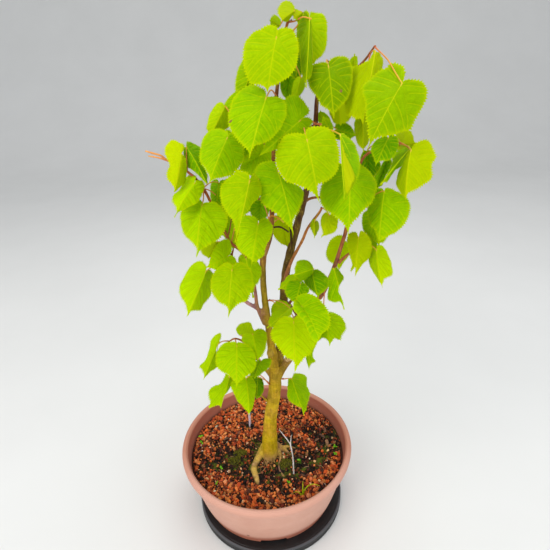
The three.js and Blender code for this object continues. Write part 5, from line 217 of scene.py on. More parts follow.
        ("f3", [[137.5,-42,476.1],[141.6,-50,474.9]], [140.5,-63.1,473.7], [132.2,-88.2,436.1], [135.5,-46.6,452.6], [162.2,-63.7,461.8], [-0.556,-0.62,0.554], 0.95, 0, [(0, 0), (0.095, -0.081), (0.188, -0.14), (0.298, -0.201), (0.449, -0.232), (0.615, -0.207), (0.757, -0.125), (0.884, -0.021), (1, 0.111), (0.933, 0.207), (0.884, 0.319), (0.922, 0.401), (0.972, 0.501), (0.9, 0.605), (0.755, 0.664), (0.571, 0.734), (0.347, 0.806), (0.157, 0.855), (0.063, 0.91), (0, 1), (-0.24, 0.897), (-0.529, 0.779), (-0.765, 0.641), (-0.995, 0.483), (-0.957, 0.371), (-0.762, 0.281), (-0.445, 0.196), (-0.271, 0.076), (-0.224, -0.029)], (0, 0.3)),
    ]),
    ("leaf_right_olive", [120.9,-31.7,472.7], [121.3,-29,472.8], [
        ("f5", [], [140.9,11.6,453.4], [133.2,23.4,420.1], [129.1,7.3,443], [141.9,2.9,445.2], [-0.287,-0.904,-0.316], 0.4, 0, [(0, 0), (-0.541, -0.02), (-0.675, 0.129), (-0.775, 0.303), (-1, 0.449), (-0.682, 0.685), (0, 1), (0.577, 0.907), (0.754, 0.686), (0.675, 0.445), (0.999, 0.281), (0.934, 0.104), (0.517, -0.004)], (0, 0.3)),
        ("f6", [], [117.1,6.1,463.6], [124.3,20.6,430.6], [110.1,4.2,453.8], [130.4,-1.4,452.6], [-0.099,-0.895,-0.434], 0.35, 0, [(0, 0), (-0.38, -0.039), (-0.808, 0.07), (-1, 0.24), (-0.947, 0.465), (-0.485, 0.701), (0, 1), (0.417, 0.758), (0.829, 0.493), (1, 0.317), (0.726, 0.128), (0.486, 0.008), (0.233, -0.046)], (0, 0.3)),
    ]),
    ("leaf_right_large", [100.1,-30,443.9], [98.9,-32.5,445.8], [
        ("f8", [[94.6,-42,454]], [90.4,-50.2,453.4], [82.9,-97.2,407.5], [62.2,-55.6,429.8], [113.2,-55.3,435.1], [-0.063,-0.689,0.722], 1.0, 0, [(0, 0), (-0.118, -0.124), (-0.29, -0.228), (-0.462, -0.27), (-0.616, -0.252), (-0.784, -0.186), (-0.915, -0.09), (-0.989, 0.043), (-1, 0.174), (-0.945, 0.314), (-0.816, 0.431), (-0.659, 0.531), (-0.489, 0.62), (-0.322, 0.711), (-0.18, 0.786), (-0.113, 0.865), (-0.072, 0.937), (0, 1), (0.042, 0.92), (0.07, 0.839), (0.166, 0.779), (0.311, 0.705), (0.518, 0.6), (0.673, 0.523), (0.834, 0.449), (0.919, 0.338), (0.988, 0.204), (1, 0.068), (0.946, -0.051), (0.823, -0.146), (0.654, -0.188), (0.445, -0.196), (0.239, -0.14), (0.09, -0.07)], (0, 0.3)),
    ]),
    ("leaf_right_lower", [97.1,-29.2,423.1], [100.2,-29,422.7], [
        ("f9", [[111.6,-36,424.4],[121.4,-42,432.4]], [125,-43.6,433.6], [114.4,-79.8,392.4], [109.7,-42.3,417.3], [147.5,-52.3,423.5], [-0.315,-0.653,0.689], 0.95, 0, [(0, 0), (-0.232, -0.074), (-0.495, -0.095), (-0.707, -0.057), (-0.829, 0.038), (-0.939, 0.156), (-0.998, 0.275), (-0.929, 0.404), (-0.784, 0.525), (-0.551, 0.642), (-0.278, 0.727), (-0.135, 0.827), (0, 1), (0.063, 0.93), (0.17, 0.915), (0.259, 0.897), (0.38, 0.855), (0.553, 0.798), (0.725, 0.737), (0.874, 0.64), (0.966, 0.522), (1, 0.39), (0.962, 0.273), (0.851, 0.173), (0.686, 0.091), (0.483, 0.016), (0.262, -0.049), (0.09, -0.056)], (0, 0.3)),
        ("f10", [], [122,-13,402.2], [126.1,-37,375.4], [113.9,-10.2,388.5], [135.7,-21.7,387.1], [-0.345,-0.725,0.596], 0.6, 0, None, (0, 0.3)),
    ]),
    ("leaf_mid_small", [67.4,-27,414.3], [67.1,-29.6,414.7], [
        ("i1", [], [59,-45,406.1], [56.9,-62.9,395], [54.8,-43.1,395.9], [63.4,-42.5,394.3], [-0.028,-0.651,0.758], 1.0, 0, [(0, 0), (-0.081, -0.169), (-0.662, -0.269), (-1, -0.173), (-0.725, 0.264), (-0.229, 0.651), (0, 1), (0.3, 0.721), (0.505, 0.472), (0.89, 0.024), (1, -0.315), (0.624, -0.333)], (0, 0.3)),
        ("i2", [], [72.2,-52.1,413.8], [61.6,-75.4,399.4], [63.3,-46.2,404.4], [79.2,-55.8,404.6], [-0.169,-0.476,0.863], 0.95, 0, [(0, 0), (-0.588, -0.254), (-1.022, -0.232), (-1.008, 0.029), (-0.578, 0.392), (-0.13, 0.667), (0.082, 0.798), (0, 1), (0.31, 0.873), (0.548, 0.742), (0.818, 0.649), (0.997, 0.503), (1, 0.267), (0.857, 0.043), (0.577, -0.103), (0.161, -0.164)], (0.35, 0.35)),
    ]),
    ("leaf_right_bent", [105.3,-25.4,373], [108,-27.1,374.2], [
        ("i3", [], [103.3,-41.2,387.3], [96.7,-66.4,355.3], [93.2,-36.7,373.1], [117.5,-37.6,376.7], [-0.226,-0.739,0.635], 0.85, 0, [(0, 0), (-0.288, -0.147), (-0.69, -0.182), (-0.916, -0.124), (-1, -0.005), (-0.858, 0.209), (-0.682, 0.411), (-0.479, 0.578), (-0.323, 0.71), (-0.433, 0.783), (-0.505, 0.863), (-0.207, 0.818), (0.021, 0.767), (0.017, 0.879), (0, 1), (0.146, 0.927), (0.266, 0.827), (0.437, 0.731), (0.707, 0.653), (0.925, 0.558), (1, 0.404), (0.918, 0.215), (0.761, 0.03), (0.485, -0.094), (0.16, -0.161)], (0.15, 0.5)),
        ("i4", [], [119.1,-13.5,370.3], [125,-36.3,371.6], [125.7,-15.2,377.4], [119.7,-17.4,361.4], [-0.872,-0.307,0.381], 0.6, 0, [(0, 0), (-0.375, -0.462), (-0.799, -0.565), (-1, -0.233), (-0.92, 0.322), (-0.563, 0.723), (0, 1), (0.563, 0.723), (0.92, 0.322), (1, -0.233), (0.799, -0.565), (0.375, -0.462)], (0, 0.3)),
        ("i5", [[111.3,-32,375.3],[117.4,-37,376.1]], [120.9,-45.6,374.7], [120.2,-81.7,349.8], [116.9,-43.8,358.3], [134.5,-59.4,361.1], [-0.551,-0.481,0.682], 1.0, 0, [(0, 0), (-0.471, -0.099), (-0.96, -0.127), (-0.99, 0.057), (-0.966, 0.249), (-0.829, 0.446), (-0.518, 0.642), (-0.182, 0.798), (-0.042, 0.919), (0, 1), (0.159, 0.858), (0.233, 0.748), (0.521, 0.642), (0.83, 0.516), (1, 0.397), (0.985, 0.249), (0.884, 0.086), (0.73, -0.053), (0.561, -0.173), (0.372, -0.229), (0.17, -0.151)], (0, 0.3)),
    ]),
    ("leaf_mid_olive", [88.9,-25.3,372.2], [89.7,-21.8,372.7], [
        ("i6", [], [97.4,12.8,364.5], [92,4.9,328.6], [77.6,6.6,353.3], [103.9,5.6,355], [-0.184,-0.96,0.211], 0.45, 0, [(0, 0), (-0.162, -0.154), (-0.43, -0.197), (-0.701, -0.149), (-0.892, -0.048), (-0.974, 0.094), (-1, 0.258), (-0.902, 0.436), (-0.672, 0.57), (-0.352, 0.684), (-0.125, 0.808), (0, 1), (0.154, 0.83), (0.495, 0.632), (0.852, 0.473), (1, 0.298), (0.833, 0.139), (0.424, 0.008)], (0, 0.3)),
    ]),
    ("leaf_low_right_top", [58.3,-15.5,334.7], [57.4,-18.2,336.9], [
        ("j1", [], [59.3,-35.7,351.9], [36.6,-59.7,356.1], [47,-24.5,357.7], [49.4,-37.6,340.9], [0.701,-0.624,0.345], 0.85, 0, [(0, 0), (-0.29, -0.036), (-0.638, -0.038), (-0.884, 0.085), (-1, 0.271), (-0.924, 0.499), (-0.616, 0.718), (-0.264, 0.896), (0, 1), (0.264, 0.896), (0.616, 0.718), (0.924, 0.499), (1, 0.271), (0.884, 0.085), (0.638, -0.038), (0.29, -0.036)], (0, 0.3)),
        ("j2", [], [60.5,-25.7,347.2], [21,-48.6,335.1], [35.9,-17.3,337.2], [48.1,-28.5,337.6], [0.331,-0.742,0.583], 0.9, 0, [(0, 0), (-0.329, 0.033), (-0.381, 0.199), (-0.575, 0.291), (-1, 0.305), (-0.963, 0.439), (-0.505, 0.69), (-0.223, 0.88), (0, 1), (0.843, 0.809), (0.845, 0.706), (0.2, 0.577), (1, 0.329), (0.694, 0.23), (0.319, 0.132)], (-0.25, 0.5)),
        ("j4", [], [59.4,-21.4,342.4], [62.4,-56.5,327.2], [50.2,-18.6,323.3], [74.8,-27.1,339.6], [-0.452,-0.314,0.835], 0.4, 0, [(0, 0), (-0.411, -0.173), (-0.741, -0.206), (-1.01, -0.123), (-0.892, 0.147), (-0.571, 0.465), (-0.256, 0.692), (-0.055, 0.859), (0, 1), (0.211, 0.904), (0.522, 0.8), (0.871, 0.666), (0.999, 0.472), (0.845, 0.248), (0.546, 0.026), (0.279, -0.073)], (0, 0.3)),
    ]),
    ("leaf_low_right_a", [47.8,-6,311.5], [46.7,-8.9,313.7], [
        ("j3", [], [44.3,-51.7,342], [37,-80.2,333.6], [29,-55.2,339.1], [52.1,-53.9,335.4], [0.165,-0.24,0.957], 0.95, 0, [(0, 0), (-0.174, -0.19), (-0.565, -0.234), (-0.87, -0.148), (-1, 0.106), (-0.982, 0.378), (-0.747, 0.638), (-0.367, 0.836), (0, 1), (0.223, 0.876), (0.539, 0.707), (0.956, 0.461), (1, 0.202), (0.627, 0.017), (0.184, -0.202)], (0, 0.3)),
    ]),
    ("leaf_low_right_b", [73,-14.7,316.7], [73.3,-18.9,316.9], [
        ("j6", [], [79.3,-41.9,354.3], [85.4,-77.5,325.1], [71.8,-35.7,337.2], [90.8,-43.5,341.2], [-0.146,-0.568,0.81], 0.8, 0, [(0, 0), (-0.199, -0.014), (-0.475, 0.146), (-0.779, 0.331), (-0.944, 0.493), (-1, 0.657), (-0.843, 0.759), (-0.531, 0.814), (-0.182, 0.814), (0, 1), (0.109, 0.898), (0.006, 0.751), (-0.101, 0.634), (-0.033, 0.521), (0.319, 0.384), (0.814, 0.239), (0.999, 0.106), (0.853, 0.004), (0.498, -0.051)], (-0.35, 0.45)),
        ("j10", [[72.2,-24,302.1]], [73.4,-44.9,298.3], [71.5,-80.5,285], [61.8,-52.6,283.7], [91.6,-53.4,290.3], [-0.198,-0.28,0.939], 0.9, 0, [(0, 0), (-0.353, -0.067), (-0.747, -0.021), (-1, 0.127), (-0.959, 0.384), (-0.914, 0.548), (-0.523, 0.594), (-0.228, 0.714), (-0.047, 0.841), (0, 1), (0.142, 0.925), (0.267, 0.762), (0.44, 0.727), (0.603, 0.766), (0.706, 0.633), (0.813, 0.5), (0.961, 0.384), (1, 0.2), (0.937, 0.015), (0.753, -0.141), (0.531, -0.246), (0.297, -0.267), (0.112, -0.167)], (0, 0.3)),
    ]),
    ("leaf_low_right_large", [51.3,-4,284.1], [50.3,-8.4,287.2], [
        ("j8", [[48,-34,308.4]], [42.9,-86.4,335.1], [56.5,-117.7,317.7], [25.7,-76.5,347.5], [66.3,-89.7,333.1], [0.164,-0.28,0.946], 1.0, 0, [(0, 0), (-0.114, -0.178), (-0.661, 0.432), (-0.864, 0.69), (-0.966, 0.886), (-1.008, 1.034), (-0.99, 1.143), (-0.909, 1.216), (-0.768, 1.255), (-0.55, 1.23), (-0.288, 1.133), (0, 1), (0.228, 0.945), (0.492, 0.851), (0.725, 0.716), (0.888, 0.56), (0.957, 0.377), (0.997, 0.205), (0.997, 0.025), (0.948, -0.137), (0.83, -0.285), (0.709, -0.378), (0.508, -0.41), (0.286, -0.387), (0.037, -0.312)], (0, 0.3)),
    ]),
    ("leaf_low_centre_large", [25.7,12.1,259.2], [29.6,6.5,263.9], [
        ("j9", [[31.6,-10,288.4],[36.2,-40,299.7]], [35.9,-72.3,310], [34,-120.9,284.9], [12.9,-79.9,298.7], [59.1,-80.1,299.4], [-0.021,-0.461,0.887], 1.0, 0, [(0, 0), (-0.051, -0.064), (-0.184, -0.128), (-0.343, -0.155), (-0.572, -0.14), (-0.756, -0.094), (-0.892, -0.013), (-0.978, 0.103), (-1, 0.197), (-0.954, 0.305), (-0.852, 0.398), (-0.696, 0.499), (-0.545, 0.6), (-0.439, 0.682), (-0.313, 0.735), (-0.147, 0.776), (-0.024, 0.825), (0.034, 0.881), (0, 1), (0.129, 0.96), (0.205, 0.904), (0.257, 0.836), (0.314, 0.773), (0.427, 0.735), (0.594, 0.702), (0.696, 0.633), (0.787, 0.562), (0.903, 0.475), (0.97, 0.355), (1, 0.23), (0.957, 0.126), (0.835, 0.048), (0.669, -0.036), (0.499, -0.112), (0.326, -0.153), (0.194, -0.147), (0.073, -0.08)], (0.2, 0.5)),
        ("l2", [], [57.3,-17.7,256.6], [53.1,-54.2,236.4], [48,-22.2,245.6], [64.4,-26.6,248.9], [-0.193,-0.416,0.889], 0.7, 0, [(0, 0), (-0.757, -0.19), (-0.996, -0.009), (-0.812, 0.299), (-0.475, 0.568), (-0.189, 0.8), (0, 1), (0.212, 0.88), (0.35, 0.801), (0.884, 0.713), (0.549, 0.642), (0.445, 0.534), (0.689, 0.329), (0.998, 0.054), (0.681, -0.125)], (-0.35, 0.5)),
    ]),
    ("leaf_low_centre_upper", [6.1,-4,299.2], [10.8,-5.7,300.5], [
        ("l3", [], [33.6,-39.6,308.2], [8.7,-69.9,302.5], [18.4,-34.8,302.4], [26.7,-41.3,292.1], [0.474,-0.524,0.708], 0.95, 0, None, (0, 0.3)),
        ("l5", [], [18.4,-2.1,294.3], [32.6,-32,291.5], [31.6,-0.5,293.6], [15.8,-11.9,281.8], [-0.432,-0.285,0.856], 0.7, 0, None, (0, 0.3)),
    ]),
    ("leaf_lowest_right", [17.8,-6.7,189.6], [24.2,-9.4,190.7], [
        ("l4", [[30.6,-12,193.2]], [34.4,-28.1,205.8], [46.3,-73.7,188.7], [29.3,-35,190.9], [60.4,-37.1,179.8], [-0.128,-0.424,0.896], 0.85, 0, [(0, 0), (-0.439, -0.037), (-0.649, 0.1), (-0.826, 0.25), (-1, 0.391), (-0.953, 0.508), (-0.621, 0.652), (-0.196, 0.766), (0.043, 0.824), (0.01, 0.919), (0, 1), (0.159, 0.863), (0.299, 0.7), (0.493, 0.507), (0.756, 0.268), (0.872, 0.114), (0.86, -0.009), (0.815, -0.146), (1.001, -0.441), (0.864, -0.468), (0.609, -0.406), (0.312, -0.266)], (0.3, 0.3)),
    ]),
    ("leaf_lower_left_narrow", [-37.8,-20,255.5], [-38.6,-21.6,256.9], [
        ("k1", [], [-47.7,-38.7,264.7], [-60.8,-78.7,246.3], [-64.3,-40.4,251.5], [-48.3,-42.9,246.2], [0.329,-0.499,0.802], 0.95, 0, [(0, 0), (0.041, -0.107), (-0.036, -0.231), (-0.265, -0.368), (-0.535, -0.394), (-0.721, -0.31), (-0.766, -0.148), (-0.621, 0.084), (-0.6, 0.261), (-0.612, 0.394), (-0.782, 0.505), (-1, 0.571), (-0.468, 0.72), (-0.149, 0.841), (0, 1), (0.267, 0.85), (0.463, 0.686), (0.894, 0.526), (1, 0.373), (0.685, 0.274), (0.144, 0.223), (-0.051, 0.105)], (-0.25, 0.4)),
    ]),
    ("leaf_lower_left_large", [-30.6,-19,258.7], [-30.3,-21.3,259.6], [
        ("k2", [[-27.6,-38,266.2]], [-24.9,-57.2,274.2], [-24.1,-97.9,249], [-46.1,-66,265.3], [-4.1,-65.2,261.7], [0.079,-0.507,0.858], 1.0, 0, [(0, 0), (-0.093, -0.077), (-0.3, -0.117), (-0.507, -0.119), (-0.736, -0.066), (-0.884, 0.029), (-0.977, 0.142), (-1, 0.281), (-0.977, 0.441), (-0.844, 0.544), (-0.641, 0.621), (-0.417, 0.683), (-0.22, 0.768), (-0.073, 0.877), (0, 1), (0.119, 0.873), (0.313, 0.767), (0.533, 0.685), (0.758, 0.588), (0.937, 0.467), (1, 0.315), (0.951, 0.168), (0.802, 0.053), (0.573, -0.043), (0.316, -0.088), (0.111, -0.082)], (0, 0.3)),
    ]),
    ("leaf_lower_left_group", [-14.8,-16.3,242.1], [-14.9,-19.1,244.1], [
        ("k3", [], [-24.9,-2.9,253.6], [-5.2,-21.2,268.4], [-23.2,1.8,266.7], [-10.8,-4.4,249.7], [-0.541,-0.831,-0.133], 0.5, 0, [(0, 0), (-0.12, -0.198), (-0.489, -0.256), (-0.785, -0.069), (-0.976, 0.256), (-1.001, 0.606), (-0.825, 0.824), (-0.462, 0.919), (0, 1), (0.462, 0.919), (0.825, 0.824), (1.001, 0.606), (0.976, 0.256), (0.785, -0.069), (0.489, -0.256), (0.12, -0.198)], (0, 0.3)),
        ("k5", [], [-9.1,-31,271.6], [-2.9,-64.6,257.3], [-20,-39.1,263.3], [9.3,-35.7,258.7], [0.075,-0.362,0.929], 0.8, 0, [(0, 0), (-0.377, -0.088), (-0.797, -0.09), (-1, 0.06), (-0.737, 0.31), (-0.464, 0.509), (-0.237, 0.697), (-0.098, 0.871), (0, 1), (0.27, 0.796), (0.537, 0.585), (0.763, 0.295), (0.943, -0.057), (1.001, -0.361), (0.693, -0.364), (0.302, -0.211)], (0, 0.3)),
        ("k6", [], [-1,-31.5,234.8], [-8.2,-64,234.4], [-10.1,-38,232], [7.5,-36.1,227.2], [0.135,-0.093,0.986], 0.6, 0, [(0, 0), (-0.718, -0.152), (-0.767, 0.192), (-0.845, 0.55), (-0.996, 0.749), (0, 1), (0.311, 0.874), (0.541, 0.622), (0.828, 0.411), (1, 0.068), (0.829, -0.294), (0.284, -0.244)], (0, 0.3)),
        ("k7", [[-28.3,-28,231.9],[-35.5,-33,224.4]], [-38.9,-34.4,215.8], [-47.6,-65.7,196.3], [-62.8,-45.2,202.4], [-38.1,-44.2,204.6], [0.168,-0.591,0.789], 0.85, 0, [(0, 0), (-0.272, -0.175), (-0.308, -0.045), (-0.349, 0.083), (-0.515, 0.138), (-0.777, 0.106), (-0.963, 0.118), (-1, 0.233), (-0.867, 0.465), (-0.701, 0.665), (-0.771, 0.791), (-0.478, 0.822), (-0.243, 0.866), (0, 1), (-0.016, 0.839), (-0.035, 0.67), (0.23, 0.501), (0.714, 0.265), (1, 0.016), (0.866, -0.13)], (-0.2, 0.3)),
    ]),
    ("leaf_lowest_centre", [13.6,-6.3,177.2], [6.6,-10.7,184.6], [
        ("k8", [[-2.5,-24,208],[-12,-38,220.1]], [-18.8,-43.7,220], [-14.7,-83.5,200.2], [-35.3,-54,211.1], [-8.2,-45.5,204.4], [0.326,-0.367,0.871], 0.95, 0, [(0, 0), (-0.237, -0.099), (-0.565, -0.095), (-0.838, -0.027), (-1, 0.105), (-0.915, 0.284), (-0.773, 0.457), (-0.626, 0.606), (-0.42, 0.704), (-0.213, 0.845), (0, 1), (0.276, 0.86), (0.534, 0.684), (0.731, 0.484), (0.861, 0.272), (0.996, 0.069), (0.805, -0.082), (0.397, -0.111)], (0, 0.3)),
        ("k9", [[4.2,-9,188]], [-6.5,-14,198.5], [-8.1,-43.6,188.2], [-15.4,-17.4,185.8], [-0.5,-17.2,185.5], [0.073,-0.545,0.835], 0.35, 0, [(0, 0), (-0.53, -0.259), (-1, -0.211), (-0.805, 0.239), (-0.542, 0.659), (0, 1), (0.618, 0.734), (1, 0.458), (0.993, 0.156), (0.616, -0.073)], (0, 0.3)),
    ]),
    ("leaf_back_top", [16.4,42,551.7], [17.5,43.3,553.4], [
        ("ra", [], [19.2,58,562.8], [12.5,79.3,535.4], [3.4,57.8,558.7], [31.9,58.1,553.4], [-0.103,-0.797,-0.596], 0.8, 0, None, (0, 0.3)),
        ("ra2", [], [31.7,50,559.1], [42.2,69.2,533.9], [21,50.8,549.1], [46.9,49.3,556.6], [0.119,-0.813,-0.57], 0.8, 0, None, (0, 0.3)),
    ]),
    ("leaf_back_left", [5.6,48,495.9], [6.5,51,498], [
        ("rb1", [], [-2.7,84,510.3], [-18.3,102.1,476.3], [-21.8,82.2,508.4], [9.6,84.5,496.4], [-0.1,-0.897,-0.432], 0.8, 0, None, (0, 0.3)),
        ("rb2", [], [7,71,497.6], [11.4,87.8,463.5], [-7.4,70.5,487.7], [23.7,71.6,491.8], [0.088,-0.897,-0.433], 0.8, 0, None, (0, 0.3)),
        ("rb3", [], [-25,66,473.1], [-45.2,77.8,443.8], [-42.2,64.7,474.3], [-16.8,65.7,458.6], [-0.14,-0.948,-0.286], 0.8, 0, None, (0, 0.3)),
    ]),
    ("leaf_back_centre", [58.7,60,452.1], [59.7,61.5,453.9], [
        ("rc", [], [61.9,80,457.3], [59.5,95.5,414.3], [42.3,81.3,449.6], [79.2,75.3,446.2], [-0.181,-0.929,-0.324], 0.8, 0, None, (0, 0.3)),
        ("rc2", [], [67.5,63.5,459.6], [86.2,74.4,428.2], [58,61.3,445.6], [84.8,60.7,460], [0.118,-0.958,-0.262], 0.8, 0, None, (0, 0.3)),
    ]),
    ("leaf_back_right", [87.8,62,403.9], [90.6,62.1,406.5], [
        ("rd1", [], [112.3,92,407.6], [125.5,100,366.7], [97.7,90,394.6], [131.2,86.7,403.6], [-0.041,-0.978,-0.204], 0.8, 0, None, (0, 0.3)),
        ("rd2", [], [108,64,402.2], [125,69,374], [99.9,61.5,389.7], [122.7,60.3,403.1], [0.038,-0.988,-0.151], 0.8, 0, None, (0, 0.3)),
    ]),
    ("leaf_back_centre_left", [-7.3,42,411.9], [-6.5,44.1,413.1], [
        ("re", [], [-12,60,414.2], [-26.8,68.5,378.6], [-30.1,57.7,412.7], [-0.4,57.1,400.7], [-0.098,-0.977,-0.191], 0.8, 0, None, (0, 0.3)),
        ("re2", [], [30,66,415.7], [35.7,75.2,377.6], [15.3,62.9,405.4], [47.2,62.6,410.2], [0.025,-0.973,-0.231], 0.8, 0, None, (0, 0.3)),
    ]),
    ("leaf_back_low_centre", [47.8,58,238.9], [47.5,58.3,236.1], [
        ("rf", [], [44.3,72,221], [47,69.4,179.6], [27.8,67.5,212.2], [61.5,66.2,215.1], [-0.044,-0.997,0.06], 0.8, 0, None, (0, 0.3)),
        ("rf2", [], [49.1,46,215.2], [58.9,43.8,183.5], [38.3,40,205.9], [64.2,43.7,213.5], [0.111,-0.988,0.104], 0.8, 0, None, (0, 0.3)),
    ]),
    ("leaf_back_low_left", [-28.2,40,301.2], [-29.1,42.4,301.8], [
        ("rg", [], [-34.4,56,299.5], [-43.2,56.5,261], [-51.7,52.3,295.6], [-20.4,51.7,288.6], [-0.02,-1,-0.007], 0.8, 0, None, (0, 0.3)),
    ]),
    ("leaf_back_lower_left", [-21.4,44,199.5], [-23.1,46.1,198.9], [
        ("rh", [], [-30.7,56,190.4], [-45.6,52.6,151.7], [-49.7,54,189.2], [-18.2,47.8,178.4], [-0.143,-0.98,0.141], 0.8, 0, None, (0, 0.3)),
    ]),
    ("leaf_back_upper_right", [140,64,521.5], [139.5,64.8,523.7], [
        ("ri", [], [150.4,78,524.4], [171.7,93.9,487.2], [137.9,81.3,510.1], [169.9,71.9,521.2], [-0.108,-0.89,-0.443], 0.8, 0, None, (0, 0.3)),
        ("ri2", [], [134.5,50,519.1], [129.6,71.1,488.6], [118.3,54.4,517.2], [146.4,47.3,506.9], [-0.379,-0.789,-0.484], 0.8, 0, None, (0, 0.3)),
        ("ri3", [], [122.4,88,532.4], [122,107.8,503.1], [107.3,90.2,528.2], [135.4,85.6,522.8], [-0.238,-0.806,-0.542], 0.8, 0, None, (0, 0.3)),
    ]),
]


# ------------------------------------------------------------------ helpers
def rgb(r, g, b):
    """Display colour 0-255 to linear."""
    out = []
    for c in (r, g, b):
        c = c / 255
        out.append(c / 12.92 if c <= 0.04045 else ((c + 0.055) / 1.055) ** 2.4)
    return tuple(out)


def unit(v):
    v = np.asarray(v, float)
    n = np.linalg.norm(v, axis=-1, keepdims=True)
    return v / np.maximum(n, 1e-9)


def value_noise(p, seed=0):
    """Smooth noise in 0..1 at points p (n, 3), one cell per unit."""
    p = np.asarray(p, float)
    i = np.floor(p).astype(np.int64)
    f = p - i
    u = f * f * (3 - 2 * f)

    def h(dx, dy, dz):
        n = ((i[:, 0] + dx) * 374761393 + (i[:, 1] + dy) * 668265263 + (i[:, 2] + dz) * 1274126177 + seed * 144269504) & 0xFFFFFFFF
        n = ((n ^ (n >> 13)) * 1274126177) & 0xFFFFFFFF
        return ((n ^ (n >> 16)) & 0xFFFFFF) / float(0xFFFFFF)

    def mix(a, b, t):
        return a + (b - a) * t

    x00 = mix(h(0, 0, 0), h(1, 0, 0), u[:, 0])
    x10 = mix(h(0, 1, 0), h(1, 1, 0), u[:, 0])
    x01 = mix(h(0, 0, 1), h(1, 0, 1), u[:, 0])
    x11 = mix(h(0, 1, 1), h(1, 1, 1), u[:, 0])
    return mix(mix(x00, x10, u[:, 1]), mix(x01, x11, u[:, 1]), u[:, 2])


def catmull(points, per=6):
    """Centripetal-like smooth resampling of rows of any width; returns rows."""
    p = np.asarray(points, float)
    q = np.vstack([2 * p[0] - p[1], p, 2 * p[-1] - p[-2]])
    out = []
    for i in range(1, len(q) - 2):
        p0, p1, p2, p3 = q[i - 1], q[i], q[i + 1], q[i + 2]
        for t in np.linspace(0, 1, per + 1)[:-1]:
            out.append(0.5 * (2 * p1 + (p2 - p0) * t + (2 * p0 - 5 * p1 + 4 * p2 - p3) * t * t + (3 * p1 - p0 - 3 * p2 + p3) * t ** 3))
    out.append(p[-1])
    return np.array(out)


def resample(rows, step):
    """Even spacing along a polyline whose first three columns are the point."""
    rows = np.asarray(rows, float)
    d = np.linalg.norm(np.diff(rows[:, :3], axis=0), axis=1)
    s = np.concatenate([[0], np.cumsum(d)])
    n = max(2, int(round(s[-1] / step)) + 1)
    t = np.linspace(0, s[-1], n)
    return np.stack([np.interp(t, s, rows[:, k]) for k in range(rows.shape[1])], 1)


class Shell:
    """Points, faces, material numbers and point values of one piece."""

    def __init__(self, layers=()):
        self.v, self.f, self.n = [], [], 0
        self.layers = {name: [] for name in layers}

    def add(self, points, faces, mat=0, **values):
        points = np.asarray(points, float)
        k = len(points)
        self.v.append(points)
        for fa in faces:
            fa = np.asarray(fa, np.int64)
            if len(fa):
                m = np.broadcast_to(np.asarray(mat), (len(fa),)) if not isinstance(mat, int) else np.full(len(fa), mat)
                self.f.append((fa + self.n, m))
        for name, store in self.layers.items():
            val = np.asarray(values.get(name, (0, 0, 0)), float)
            store.append(np.broadcast_to(val, (k, 3)))
        self.n += k

    def mesh(self, name, materials, lift=0.0, smooth=True, sharp=None):
        co = (np.vstack(self.v) + OFFSET + [0, 0, lift]) * MM
        loops, starts, mats = [], [], []
        at = 0
        for fa, m in self.f:
            n, w = fa.shape
            loops.append(fa.ravel())
            starts.append(at + np.arange(n) * w)
            mats.append(m)
            at += n * w
        me = bpy.data.meshes.new(name)
        loops, starts, mats = np.concatenate(loops), np.concatenate(starts), np.concatenate(mats)
        me.vertices.add(len(co))
        me.vertices.foreach_set("co", co.astype(np.float32).ravel())
        me.loops.add(len(loops))
        me.loops.foreach_set("vertex_index", loops.astype(np.int32))
        me.polygons.add(len(starts))
        me.polygons.foreach_set("loop_start", starts.astype(np.int32))
        for m in materials:
            me.materials.append(m)
        me.update(calc_edges=True)
        me.polygons.foreach_set("material_index", mats.astype(np.int32))
        me.polygons.foreach_set("use_smooth", np.full(len(starts), smooth))
        for lname, store in self.layers.items():
            la = me.attributes.new(lname, "FLOAT_VECTOR", "POINT")
            la.data.foreach_set("vector", np.vstack(store).astype(np.float32).ravel())
        me.validate()
        if sharp is not None:
            me.set_sharp_from_angle(angle=math.radians(sharp))
        ob = bpy.data.objects.new(name, me)
        bpy.context.scene.collection.objects.link(ob)
        return ob


def grid_faces(rows, cols, wrap=True, base=0):
    """Quads of a grid of rows x cols points."""
    i = np.arange(rows - 1)[:, None]
    k = np.arange(cols if wrap else cols - 1)[None, :]
    a = i * cols + k
    b = i * cols + (k + 1) % cols
    return (np.stack([a, b, b + cols, a + cols], -1).reshape(-1, 4) + base)


def tube(rows, sides=8, squash=1.0, cap=True, wobble=None):
    """Closed tube along rows [x, y, z, radius]; returns points, faces, share along."""
    rows = np.asarray(rows, float)
    p, r = rows[:, :3], rows[:, 3]
    n = len(p)
    tan = unit(np.gradient(p, axis=0))
    x = np.cross([0.31, 0.9, 0.2], tan[0])
    x = x / np.linalg.norm(x)
    pts = []
    ang = 2 * np.pi * np.arange(sides) / sides
    for i in range(n):
        x = x - tan[i] * (x @ tan[i])
        x = x / np.linalg.norm(x)
        y = np.cross(tan[i], x)
        rr = r[i] * (1 if wobble is None else wobble(i, ang))
        pts.append(p[i] + np.outer(np.cos(ang) * rr, x) + np.outer(np.sin(ang) * rr * squash, y))
    pts = np.vstack(pts)
    quads = grid_faces(n, sides)
    along = np.repeat(np.linspace(0, 1, n), sides)
    faces = [quads]
    if cap:
        s = len(pts)
        a = p[0] - tan[0] * r[0] * 0.5
        b = p[-1] + tan[-1] * r[-1] * 0.6
        pts = np.vstack([pts, a, b])
        k = np.arange(sides)
        faces.append(np.stack([np.full(sides, s), (k + 1) % sides, k], 1))
        faces.append(np.stack([np.full(sides, s + 1), (n - 1) * sides + k, (n - 1) * sides + (k + 1) % sides], 1))
        along = np.concatenate([along, [0, 1]])
    return pts, faces, along


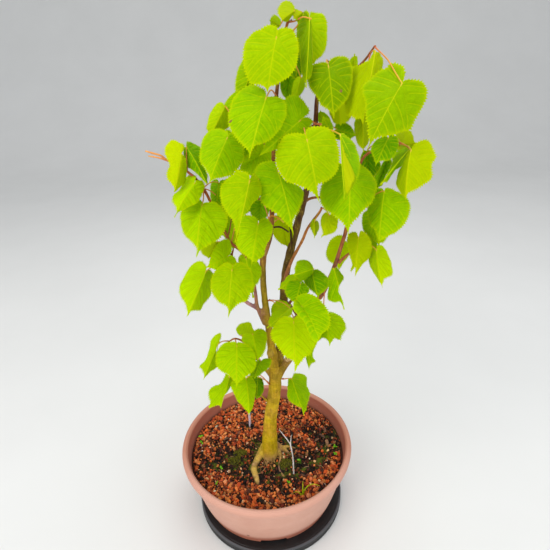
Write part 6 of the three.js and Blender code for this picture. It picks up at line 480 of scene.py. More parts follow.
def fillet(profile, radii, steps=5):
    """Rounds the corners of an open [r, z] profile."""
    pts = [np.array(q, float) for q in profile]
    out = [pts[0]]
    for i in range(1, len(pts) - 1):
        a, p, b = pts[i - 1], pts[i], pts[i + 1]
        u, v = unit(a - p), unit(b - p)
        cosang = float(np.clip(u @ v, -1, 1))
        half = math.acos(cosang) / 2
        rad = radii[i] if i < len(radii) else 0
        if rad <= 0 or half > math.radians(89):
            out.append(p)
            continue
        t = min(rad / math.tan(half), 0.45 * np.linalg.norm(a - p), 0.45 * np.linalg.norm(b - p))
        for s in np.linspace(0, 1, steps):
            q = (1 - s) ** 2 * (p + u * t) + 2 * s * (1 - s) * p + s * s * (p + v * t)
            out.append(q)
    out.append(pts[-1])
    return np.array(out)


def densify(profile, step):
    out = [profile[0]]
    for a, b in zip(profile[:-1], profile[1:]):
        n = max(1, int(np.linalg.norm(b - a) / step))
        for k in range(1, n + 1):
            out.append(a + (b - a) * k / n)
    return np.array(out)


def lathe(profile, sides):
    """Closed solid turned about the axis; the profile's ends lie on the axis."""
    prof = np.asarray(profile, float)
    inner = prof[1:-1]
    ang = 2 * np.pi * np.arange(sides) / sides
    c, s = np.cos(ang), np.sin(ang)
    pts = np.concatenate([np.stack([r * c, r * s, np.full(sides, z)], 1) for r, z in inner])
    n = len(inner)
    quads = grid_faces(n, sides)
    k = np.arange(sides)
    pts = np.vstack([pts, [0, 0, prof[0, 1]], [0, 0, prof[-1, 1]]])
    f0 = np.stack([np.full(sides, n * sides), (k + 1) % sides, k], 1)
    f1 = np.stack([np.full(sides, n * sides + 1), (n - 1) * sides + k, (n - 1) * sides + (k + 1) % sides], 1)
    return pts, [quads, f0, f1]


def applied(ob):
    """Replaces the object's mesh by the mesh its modifiers give."""
    dg = bpy.context.evaluated_depsgraph_get()
    dg.update()
    me = bpy.data.meshes.new_from_object(ob.evaluated_get(dg))
    old = ob.data
    ob.modifiers.clear()
    ob.data = me
    if old.users == 0:
        bpy.data.meshes.remove(old)
    return ob


def outward(ob):
    """Makes the face directions agree and point outward."""
    bm = bmesh.new()
    bm.from_mesh(ob.data)
    bmesh.ops.recalc_face_normals(bm, faces=bm.faces)
    bm.to_mesh(ob.data)
    bm.free()


def placed(ob, node):
    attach(ob, "root")
    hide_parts(node)
    return ob


# ------------------------------------------------------------------ materials
class Graph:
    """A small builder of shader nodes."""

    def __init__(self, name):
        self.mat = bpy.data.materials.new(name)
        self.mat.use_nodes = True
        self.nt = self.mat.node_tree
        self.nt.nodes.clear()
        self.out = self.nt.nodes.new("ShaderNodeOutputMaterial")
        self.bsdf = self.nt.nodes.new("ShaderNodeBsdfPrincipled")
        self.nt.links.new(self.bsdf.outputs["BSDF"], self.out.inputs["Surface"])
        self._obj = None

    def put(self, socket, value):
        if hasattr(value, "is_output") and value.is_output:
            self.nt.links.new(value, socket)
        elif isinstance(value, (tuple, list)):
            socket.default_value = tuple(value) + (1.0,) if len(value) == 3 and len(socket.default_value) == 4 else tuple(value)
        else:
            socket.default_value = value

    def set(self, **values):
        for k, v in values.items():
            self.put(self.bsdf.inputs[k.replace("_", " ")], v)
        return self

    def obj(self):
        if self._obj is None:
            self._obj = self.nt.nodes.new("ShaderNodeTexCoord").outputs["Object"]
        return self._obj

    def scaled(self, x, y, z, vec=None):
        n = self.nt.nodes.new("ShaderNodeMapping")
        n.inputs["Scale"].default_value = (x, y, z)
        self.put(n.inputs["Vector"], self.obj() if vec is None else vec)
        return n.outputs["Vector"]

    def moved(self, x, y, z, vec=None):
        n = self.nt.nodes.new("ShaderNodeMapping")
        n.inputs["Location"].default_value = (x, y, z)
        self.put(n.inputs["Vector"], self.obj() if vec is None else vec)
        return n.outputs["Vector"]

    def attr(self, name):
        n = self.nt.nodes.new("ShaderNodeAttribute")
        n.attribute_name = name
        return n.outputs["Vector"]

    def parts(self, vec):
        n = self.nt.nodes.new("ShaderNodeSeparateXYZ")
        self.put(n.inputs[0], vec)
        return n.outputs[0], n.outputs[1], n.outputs[2]

    def noise(self, scale, detail=3.0, rough=0.55, vec=None, distortion=0.0):
        n = self.nt.nodes.new("ShaderNodeTexNoise")
        n.inputs["Scale"].default_value = scale
        n.inputs["Detail"].default_value = detail
        n.inputs["Roughness"].default_value = rough
        n.inputs["Distortion"].default_value = distortion
        self.put(n.inputs["Vector"], self.obj() if vec is None else vec)
        return n.outputs["Fac"]

    def voronoi(self, scale, vec=None, feature="F1", randomness=1.0):
        n = self.nt.nodes.new("ShaderNodeTexVoronoi")
        n.feature = feature
        n.inputs["Scale"].default_value = scale
        n.inputs["Randomness"].default_value = randomness
        self.put(n.inputs["Vector"], self.obj() if vec is None else vec)
        return n.outputs["Distance"]

    def ramp(self, fac, stops, mode="LINEAR"):
        n = self.nt.nodes.new("ShaderNodeValToRGB")
        cr = n.color_ramp
        cr.interpolation = mode
        while len(cr.elements) < len(stops):
            cr.elements.new(0.5)
        for e, (pos, col) in zip(cr.elements, stops):
            e.position = pos
            e.color = (col, col, col, 1) if isinstance(col, (int, float)) else tuple(col) + (1.0,)
        self.put(n.inputs["Fac"], fac)
        return n.outputs["Color"]

    def mix(self, fac, a, b, blend="MIX"):
        n = self.nt.nodes.new("ShaderNodeMix")
        n.data_type = "RGBA"
        n.blend_type = blend
        self.put(n.inputs[0], fac)
        self.put(n.inputs[6], a)
        self.put(n.inputs[7], b)
        return n.outputs[2]

    def math(self, op, a, b=0.0, c=None, clamp=False):
        n = self.nt.nodes.new("ShaderNodeMath")
        n.operation = op
        n.use_clamp = clamp
        self.put(n.inputs[0], a)
        self.put(n.inputs[1], b)
        if c is not None:
            self.put(n.inputs[2], c)
        return n.outputs[0]

    def span(self, value, lo, hi, to_lo=0.0, to_hi=1.0):
        n = self.nt.nodes.new("ShaderNodeMapRange")
        n.clamp = True
        self.put(n.inputs["Value"], value)
        n.inputs["From Min"].default_value = lo
        n.inputs["From Max"].default_value = hi
        n.inputs["To Min"].default_value = to_lo
        n.inputs["To Max"].default_value = to_hi
        return n.outputs["Result"]

    def bump(self, height, strength=0.4, distance=0.0005, under=None):
        n = self.nt.nodes.new("ShaderNodeBump")
        n.inputs["Strength"].default_value = strength
        n.inputs["Distance"].default_value = distance
        self.put(n.inputs["Height"], height)
        if under is not None:
            self.put(n.inputs["Normal"], under)
        return n.outputs["Normal"]

    def translucent(self, share, color, normal=None):
        t = self.nt.nodes.new("ShaderNodeBsdfTranslucent")
        self.put(t.inputs["Color"], color)
        if normal is not None:
            self.put(t.inputs["Normal"], normal)
        m = self.nt.nodes.new("ShaderNodeMixShader")
        m.inputs[0].default_value = share
        self.nt.links.new(self.bsdf.outputs["BSDF"], m.inputs[1])
        self.nt.links.new(t.outputs["BSDF"], m.inputs[2])
        self.nt.links.new(m.outputs[0], self.out.inputs["Surface"])


def leaf_material():
    """Blade. lf1 = (tint, yellow, vein), lf2 = (x, y on the blade in cm, number),
    lf3 = (under side, margin, 0), lf4 = (strip between veins, its width in cm, 0)."""
    g = Graph("lime_blade")
    tint, yellow, vein = g.parts(g.attr("lf1"))
    lf2 = g.attr("lf2")
    x, _y, _n = g.parts(lf2)
    under, margin, _ = g.parts(g.attr("lf3"))
    strip, gap, _ = g.parts(g.attr("lf4"))
    cloud = g.noise(1.5, 3.0, 0.6, lf2)
    fine = g.noise(16.0, 4.0, 0.65, lf2)
    small = g.noise(7.0, 3.0, 0.6, lf2)
    cells = g.voronoi(5.5, lf2, "DISTANCE_TO_EDGE")
    net = g.span(cells, 0.0, 0.1, 1.0, 0.0)
    # distance in cm to the nearest side vein and to the midrib
    part = g.math("FRACT", strip)
    near = g.math("MULTIPLY", g.math("MINIMUM", part, g.math("SUBTRACT", 1.0, part)), gap)
    mid = g.math("ABSOLUTE", x)
    near = g.math("MINIMUM", near, g.math("MULTIPLY", mid, 0.75))
    line = g.span(near, 0.014, 0.05, 1.0, 0.0)
    shade = g.math("MULTIPLY", g.span(near, 0.06, 0.11, 0.0, 1.0), g.span(near, 0.11, 0.26, 1.0, 0.0))
    # the tint carries painted light and shade as well as the blade's own tone: the ramp runs from shaded dark green to
    # lit yellow-green
    tone = g.math("ADD", tint, g.math("MULTIPLY", g.math("SUBTRACT", cloud, 0.5), 0.42))
    tone = g.math("ADD", tone, g.math("MULTIPLY", g.math("SUBTRACT", small, 0.5), 0.4))
    col = g.ramp(g.math("MULTIPLY", tone, 0.77), [(0.0, rgb(14, 78, 0)), (0.231, rgb(46, 118, 0)), (0.462, rgb(92, 158, 0)), (0.654, rgb(140, 196, 0)), (0.77, rgb(170, 212, 0)), (1.0, rgb(206, 240, 0))])
    col = g.mix(g.math("MULTIPLY", g.math("SUBTRACT", fine, 0.42), 0.5, clamp=True), col, rgb(84, 146, 0))
    col = g.mix(g.math("MULTIPLY", shade, 0.2), col, rgb(80, 150, 0))
    col = g.mix(g.math("MULTIPLY", net, 0.24), col, rgb(182, 212, 0))
    col = g.mix(g.math("MULTIPLY", line, 0.54), col, rgb(216, 226, 6))
    col = g.mix(g.math("MULTIPLY", margin, 0.7), col, rgb(214, 224, 0))
    col = g.mix(g.math("MULTIPLY", yellow, 0.7), col, rgb(214, 214, 0))
    col = g.mix(g.math("MULTIPLY", under, 0.3), col, rgb(156, 186, 20))
    quilt = g.span(near, 0.0, 0.26, 0.0, 1.0)
    height = g.math("ADD", g.math("MULTIPLY", net, -0.25), g.math("ADD", quilt, g.math("MULTIPLY", fine, 0.3)))
    nrm = g.bump(height, 0.26, 0.0008)
    g.set(Base_Color=col, Roughness=g.span(fine, 0.3, 0.7, 0.55, 0.7), Normal=nrm)
    g.bsdf.inputs["Specular IOR Level"].default_value = 0.02
    through = g.mix(g.math("MULTIPLY", line, 0.5), g.mix(0.5, col, rgb(160, 216, 0)), rgb(130, 176, 0))
    g.translucent(0.34, through, nrm)
    return g.mat


def vein_material():
    g = Graph("lime_vein")
    tint, yellow, _ = g.parts(g.attr("lf1"))
    n = g.noise(500.0, 2.0)
    col = g.mix(tint, rgb(128, 176, 0), rgb(216, 228, 12))
    col = g.mix(g.math("MULTIPLY", yellow, 0.6), col, rgb(222, 216, 20))
    col = g.mix(g.span(n, 0.4, 0.7, 0.0, 0.2), col, rgb(216, 214, 40))
    g.set(Base_Color=col, Roughness=g.span(n, 0.3, 0.7, 0.5, 0.65))
    g.bsdf.inputs["Specular IOR Level"].default_value = 0.05
    g.translucent(0.22, col)
    return g.mat


def petiole_material():
    """Leaf stalk and bud. lf1 = (share along, bud, number)."""
    g = Graph("leaf_stalk")
    along, bud, num = g.parts(g.attr("lf1"))
    n = g.noise(420.0, 3.0)
    col = g.ramp(g.math("ADD", along, g.math("MULTIPLY", g.math("SUBTRACT", n, 0.5), 0.5)),
                 [(0.0, rgb(214, 112, 74)), (0.3, rgb(226, 142, 62)), (0.75, rgb(226, 168, 44)), (1.0, rgb(216, 196, 40))])
    budc = g.ramp(g.noise(900.0, 2.0), [(0.3, rgb(120, 52, 30)), (0.7, rgb(190, 110, 60))])
    col = g.mix(bud, col, budc)
    g.set(Base_Color=col, Roughness=g.span(n, 0.3, 0.7, 0.42, 0.6), Normal=g.bump(g.noise(1400.0, 2.0), 0.2, 0.0003))
    g.bsdf.inputs["Specular IOR Level"].default_value = 0.35
    g.translucent(0.12, col)
    return g.mat


def spot_material():
    g = Graph("leaf_spot")
    n = g.noise(1500.0, 3.0)
    g.set(Base_Color=g.ramp(n, [(0.3, rgb(92, 70, 8)), (0.7, rgb(150, 120, 14))]), Roughness=g.span(n, 0.3, 0.7, 0.6, 0.8))
    return g.mat


def bark_material():
    """bk1 = base colour, bk2 = (algae, cut face, fine bark)."""
    g = Graph("lime_bark")
    base = g.attr("bk1")
    algae, cut, rough = g.parts(g.attr("bk2"))
    streak = g.noise(1.0, 5.0, 0.6, g.scaled(420, 420, 70))
    blotch = g.noise(90.0, 4.0, 0.6, None, 0.6)
    fine = g.noise(1300.0, 4.0, 0.6)
    lent = g.voronoi(1.0, g.scaled(330, 330, 620), "F1")
    lent = g.span(lent, 0.10, 0.24, 1.0, 0.0)
    col = g.mix(g.span(streak, 0.45, 0.72, 0.0, 0.5), base, g.mix(0.55, base, rgb(70, 46, 8)))
    col = g.mix(g.span(streak, 0.47, 0.27, 0.0, 0.6), col, g.mix(0.5, base, rgb(232, 200, 70)))
    col = g.mix(g.math("MULTIPLY", algae, g.span(blotch, 0.35, 0.7, 0.15, 0.9)), col, rgb(176, 158, 0))
    col = g.mix(g.math("MULTIPLY", g.math("MULTIPLY", lent, rough), 0.5), col, rgb(218, 180, 96))
    col = g.mix(g.span(fine, 0.57, 0.77, 0.0, 0.28), col, rgb(52, 36, 14))
    cutc = g.ramp(g.noise(700.0, 3.0), [(0.3, rgb(168, 124, 74)), (0.7, rgb(222, 190, 142))])
    col = g.mix(cut, col, cutc)
    h = g.math("ADD", g.math("MULTIPLY", streak, 0.9), g.math("ADD", g.math("MULTIPLY", fine, 0.35), g.math("MULTIPLY", lent, 0.5)))
    g.set(Base_Color=col, Roughness=g.span(streak, 0.3, 0.7, 0.55, 0.82), Normal=g.bump(h, 0.6, 0.0008))
    g.bsdf.inputs["Specular IOR Level"].default_value = 0.1
    return g.mat


def pan_material():
    g = Graph("terracotta_plastic")
    p = g.moved(0.003, -0.0036, -0.0123)
    x, y, z = g.parts(p)
    rad = g.math("SQRT", g.math("ADD", g.math("MULTIPLY", x, x), g.math("MULTIPLY", y, y)))
    cloud = g.noise(16.0, 4.0, 0.6)
    fine = g.noise(700.0, 3.0, 0.6)
    ring = g.noise(1.0, 3.0, 0.6, g.scaled(10, 10, 900))
    scuff = g.noise(1.0, 5.0, 0.7, g.scaled(60, 60, 260), 0.8)
    col = g.mix(g.span(cloud, 0.3, 0.7), rgb(194, 143, 123), rgb(208, 161, 142))
    col = g.mix(g.span(ring, 0.45, 0.8, 0.0, 0.3), col, rgb(196, 134, 112))
    # the rim is painted deeper and redder toward the sides and back, as shade; at the front it stays near the body's
    # colour
    rimz = g.span(z, 0.0735, 0.0795, 0.0, 1.0)
    side = g.span(y, -0.075, -0.02, 0.0, 1.0)
    col = g.mix(g.math("MULTIPLY", rimz, 0.8), col, g.mix(side, rgb(204, 150, 130), rgb(182, 118, 92)))
    # painted shade: the foot band is painted darker where the body steps in to the foot
    foot = g.span(z, 0.0105, 0.0055, 0.0, 1.0)
    col = g.mix(g.math("MULTIPLY", foot, 0.75), col, rgb(176, 112, 92))
    # inner wall: painted darker and redder as shade, with a darker, blotchy band just above the soil
    wall = g.math("SUBTRACT", rad, g.math("ADD", g.math("MULTIPLY", z, 0.19), 0.0915))
    inner = g.span(wall, 0.0012, 0.0004, 0.0, 1.0)
    inner = g.math("MULTIPLY", inner, g.span(z, 0.0835, 0.0815, 0.0, 1.0))
    col = g.mix(g.math("MULTIPLY", inner, 0.9), col, rgb(164, 94, 74))
    soil_line_band = g.math("MULTIPLY", inner, g.math("MULTIPLY", g.span(z, 0.066, 0.073, 1.0, 0.0), g.span(scuff, 0.45, 0.75, 0.0, 0.7)))
    col = g.mix(soil_line_band, col, rgb(122, 72, 50))
    # faint scuffs, blotchy darkening low on the body and one dark blemish at the front
    col = g.mix(g.span(scuff, 0.62, 0.85, 0.0, 0.28), col, rgb(232, 200, 184))
    low_dark_band = g.math("MULTIPLY", g.span(z, 0.02, 0.004, 0.0, 1.0), g.span(scuff, 0.4, 0.7, 0.0, 0.5))
    col = g.mix(low_dark_band, col, rgb(150, 104, 84))
    spot = g.nt.nodes.new("ShaderNodeVectorMath")
    spot.operation = "DISTANCE"
    g.put(spot.inputs[0], p)
    spot.inputs[1].default_value = (-0.0252, -0.0925, 0.0168)
    blem = g.span(g.math("ADD", spot.outputs["Value"], g.math("MULTIPLY", fine, 0.0012)), 0.0017, 0.0032, 1.0, 0.0)
    col = g.mix(g.math("MULTIPLY", blem, 0.8), col, rgb(92, 54, 42))
    h = g.math("ADD", g.math("MULTIPLY", fine, 0.35), g.math("ADD", g.math("MULTIPLY", ring, 0.5), g.math("MULTIPLY", scuff, 0.4)))
    g.set(Base_Color=col, Roughness=g.span(scuff, 0.3, 0.75, 0.46, 0.62), Normal=g.bump(h, 0.16, 0.0005))
    g.bsdf.inputs["Specular IOR Level"].default_value = 0.4
    return g.mat


def disc_material():
    g = Graph("black_disc_plastic")
    fine = g.noise(1600.0, 2.0)
    dust = g.noise(38.0, 5.0, 0.7, None, 0.5)
    speck = g.span(g.noise(520.0, 2.0, 0.5), 0.66, 0.74, 0.0, 1.0)
    x, y, z = g.parts(g.obj())
    rad = g.math("SQRT", g.math("ADD", g.math("MULTIPLY", x, x), g.math("MULTIPLY", y, y)))
    col = g.mix(g.span(dust, 0.4, 0.75, 0.0, 0.6), rgb(20, 20, 21), rgb(32, 32, 33))
    col = g.mix(g.math("MULTIPLY", speck, 0.15), col, rgb(110, 100, 90))
    # painted highlight: the top outer edge is painted a lighter grey
    edge = g.math("MULTIPLY", g.span(rad, 0.0972, 0.0985, 0.0, 1.0), g.span(z, 0.0085, 0.0098, 0.0, 1.0))
    col = g.mix(g.math("MULTIPLY", edge, 0.5), col, rgb(92, 92, 96))
    g.set(Base_Color=col, Roughness=g.span(dust, 0.3, 0.7, 0.34, 0.55), Normal=g.bump(g.math("ADD", fine, g.math("MULTIPLY", dust, 0.6)), 0.12, 0.0003))
    g.bsdf.inputs["Specular IOR Level"].default_value = 0.4
    return g.mat


def soil_material(name="soil_ground"):
    """so1 = base colour, so2 = (green, number, 0)."""
    g = Graph(name)
    base = g.attr("so1")
    green, num, _ = g.parts(g.attr("so2"))
    n = g.noise(700.0, 4.0, 0.65)
    m = g.noise(2600.0, 3.0, 0.6)
    col = g.mix(g.span(n, 0.35, 0.7, 0.0, 0.55), base, g.mix(0.65, base, rgb(44, 22, 12)))
    col = g.mix(g.span(m, 0.6, 0.74, 0.0, 0.3), col, g.mix(0.4, base, rgb(236, 206, 166)))
    col = g.mix(green, col, rgb(92, 104, 18))
    g.set(Base_Color=col, Roughness=g.span(n, 0.3, 0.7, 0.72, 0.95), Normal=g.bump(g.math("ADD", n, g.math("MULTIPLY", m, 0.5)), 0.6, 0.0006))
    g.bsdf.inputs["Specular IOR Level"].default_value = 0.22
    return g.mat


def green_material(name, dark, mid, light, through=0.2):
    """so1.x = share along, so2.y = number."""
    g = Graph(name)
    along, num, _ = g.parts(g.attr("so1"))
    n = g.noise(900.0, 3.0)
    t = g.math("ADD", g.math("MULTIPLY", along, 0.7), g.math("MULTIPLY", n, 0.45))
    col = g.ramp(t, [(0.1, dark), (0.5, mid), (0.95, light)])
    g.set(Base_Color=col, Roughness=g.span(n, 0.3, 0.7, 0.5, 0.7), Normal=g.bump(n, 0.2, 0.0003))
    g.bsdf.inputs["Specular IOR Level"].default_value = 0.3
    g.translucent(through, col)
    return g.mat


def label_material():
    g = Graph("label_plastic")
    n = g.noise(300.0, 4.0, 0.6)
    x, y, z = g.parts(g.moved(0.0, 0.0, -0.0785))
    soil = g.math("MULTIPLY", g.span(z, 0.014, -0.002, 0.0, 1.0), g.span(n, 0.35, 0.65, 0.2, 1.0))
    col = g.mix(g.span(n, 0.4, 0.75, 0.0, 0.4), rgb(242, 228, 240), rgb(222, 202, 222))
    col = g.mix(g.math("MULTIPLY", soil, 0.6), col, rgb(128, 78, 54))
    g.set(Base_Color=col, Roughness=g.span(n, 0.3, 0.7, 0.4, 0.6), Normal=g.bump(n, 0.12, 0.0003))
    g.translucent(0.15, rgb(226, 212, 230))
    return g.mat


def dead_material():
    g = Graph("dead_wood")
    n = g.noise(1.0, 4.0, 0.65, g.scaled(900, 900, 160))
    f = g.noise(1700.0, 3.0)
    col = g.ramp(n, [(0.22, rgb(108, 96, 86)), (0.45, rgb(192, 184, 176)), (0.7, rgb(232, 228, 222))])
    col = g.mix(g.span(f, 0.6, 0.75, 0.0, 0.5), col, rgb(88, 70, 56))
    g.set(Base_Color=col, Roughness=g.span(n, 0.3, 0.7, 0.7, 0.9), Normal=g.bump(g.math("ADD", n, g.math("MULTIPLY", f, 0.4)), 0.5, 0.0005))
    return g.mat


# ------------------------------------------------------------------ leaves
HALF = [(0, 0.02), (0.16, -0.10), (0.42, -0.17), (0.72, -0.13), (0.94, 0.03), (1.0, 0.24), (0.93, 0.44), (0.74, 0.62), (0.48, 0.76), (0.22, 0.88), (0.08, 0.95), (0, 1.0)]


class Leaf:
    """One blade: maps (across, along) on the heart to a point of the real surface."""

    def __init__(self, row, number):
        self.name, self.via, b, t, s1, s2, up, tint, self.yellow, rim, mid = row
        # the tint is the blade's own tone mixed with painted light and shade
        self.tint = 0.34 + 0.66 * tint
        if self.name in LIT:
            self.tint, self.yellow = LIT[self.name]
        self.B, self.T, self.S1, self.S2 = (np.array(q, float) for q in (b, t, s1, s2))
        self.up = unit(up)
        self.axis = self.T - self.B
        self.L = float(np.linalg.norm(self.axis))
        m = self.B + 0.25 * self.axis
        self.v1, self.v2 = self.S1 - m, self.S2 - m
        self.W1, self.W2 = float(np.linalg.norm(self.v1)), float(np.linalg.norm(self.v2))
        self.W = 0.5 * (self.W1 + self.W2)
        self.mid = np.array(mid, float)
        self.number = number
        self.rng = np.random.default_rng(900 + number)
        r = self.rng
        self.ph = r.uniform(0, 6.28, 4)
        self.wave = r.uniform(0.5, 1.0, 3)
        self.halves = self._outline(rim)
        self.loop = np.vstack([self.halves[0][:-1], self.halves[1][:-1]])
        self.veins = self._veins()

    def flat(self, ab):
        """(across, along) to millimetres on the flattened blade."""
        ab = np.asarray(ab, float)
        return np.stack([ab[..., 0] * np.where(ab[..., 0] < 0, self.W1, self.W2), ab[..., 1] * self.L], -1)

    def unflat(self, xy):
        xy = np.asarray(xy, float)
        return np.stack([xy[..., 0] / np.where(xy[..., 0] < 0, self.W1, self.W2), xy[..., 1] / self.L], -1)

    def _outline(self, rim):
        """The smooth outline, notch to tip and tip to notch."""
        if rim is None:
            ring = [HALF[0]] + [(-a, b) for a, b in HALF[1:-1]] + [(0, 1)] + [(a, b) for a, b in HALF[-2:0:-1]]
        else:
            ring = [tuple(q) for q in rim]
        k = ring.index((0, 1))
        # the lobes lie close beside the stalk
        reach, power = CLOSED.get(self.name, (0.32, 1.8))
        ring = [(math.copysign(reach * (abs(a) / reach) ** power, a), b) if b < 0.03 and 0 < abs(a) < reach else (a, b) for a, b in ring]
        halves = []
        for part in (ring[:k + 1], ring[k:] + ring[:1]):
            q = catmull(self.flat(np.array(part)), 6)
            # drawn-out tip
            b = q[:, 1] / self.L
            t = np.clip((b - 0.80) / 0.12, 0, 1)
            q[:, 0] *= 1 - 0.5 * t * t * (3 - 2 * t)
            halves.append(q)
        return halves

    def reach(self, p, d):
        """How far the outline is from p along d, on the flattened blade."""
        a = self.loop
        e = np.roll(a, -1, 0) - a
        w = a - p
        den = d[0] * e[:, 1] - d[1] * e[:, 0]
        den = np.where(np.abs(den) < 1e-9, 1e-9, den)
        t = (w[:, 0] * e[:, 1] - w[:, 1] * e[:, 0]) / den
        u = (w[:, 0] * d[1] - w[:, 1] * d[0]) / den
        hit = t[(u >= 0) & (u <= 1) & (t > 0.05)]
        return float(hit.min()) if len(hit) else 0.0

    def _vein(self, start, toward, share, limit, bow):
        """A bowed vein from start toward a point, ended short of the outline; None if there is no room."""
        p0, q = self.flat(start), self.flat(toward)
        full = float(np.linalg.norm(q - p0))
        d = (q - p0) / max(full, 1e-6)
        length = min(self.reach(p0, d) * share, full * limit)
        if length < 2.2:
            return None
        end = p0 + d * length
        side = np.array([d[1], -d[0]]) * (1 if d[0] > 0 else -1)
        ctl = (p0 + end) / 2 + side * bow * length
        t = np.linspace(0, 1, 7)[:, None]
        return (1 - t) ** 2 * p0 + 2 * t * (1 - t) * ctl + t * t * end

    def _veins(self):
        """Vein paths as (a, b) rows with a width in mm; also segments for distances."""
        r = self.rng
        out = [("mid", self.flat(np.array([(0, 0.01), (0, 0.2), (0, 0.45), (0, 0.7), (0, 0.88), (0, 0.975)])), 0.56)]
        for s in (-1, 1):
            w = self.W1 if s < 0 else self.W2
            k = w / self.L
            base = self._vein((0, 0.025), (s * (0.78 + 0.05 * r.random()), 0.56), 0.95, 1.3, 0.09)
            if base is not None:
                out.append(("base", base, 0.52))
                for t0, ea, eb in ((0.24, 0.90, 0.05), (0.46, 0.965, 0.24), (0.70, 0.92, 0.42)):
                    q = np.array([np.interp(t0 * 6, range(7), base[:, 0]), np.interp(t0 * 6, range(7), base[:, 1])])
                    v = self._vein(self.unflat(q), (s * ea, eb + 0.02 * (r.random() - 0.5)), 0.95, 1.3, 0.06)
                    if v is not None:
                        out.append(("side", v, 0.24))
            for ea, eb, ww in ((0.84, -0.03, 0.38), (0.5, -0.15, 0.28)):
                v = self._vein((0, 0.03), (s * ea, eb), 0.93, 1.25, 0.05)
                if v is not None:
                    out.append(("low", v, ww))
            for b0 in (0.24, 0.41, 0.56, 0.69, 0.80):
                b0 = b0 + 0.02 * s + 0.012 * (r.random() - 0.5)
                slope = 1.06 - 0.2 * b0
                v = self._vein((0, b0), (s * 1.4, b0 + slope * k * 1.4), 0.955, 1.0, 0.08)
                if v is not None:
                    out.append(("sec", v, 0.3))
        self.seg = np.array([(*q[i], *q[i + 1]) for _, q, _w in out for i in range(len(q) - 1)])
        # the veins of each half in order, from the tip round to the notch
        rank = {"sec": 0, "base": 1, "side": 2, "low": 3}
        self.order = {}
        for s in (-1, 1):
            mine = [(kind, q) for kind, q, _w in out[1:] if s * q[-1, 0] > 0]
            mine.sort(key=lambda v: (rank[v[0]], -v[1][0, 1] if v[0] in ("sec", "side") else -v[1][-1, 1]))
            self.order[s] = [q for _kind, q in mine]
        return [(kind, self.unflat(q), w) for kind, q, w in out]

    def strips(self, ab):
        """Per point: the strip between veins it lies in, as a running number, and the strip's width in mm."""
        xy = self.flat(ab)
        num, gap = np.zeros(len(xy)), np.full(len(xy), 6.0)
        for s in (-1, 1):
            sel = np.where((xy[:, 0] < 0) if s < 0 else (xy[:, 0] >= 0))[0]
            if not len(sel) or not self.order[s]:
                continue
            p = xy[sel]
            signed = []
            for q in self.order[s]:
                a, d = q[:-1][None], np.diff(q, axis=0)[None]
                w = p[:, None, :] - a
                t = np.clip((w * d).sum(-1) / np.maximum((d * d).sum(-1), 1e-9), 0, 1)
                off = w - d * t[..., None]
                dist = np.linalg.norm(off, axis=-1)
                k = dist.argmin(1)
                i = np.arange(len(p))
                cross = (d[0, k, 0] * w[i, k, 1] - d[0, k, 1] * w[i, k, 0]) * s
                signed.append(np.where(cross > 0, 1, -1) * dist[i, k])
            signed = np.array(signed)
            above = signed > 0
            first = np.where(above.any(0), above.argmax(0), len(signed))
            spare = 0.11 * self.L
            up = np.where(first > 0, np.abs(signed[np.maximum(first - 1, 0), np.arange(len(p))]), spare)
            down = np.where(first < len(signed), np.abs(signed[np.minimum(first, len(signed) - 1), np.arange(len(p))]), spare)
            num[sel] = first - down / np.maximum(up + down, 1e-6) + 4
            gap[sel] = up + down
        return num, gap

    def vein_distance(self, a, b):
        """Distance in mm on the flat blade to the nearest vein."""
        p = self.flat(np.stack([np.asarray(a, float), np.asarray(b, float)], -1))[:, None, :]
        s0, s1 = self.seg[None, :, :2], self.seg[None, :, 2:]
        d = s1 - s0
        t = np.clip(((p - s0) * d).sum(-1) / np.maximum((d * d).sum(-1), 1e-9), 0, 1)
        q = s0 + d * t[..., None]
        return np.linalg.norm(p - q, axis=-1).min(1)

    def plain(self, a, b):
        a, b = np.asarray(a, float), np.asarray(b, float)
        side = np.where((a < 0)[:, None], self.v1, self.v2)
        arch = np.where(b > 0, 4 * b * (1 - b), 2.4 * b)
        return self.B + self.axis * b[:, None] + side * np.abs(a)[:, None] + self.up * (0.07 * self.L * arch - 0.05 * self.L * a * a)[:, None]

    def normal(self, a, b):
        d = 0.03
        a = np.asarray(a, float)
        # keep both samples on the point's own half, except on the midrib
        on_mid = np.abs(a) < 1e-6
        a0 = np.where(on_mid, a - d, np.where(a > 0, np.maximum(a - d, 1e-4), a - d))
        a1 = np.where(on_mid, a + d, np.where(a > 0, a + d, np.minimum(a + d, -1e-4)))
        pa = self.plain(a1, b) - self.plain(a0, b)
        pb = self.plain(a, np.asarray(b) + d) - self.plain(a, np.asarray(b) - d)
        n = unit(np.cross(pa, pb))
        if (n @ self.up).mean() < 0:
            n = -n
        return n

    def point(self, a, b, out=0.0):
        """Surface with its quilting between the veins, its wavy margin and its drooping tip."""
        a, b = np.asarray(a, float), np.asarray(b, float)
        p, n = self.plain(a, b), self.normal(a, b)
        dv = self.vein_distance(a, b)
        bulge = 1 - np.exp(-(dv / (0.045 * self.L)) ** 1.5)
        th = np.arctan2(b - self.mid[1], (a - self.mid[0]) * 0.8)
        rr = np.hypot(a, (b - 0.3) * 1.35)
        fall = np.clip(rr, 0, 1.1) ** 2.2
        wave = 0.022 * self.wave[0] * np.sin(3 * th + self.ph[0]) + 0.016 * self.wave[1] * np.sin(5 * th + self.ph[1]) + 0.009 * self.wave[2] * np.sin(9 * th + self.ph[2])
        tip = np.clip((b - 0.86) / 0.14, 0, 1.2) ** 1.6
        h = self.L * (0.013 * bulge + wave * fall - 0.02 * tip)
        return p + n * (h + out)[:, None]

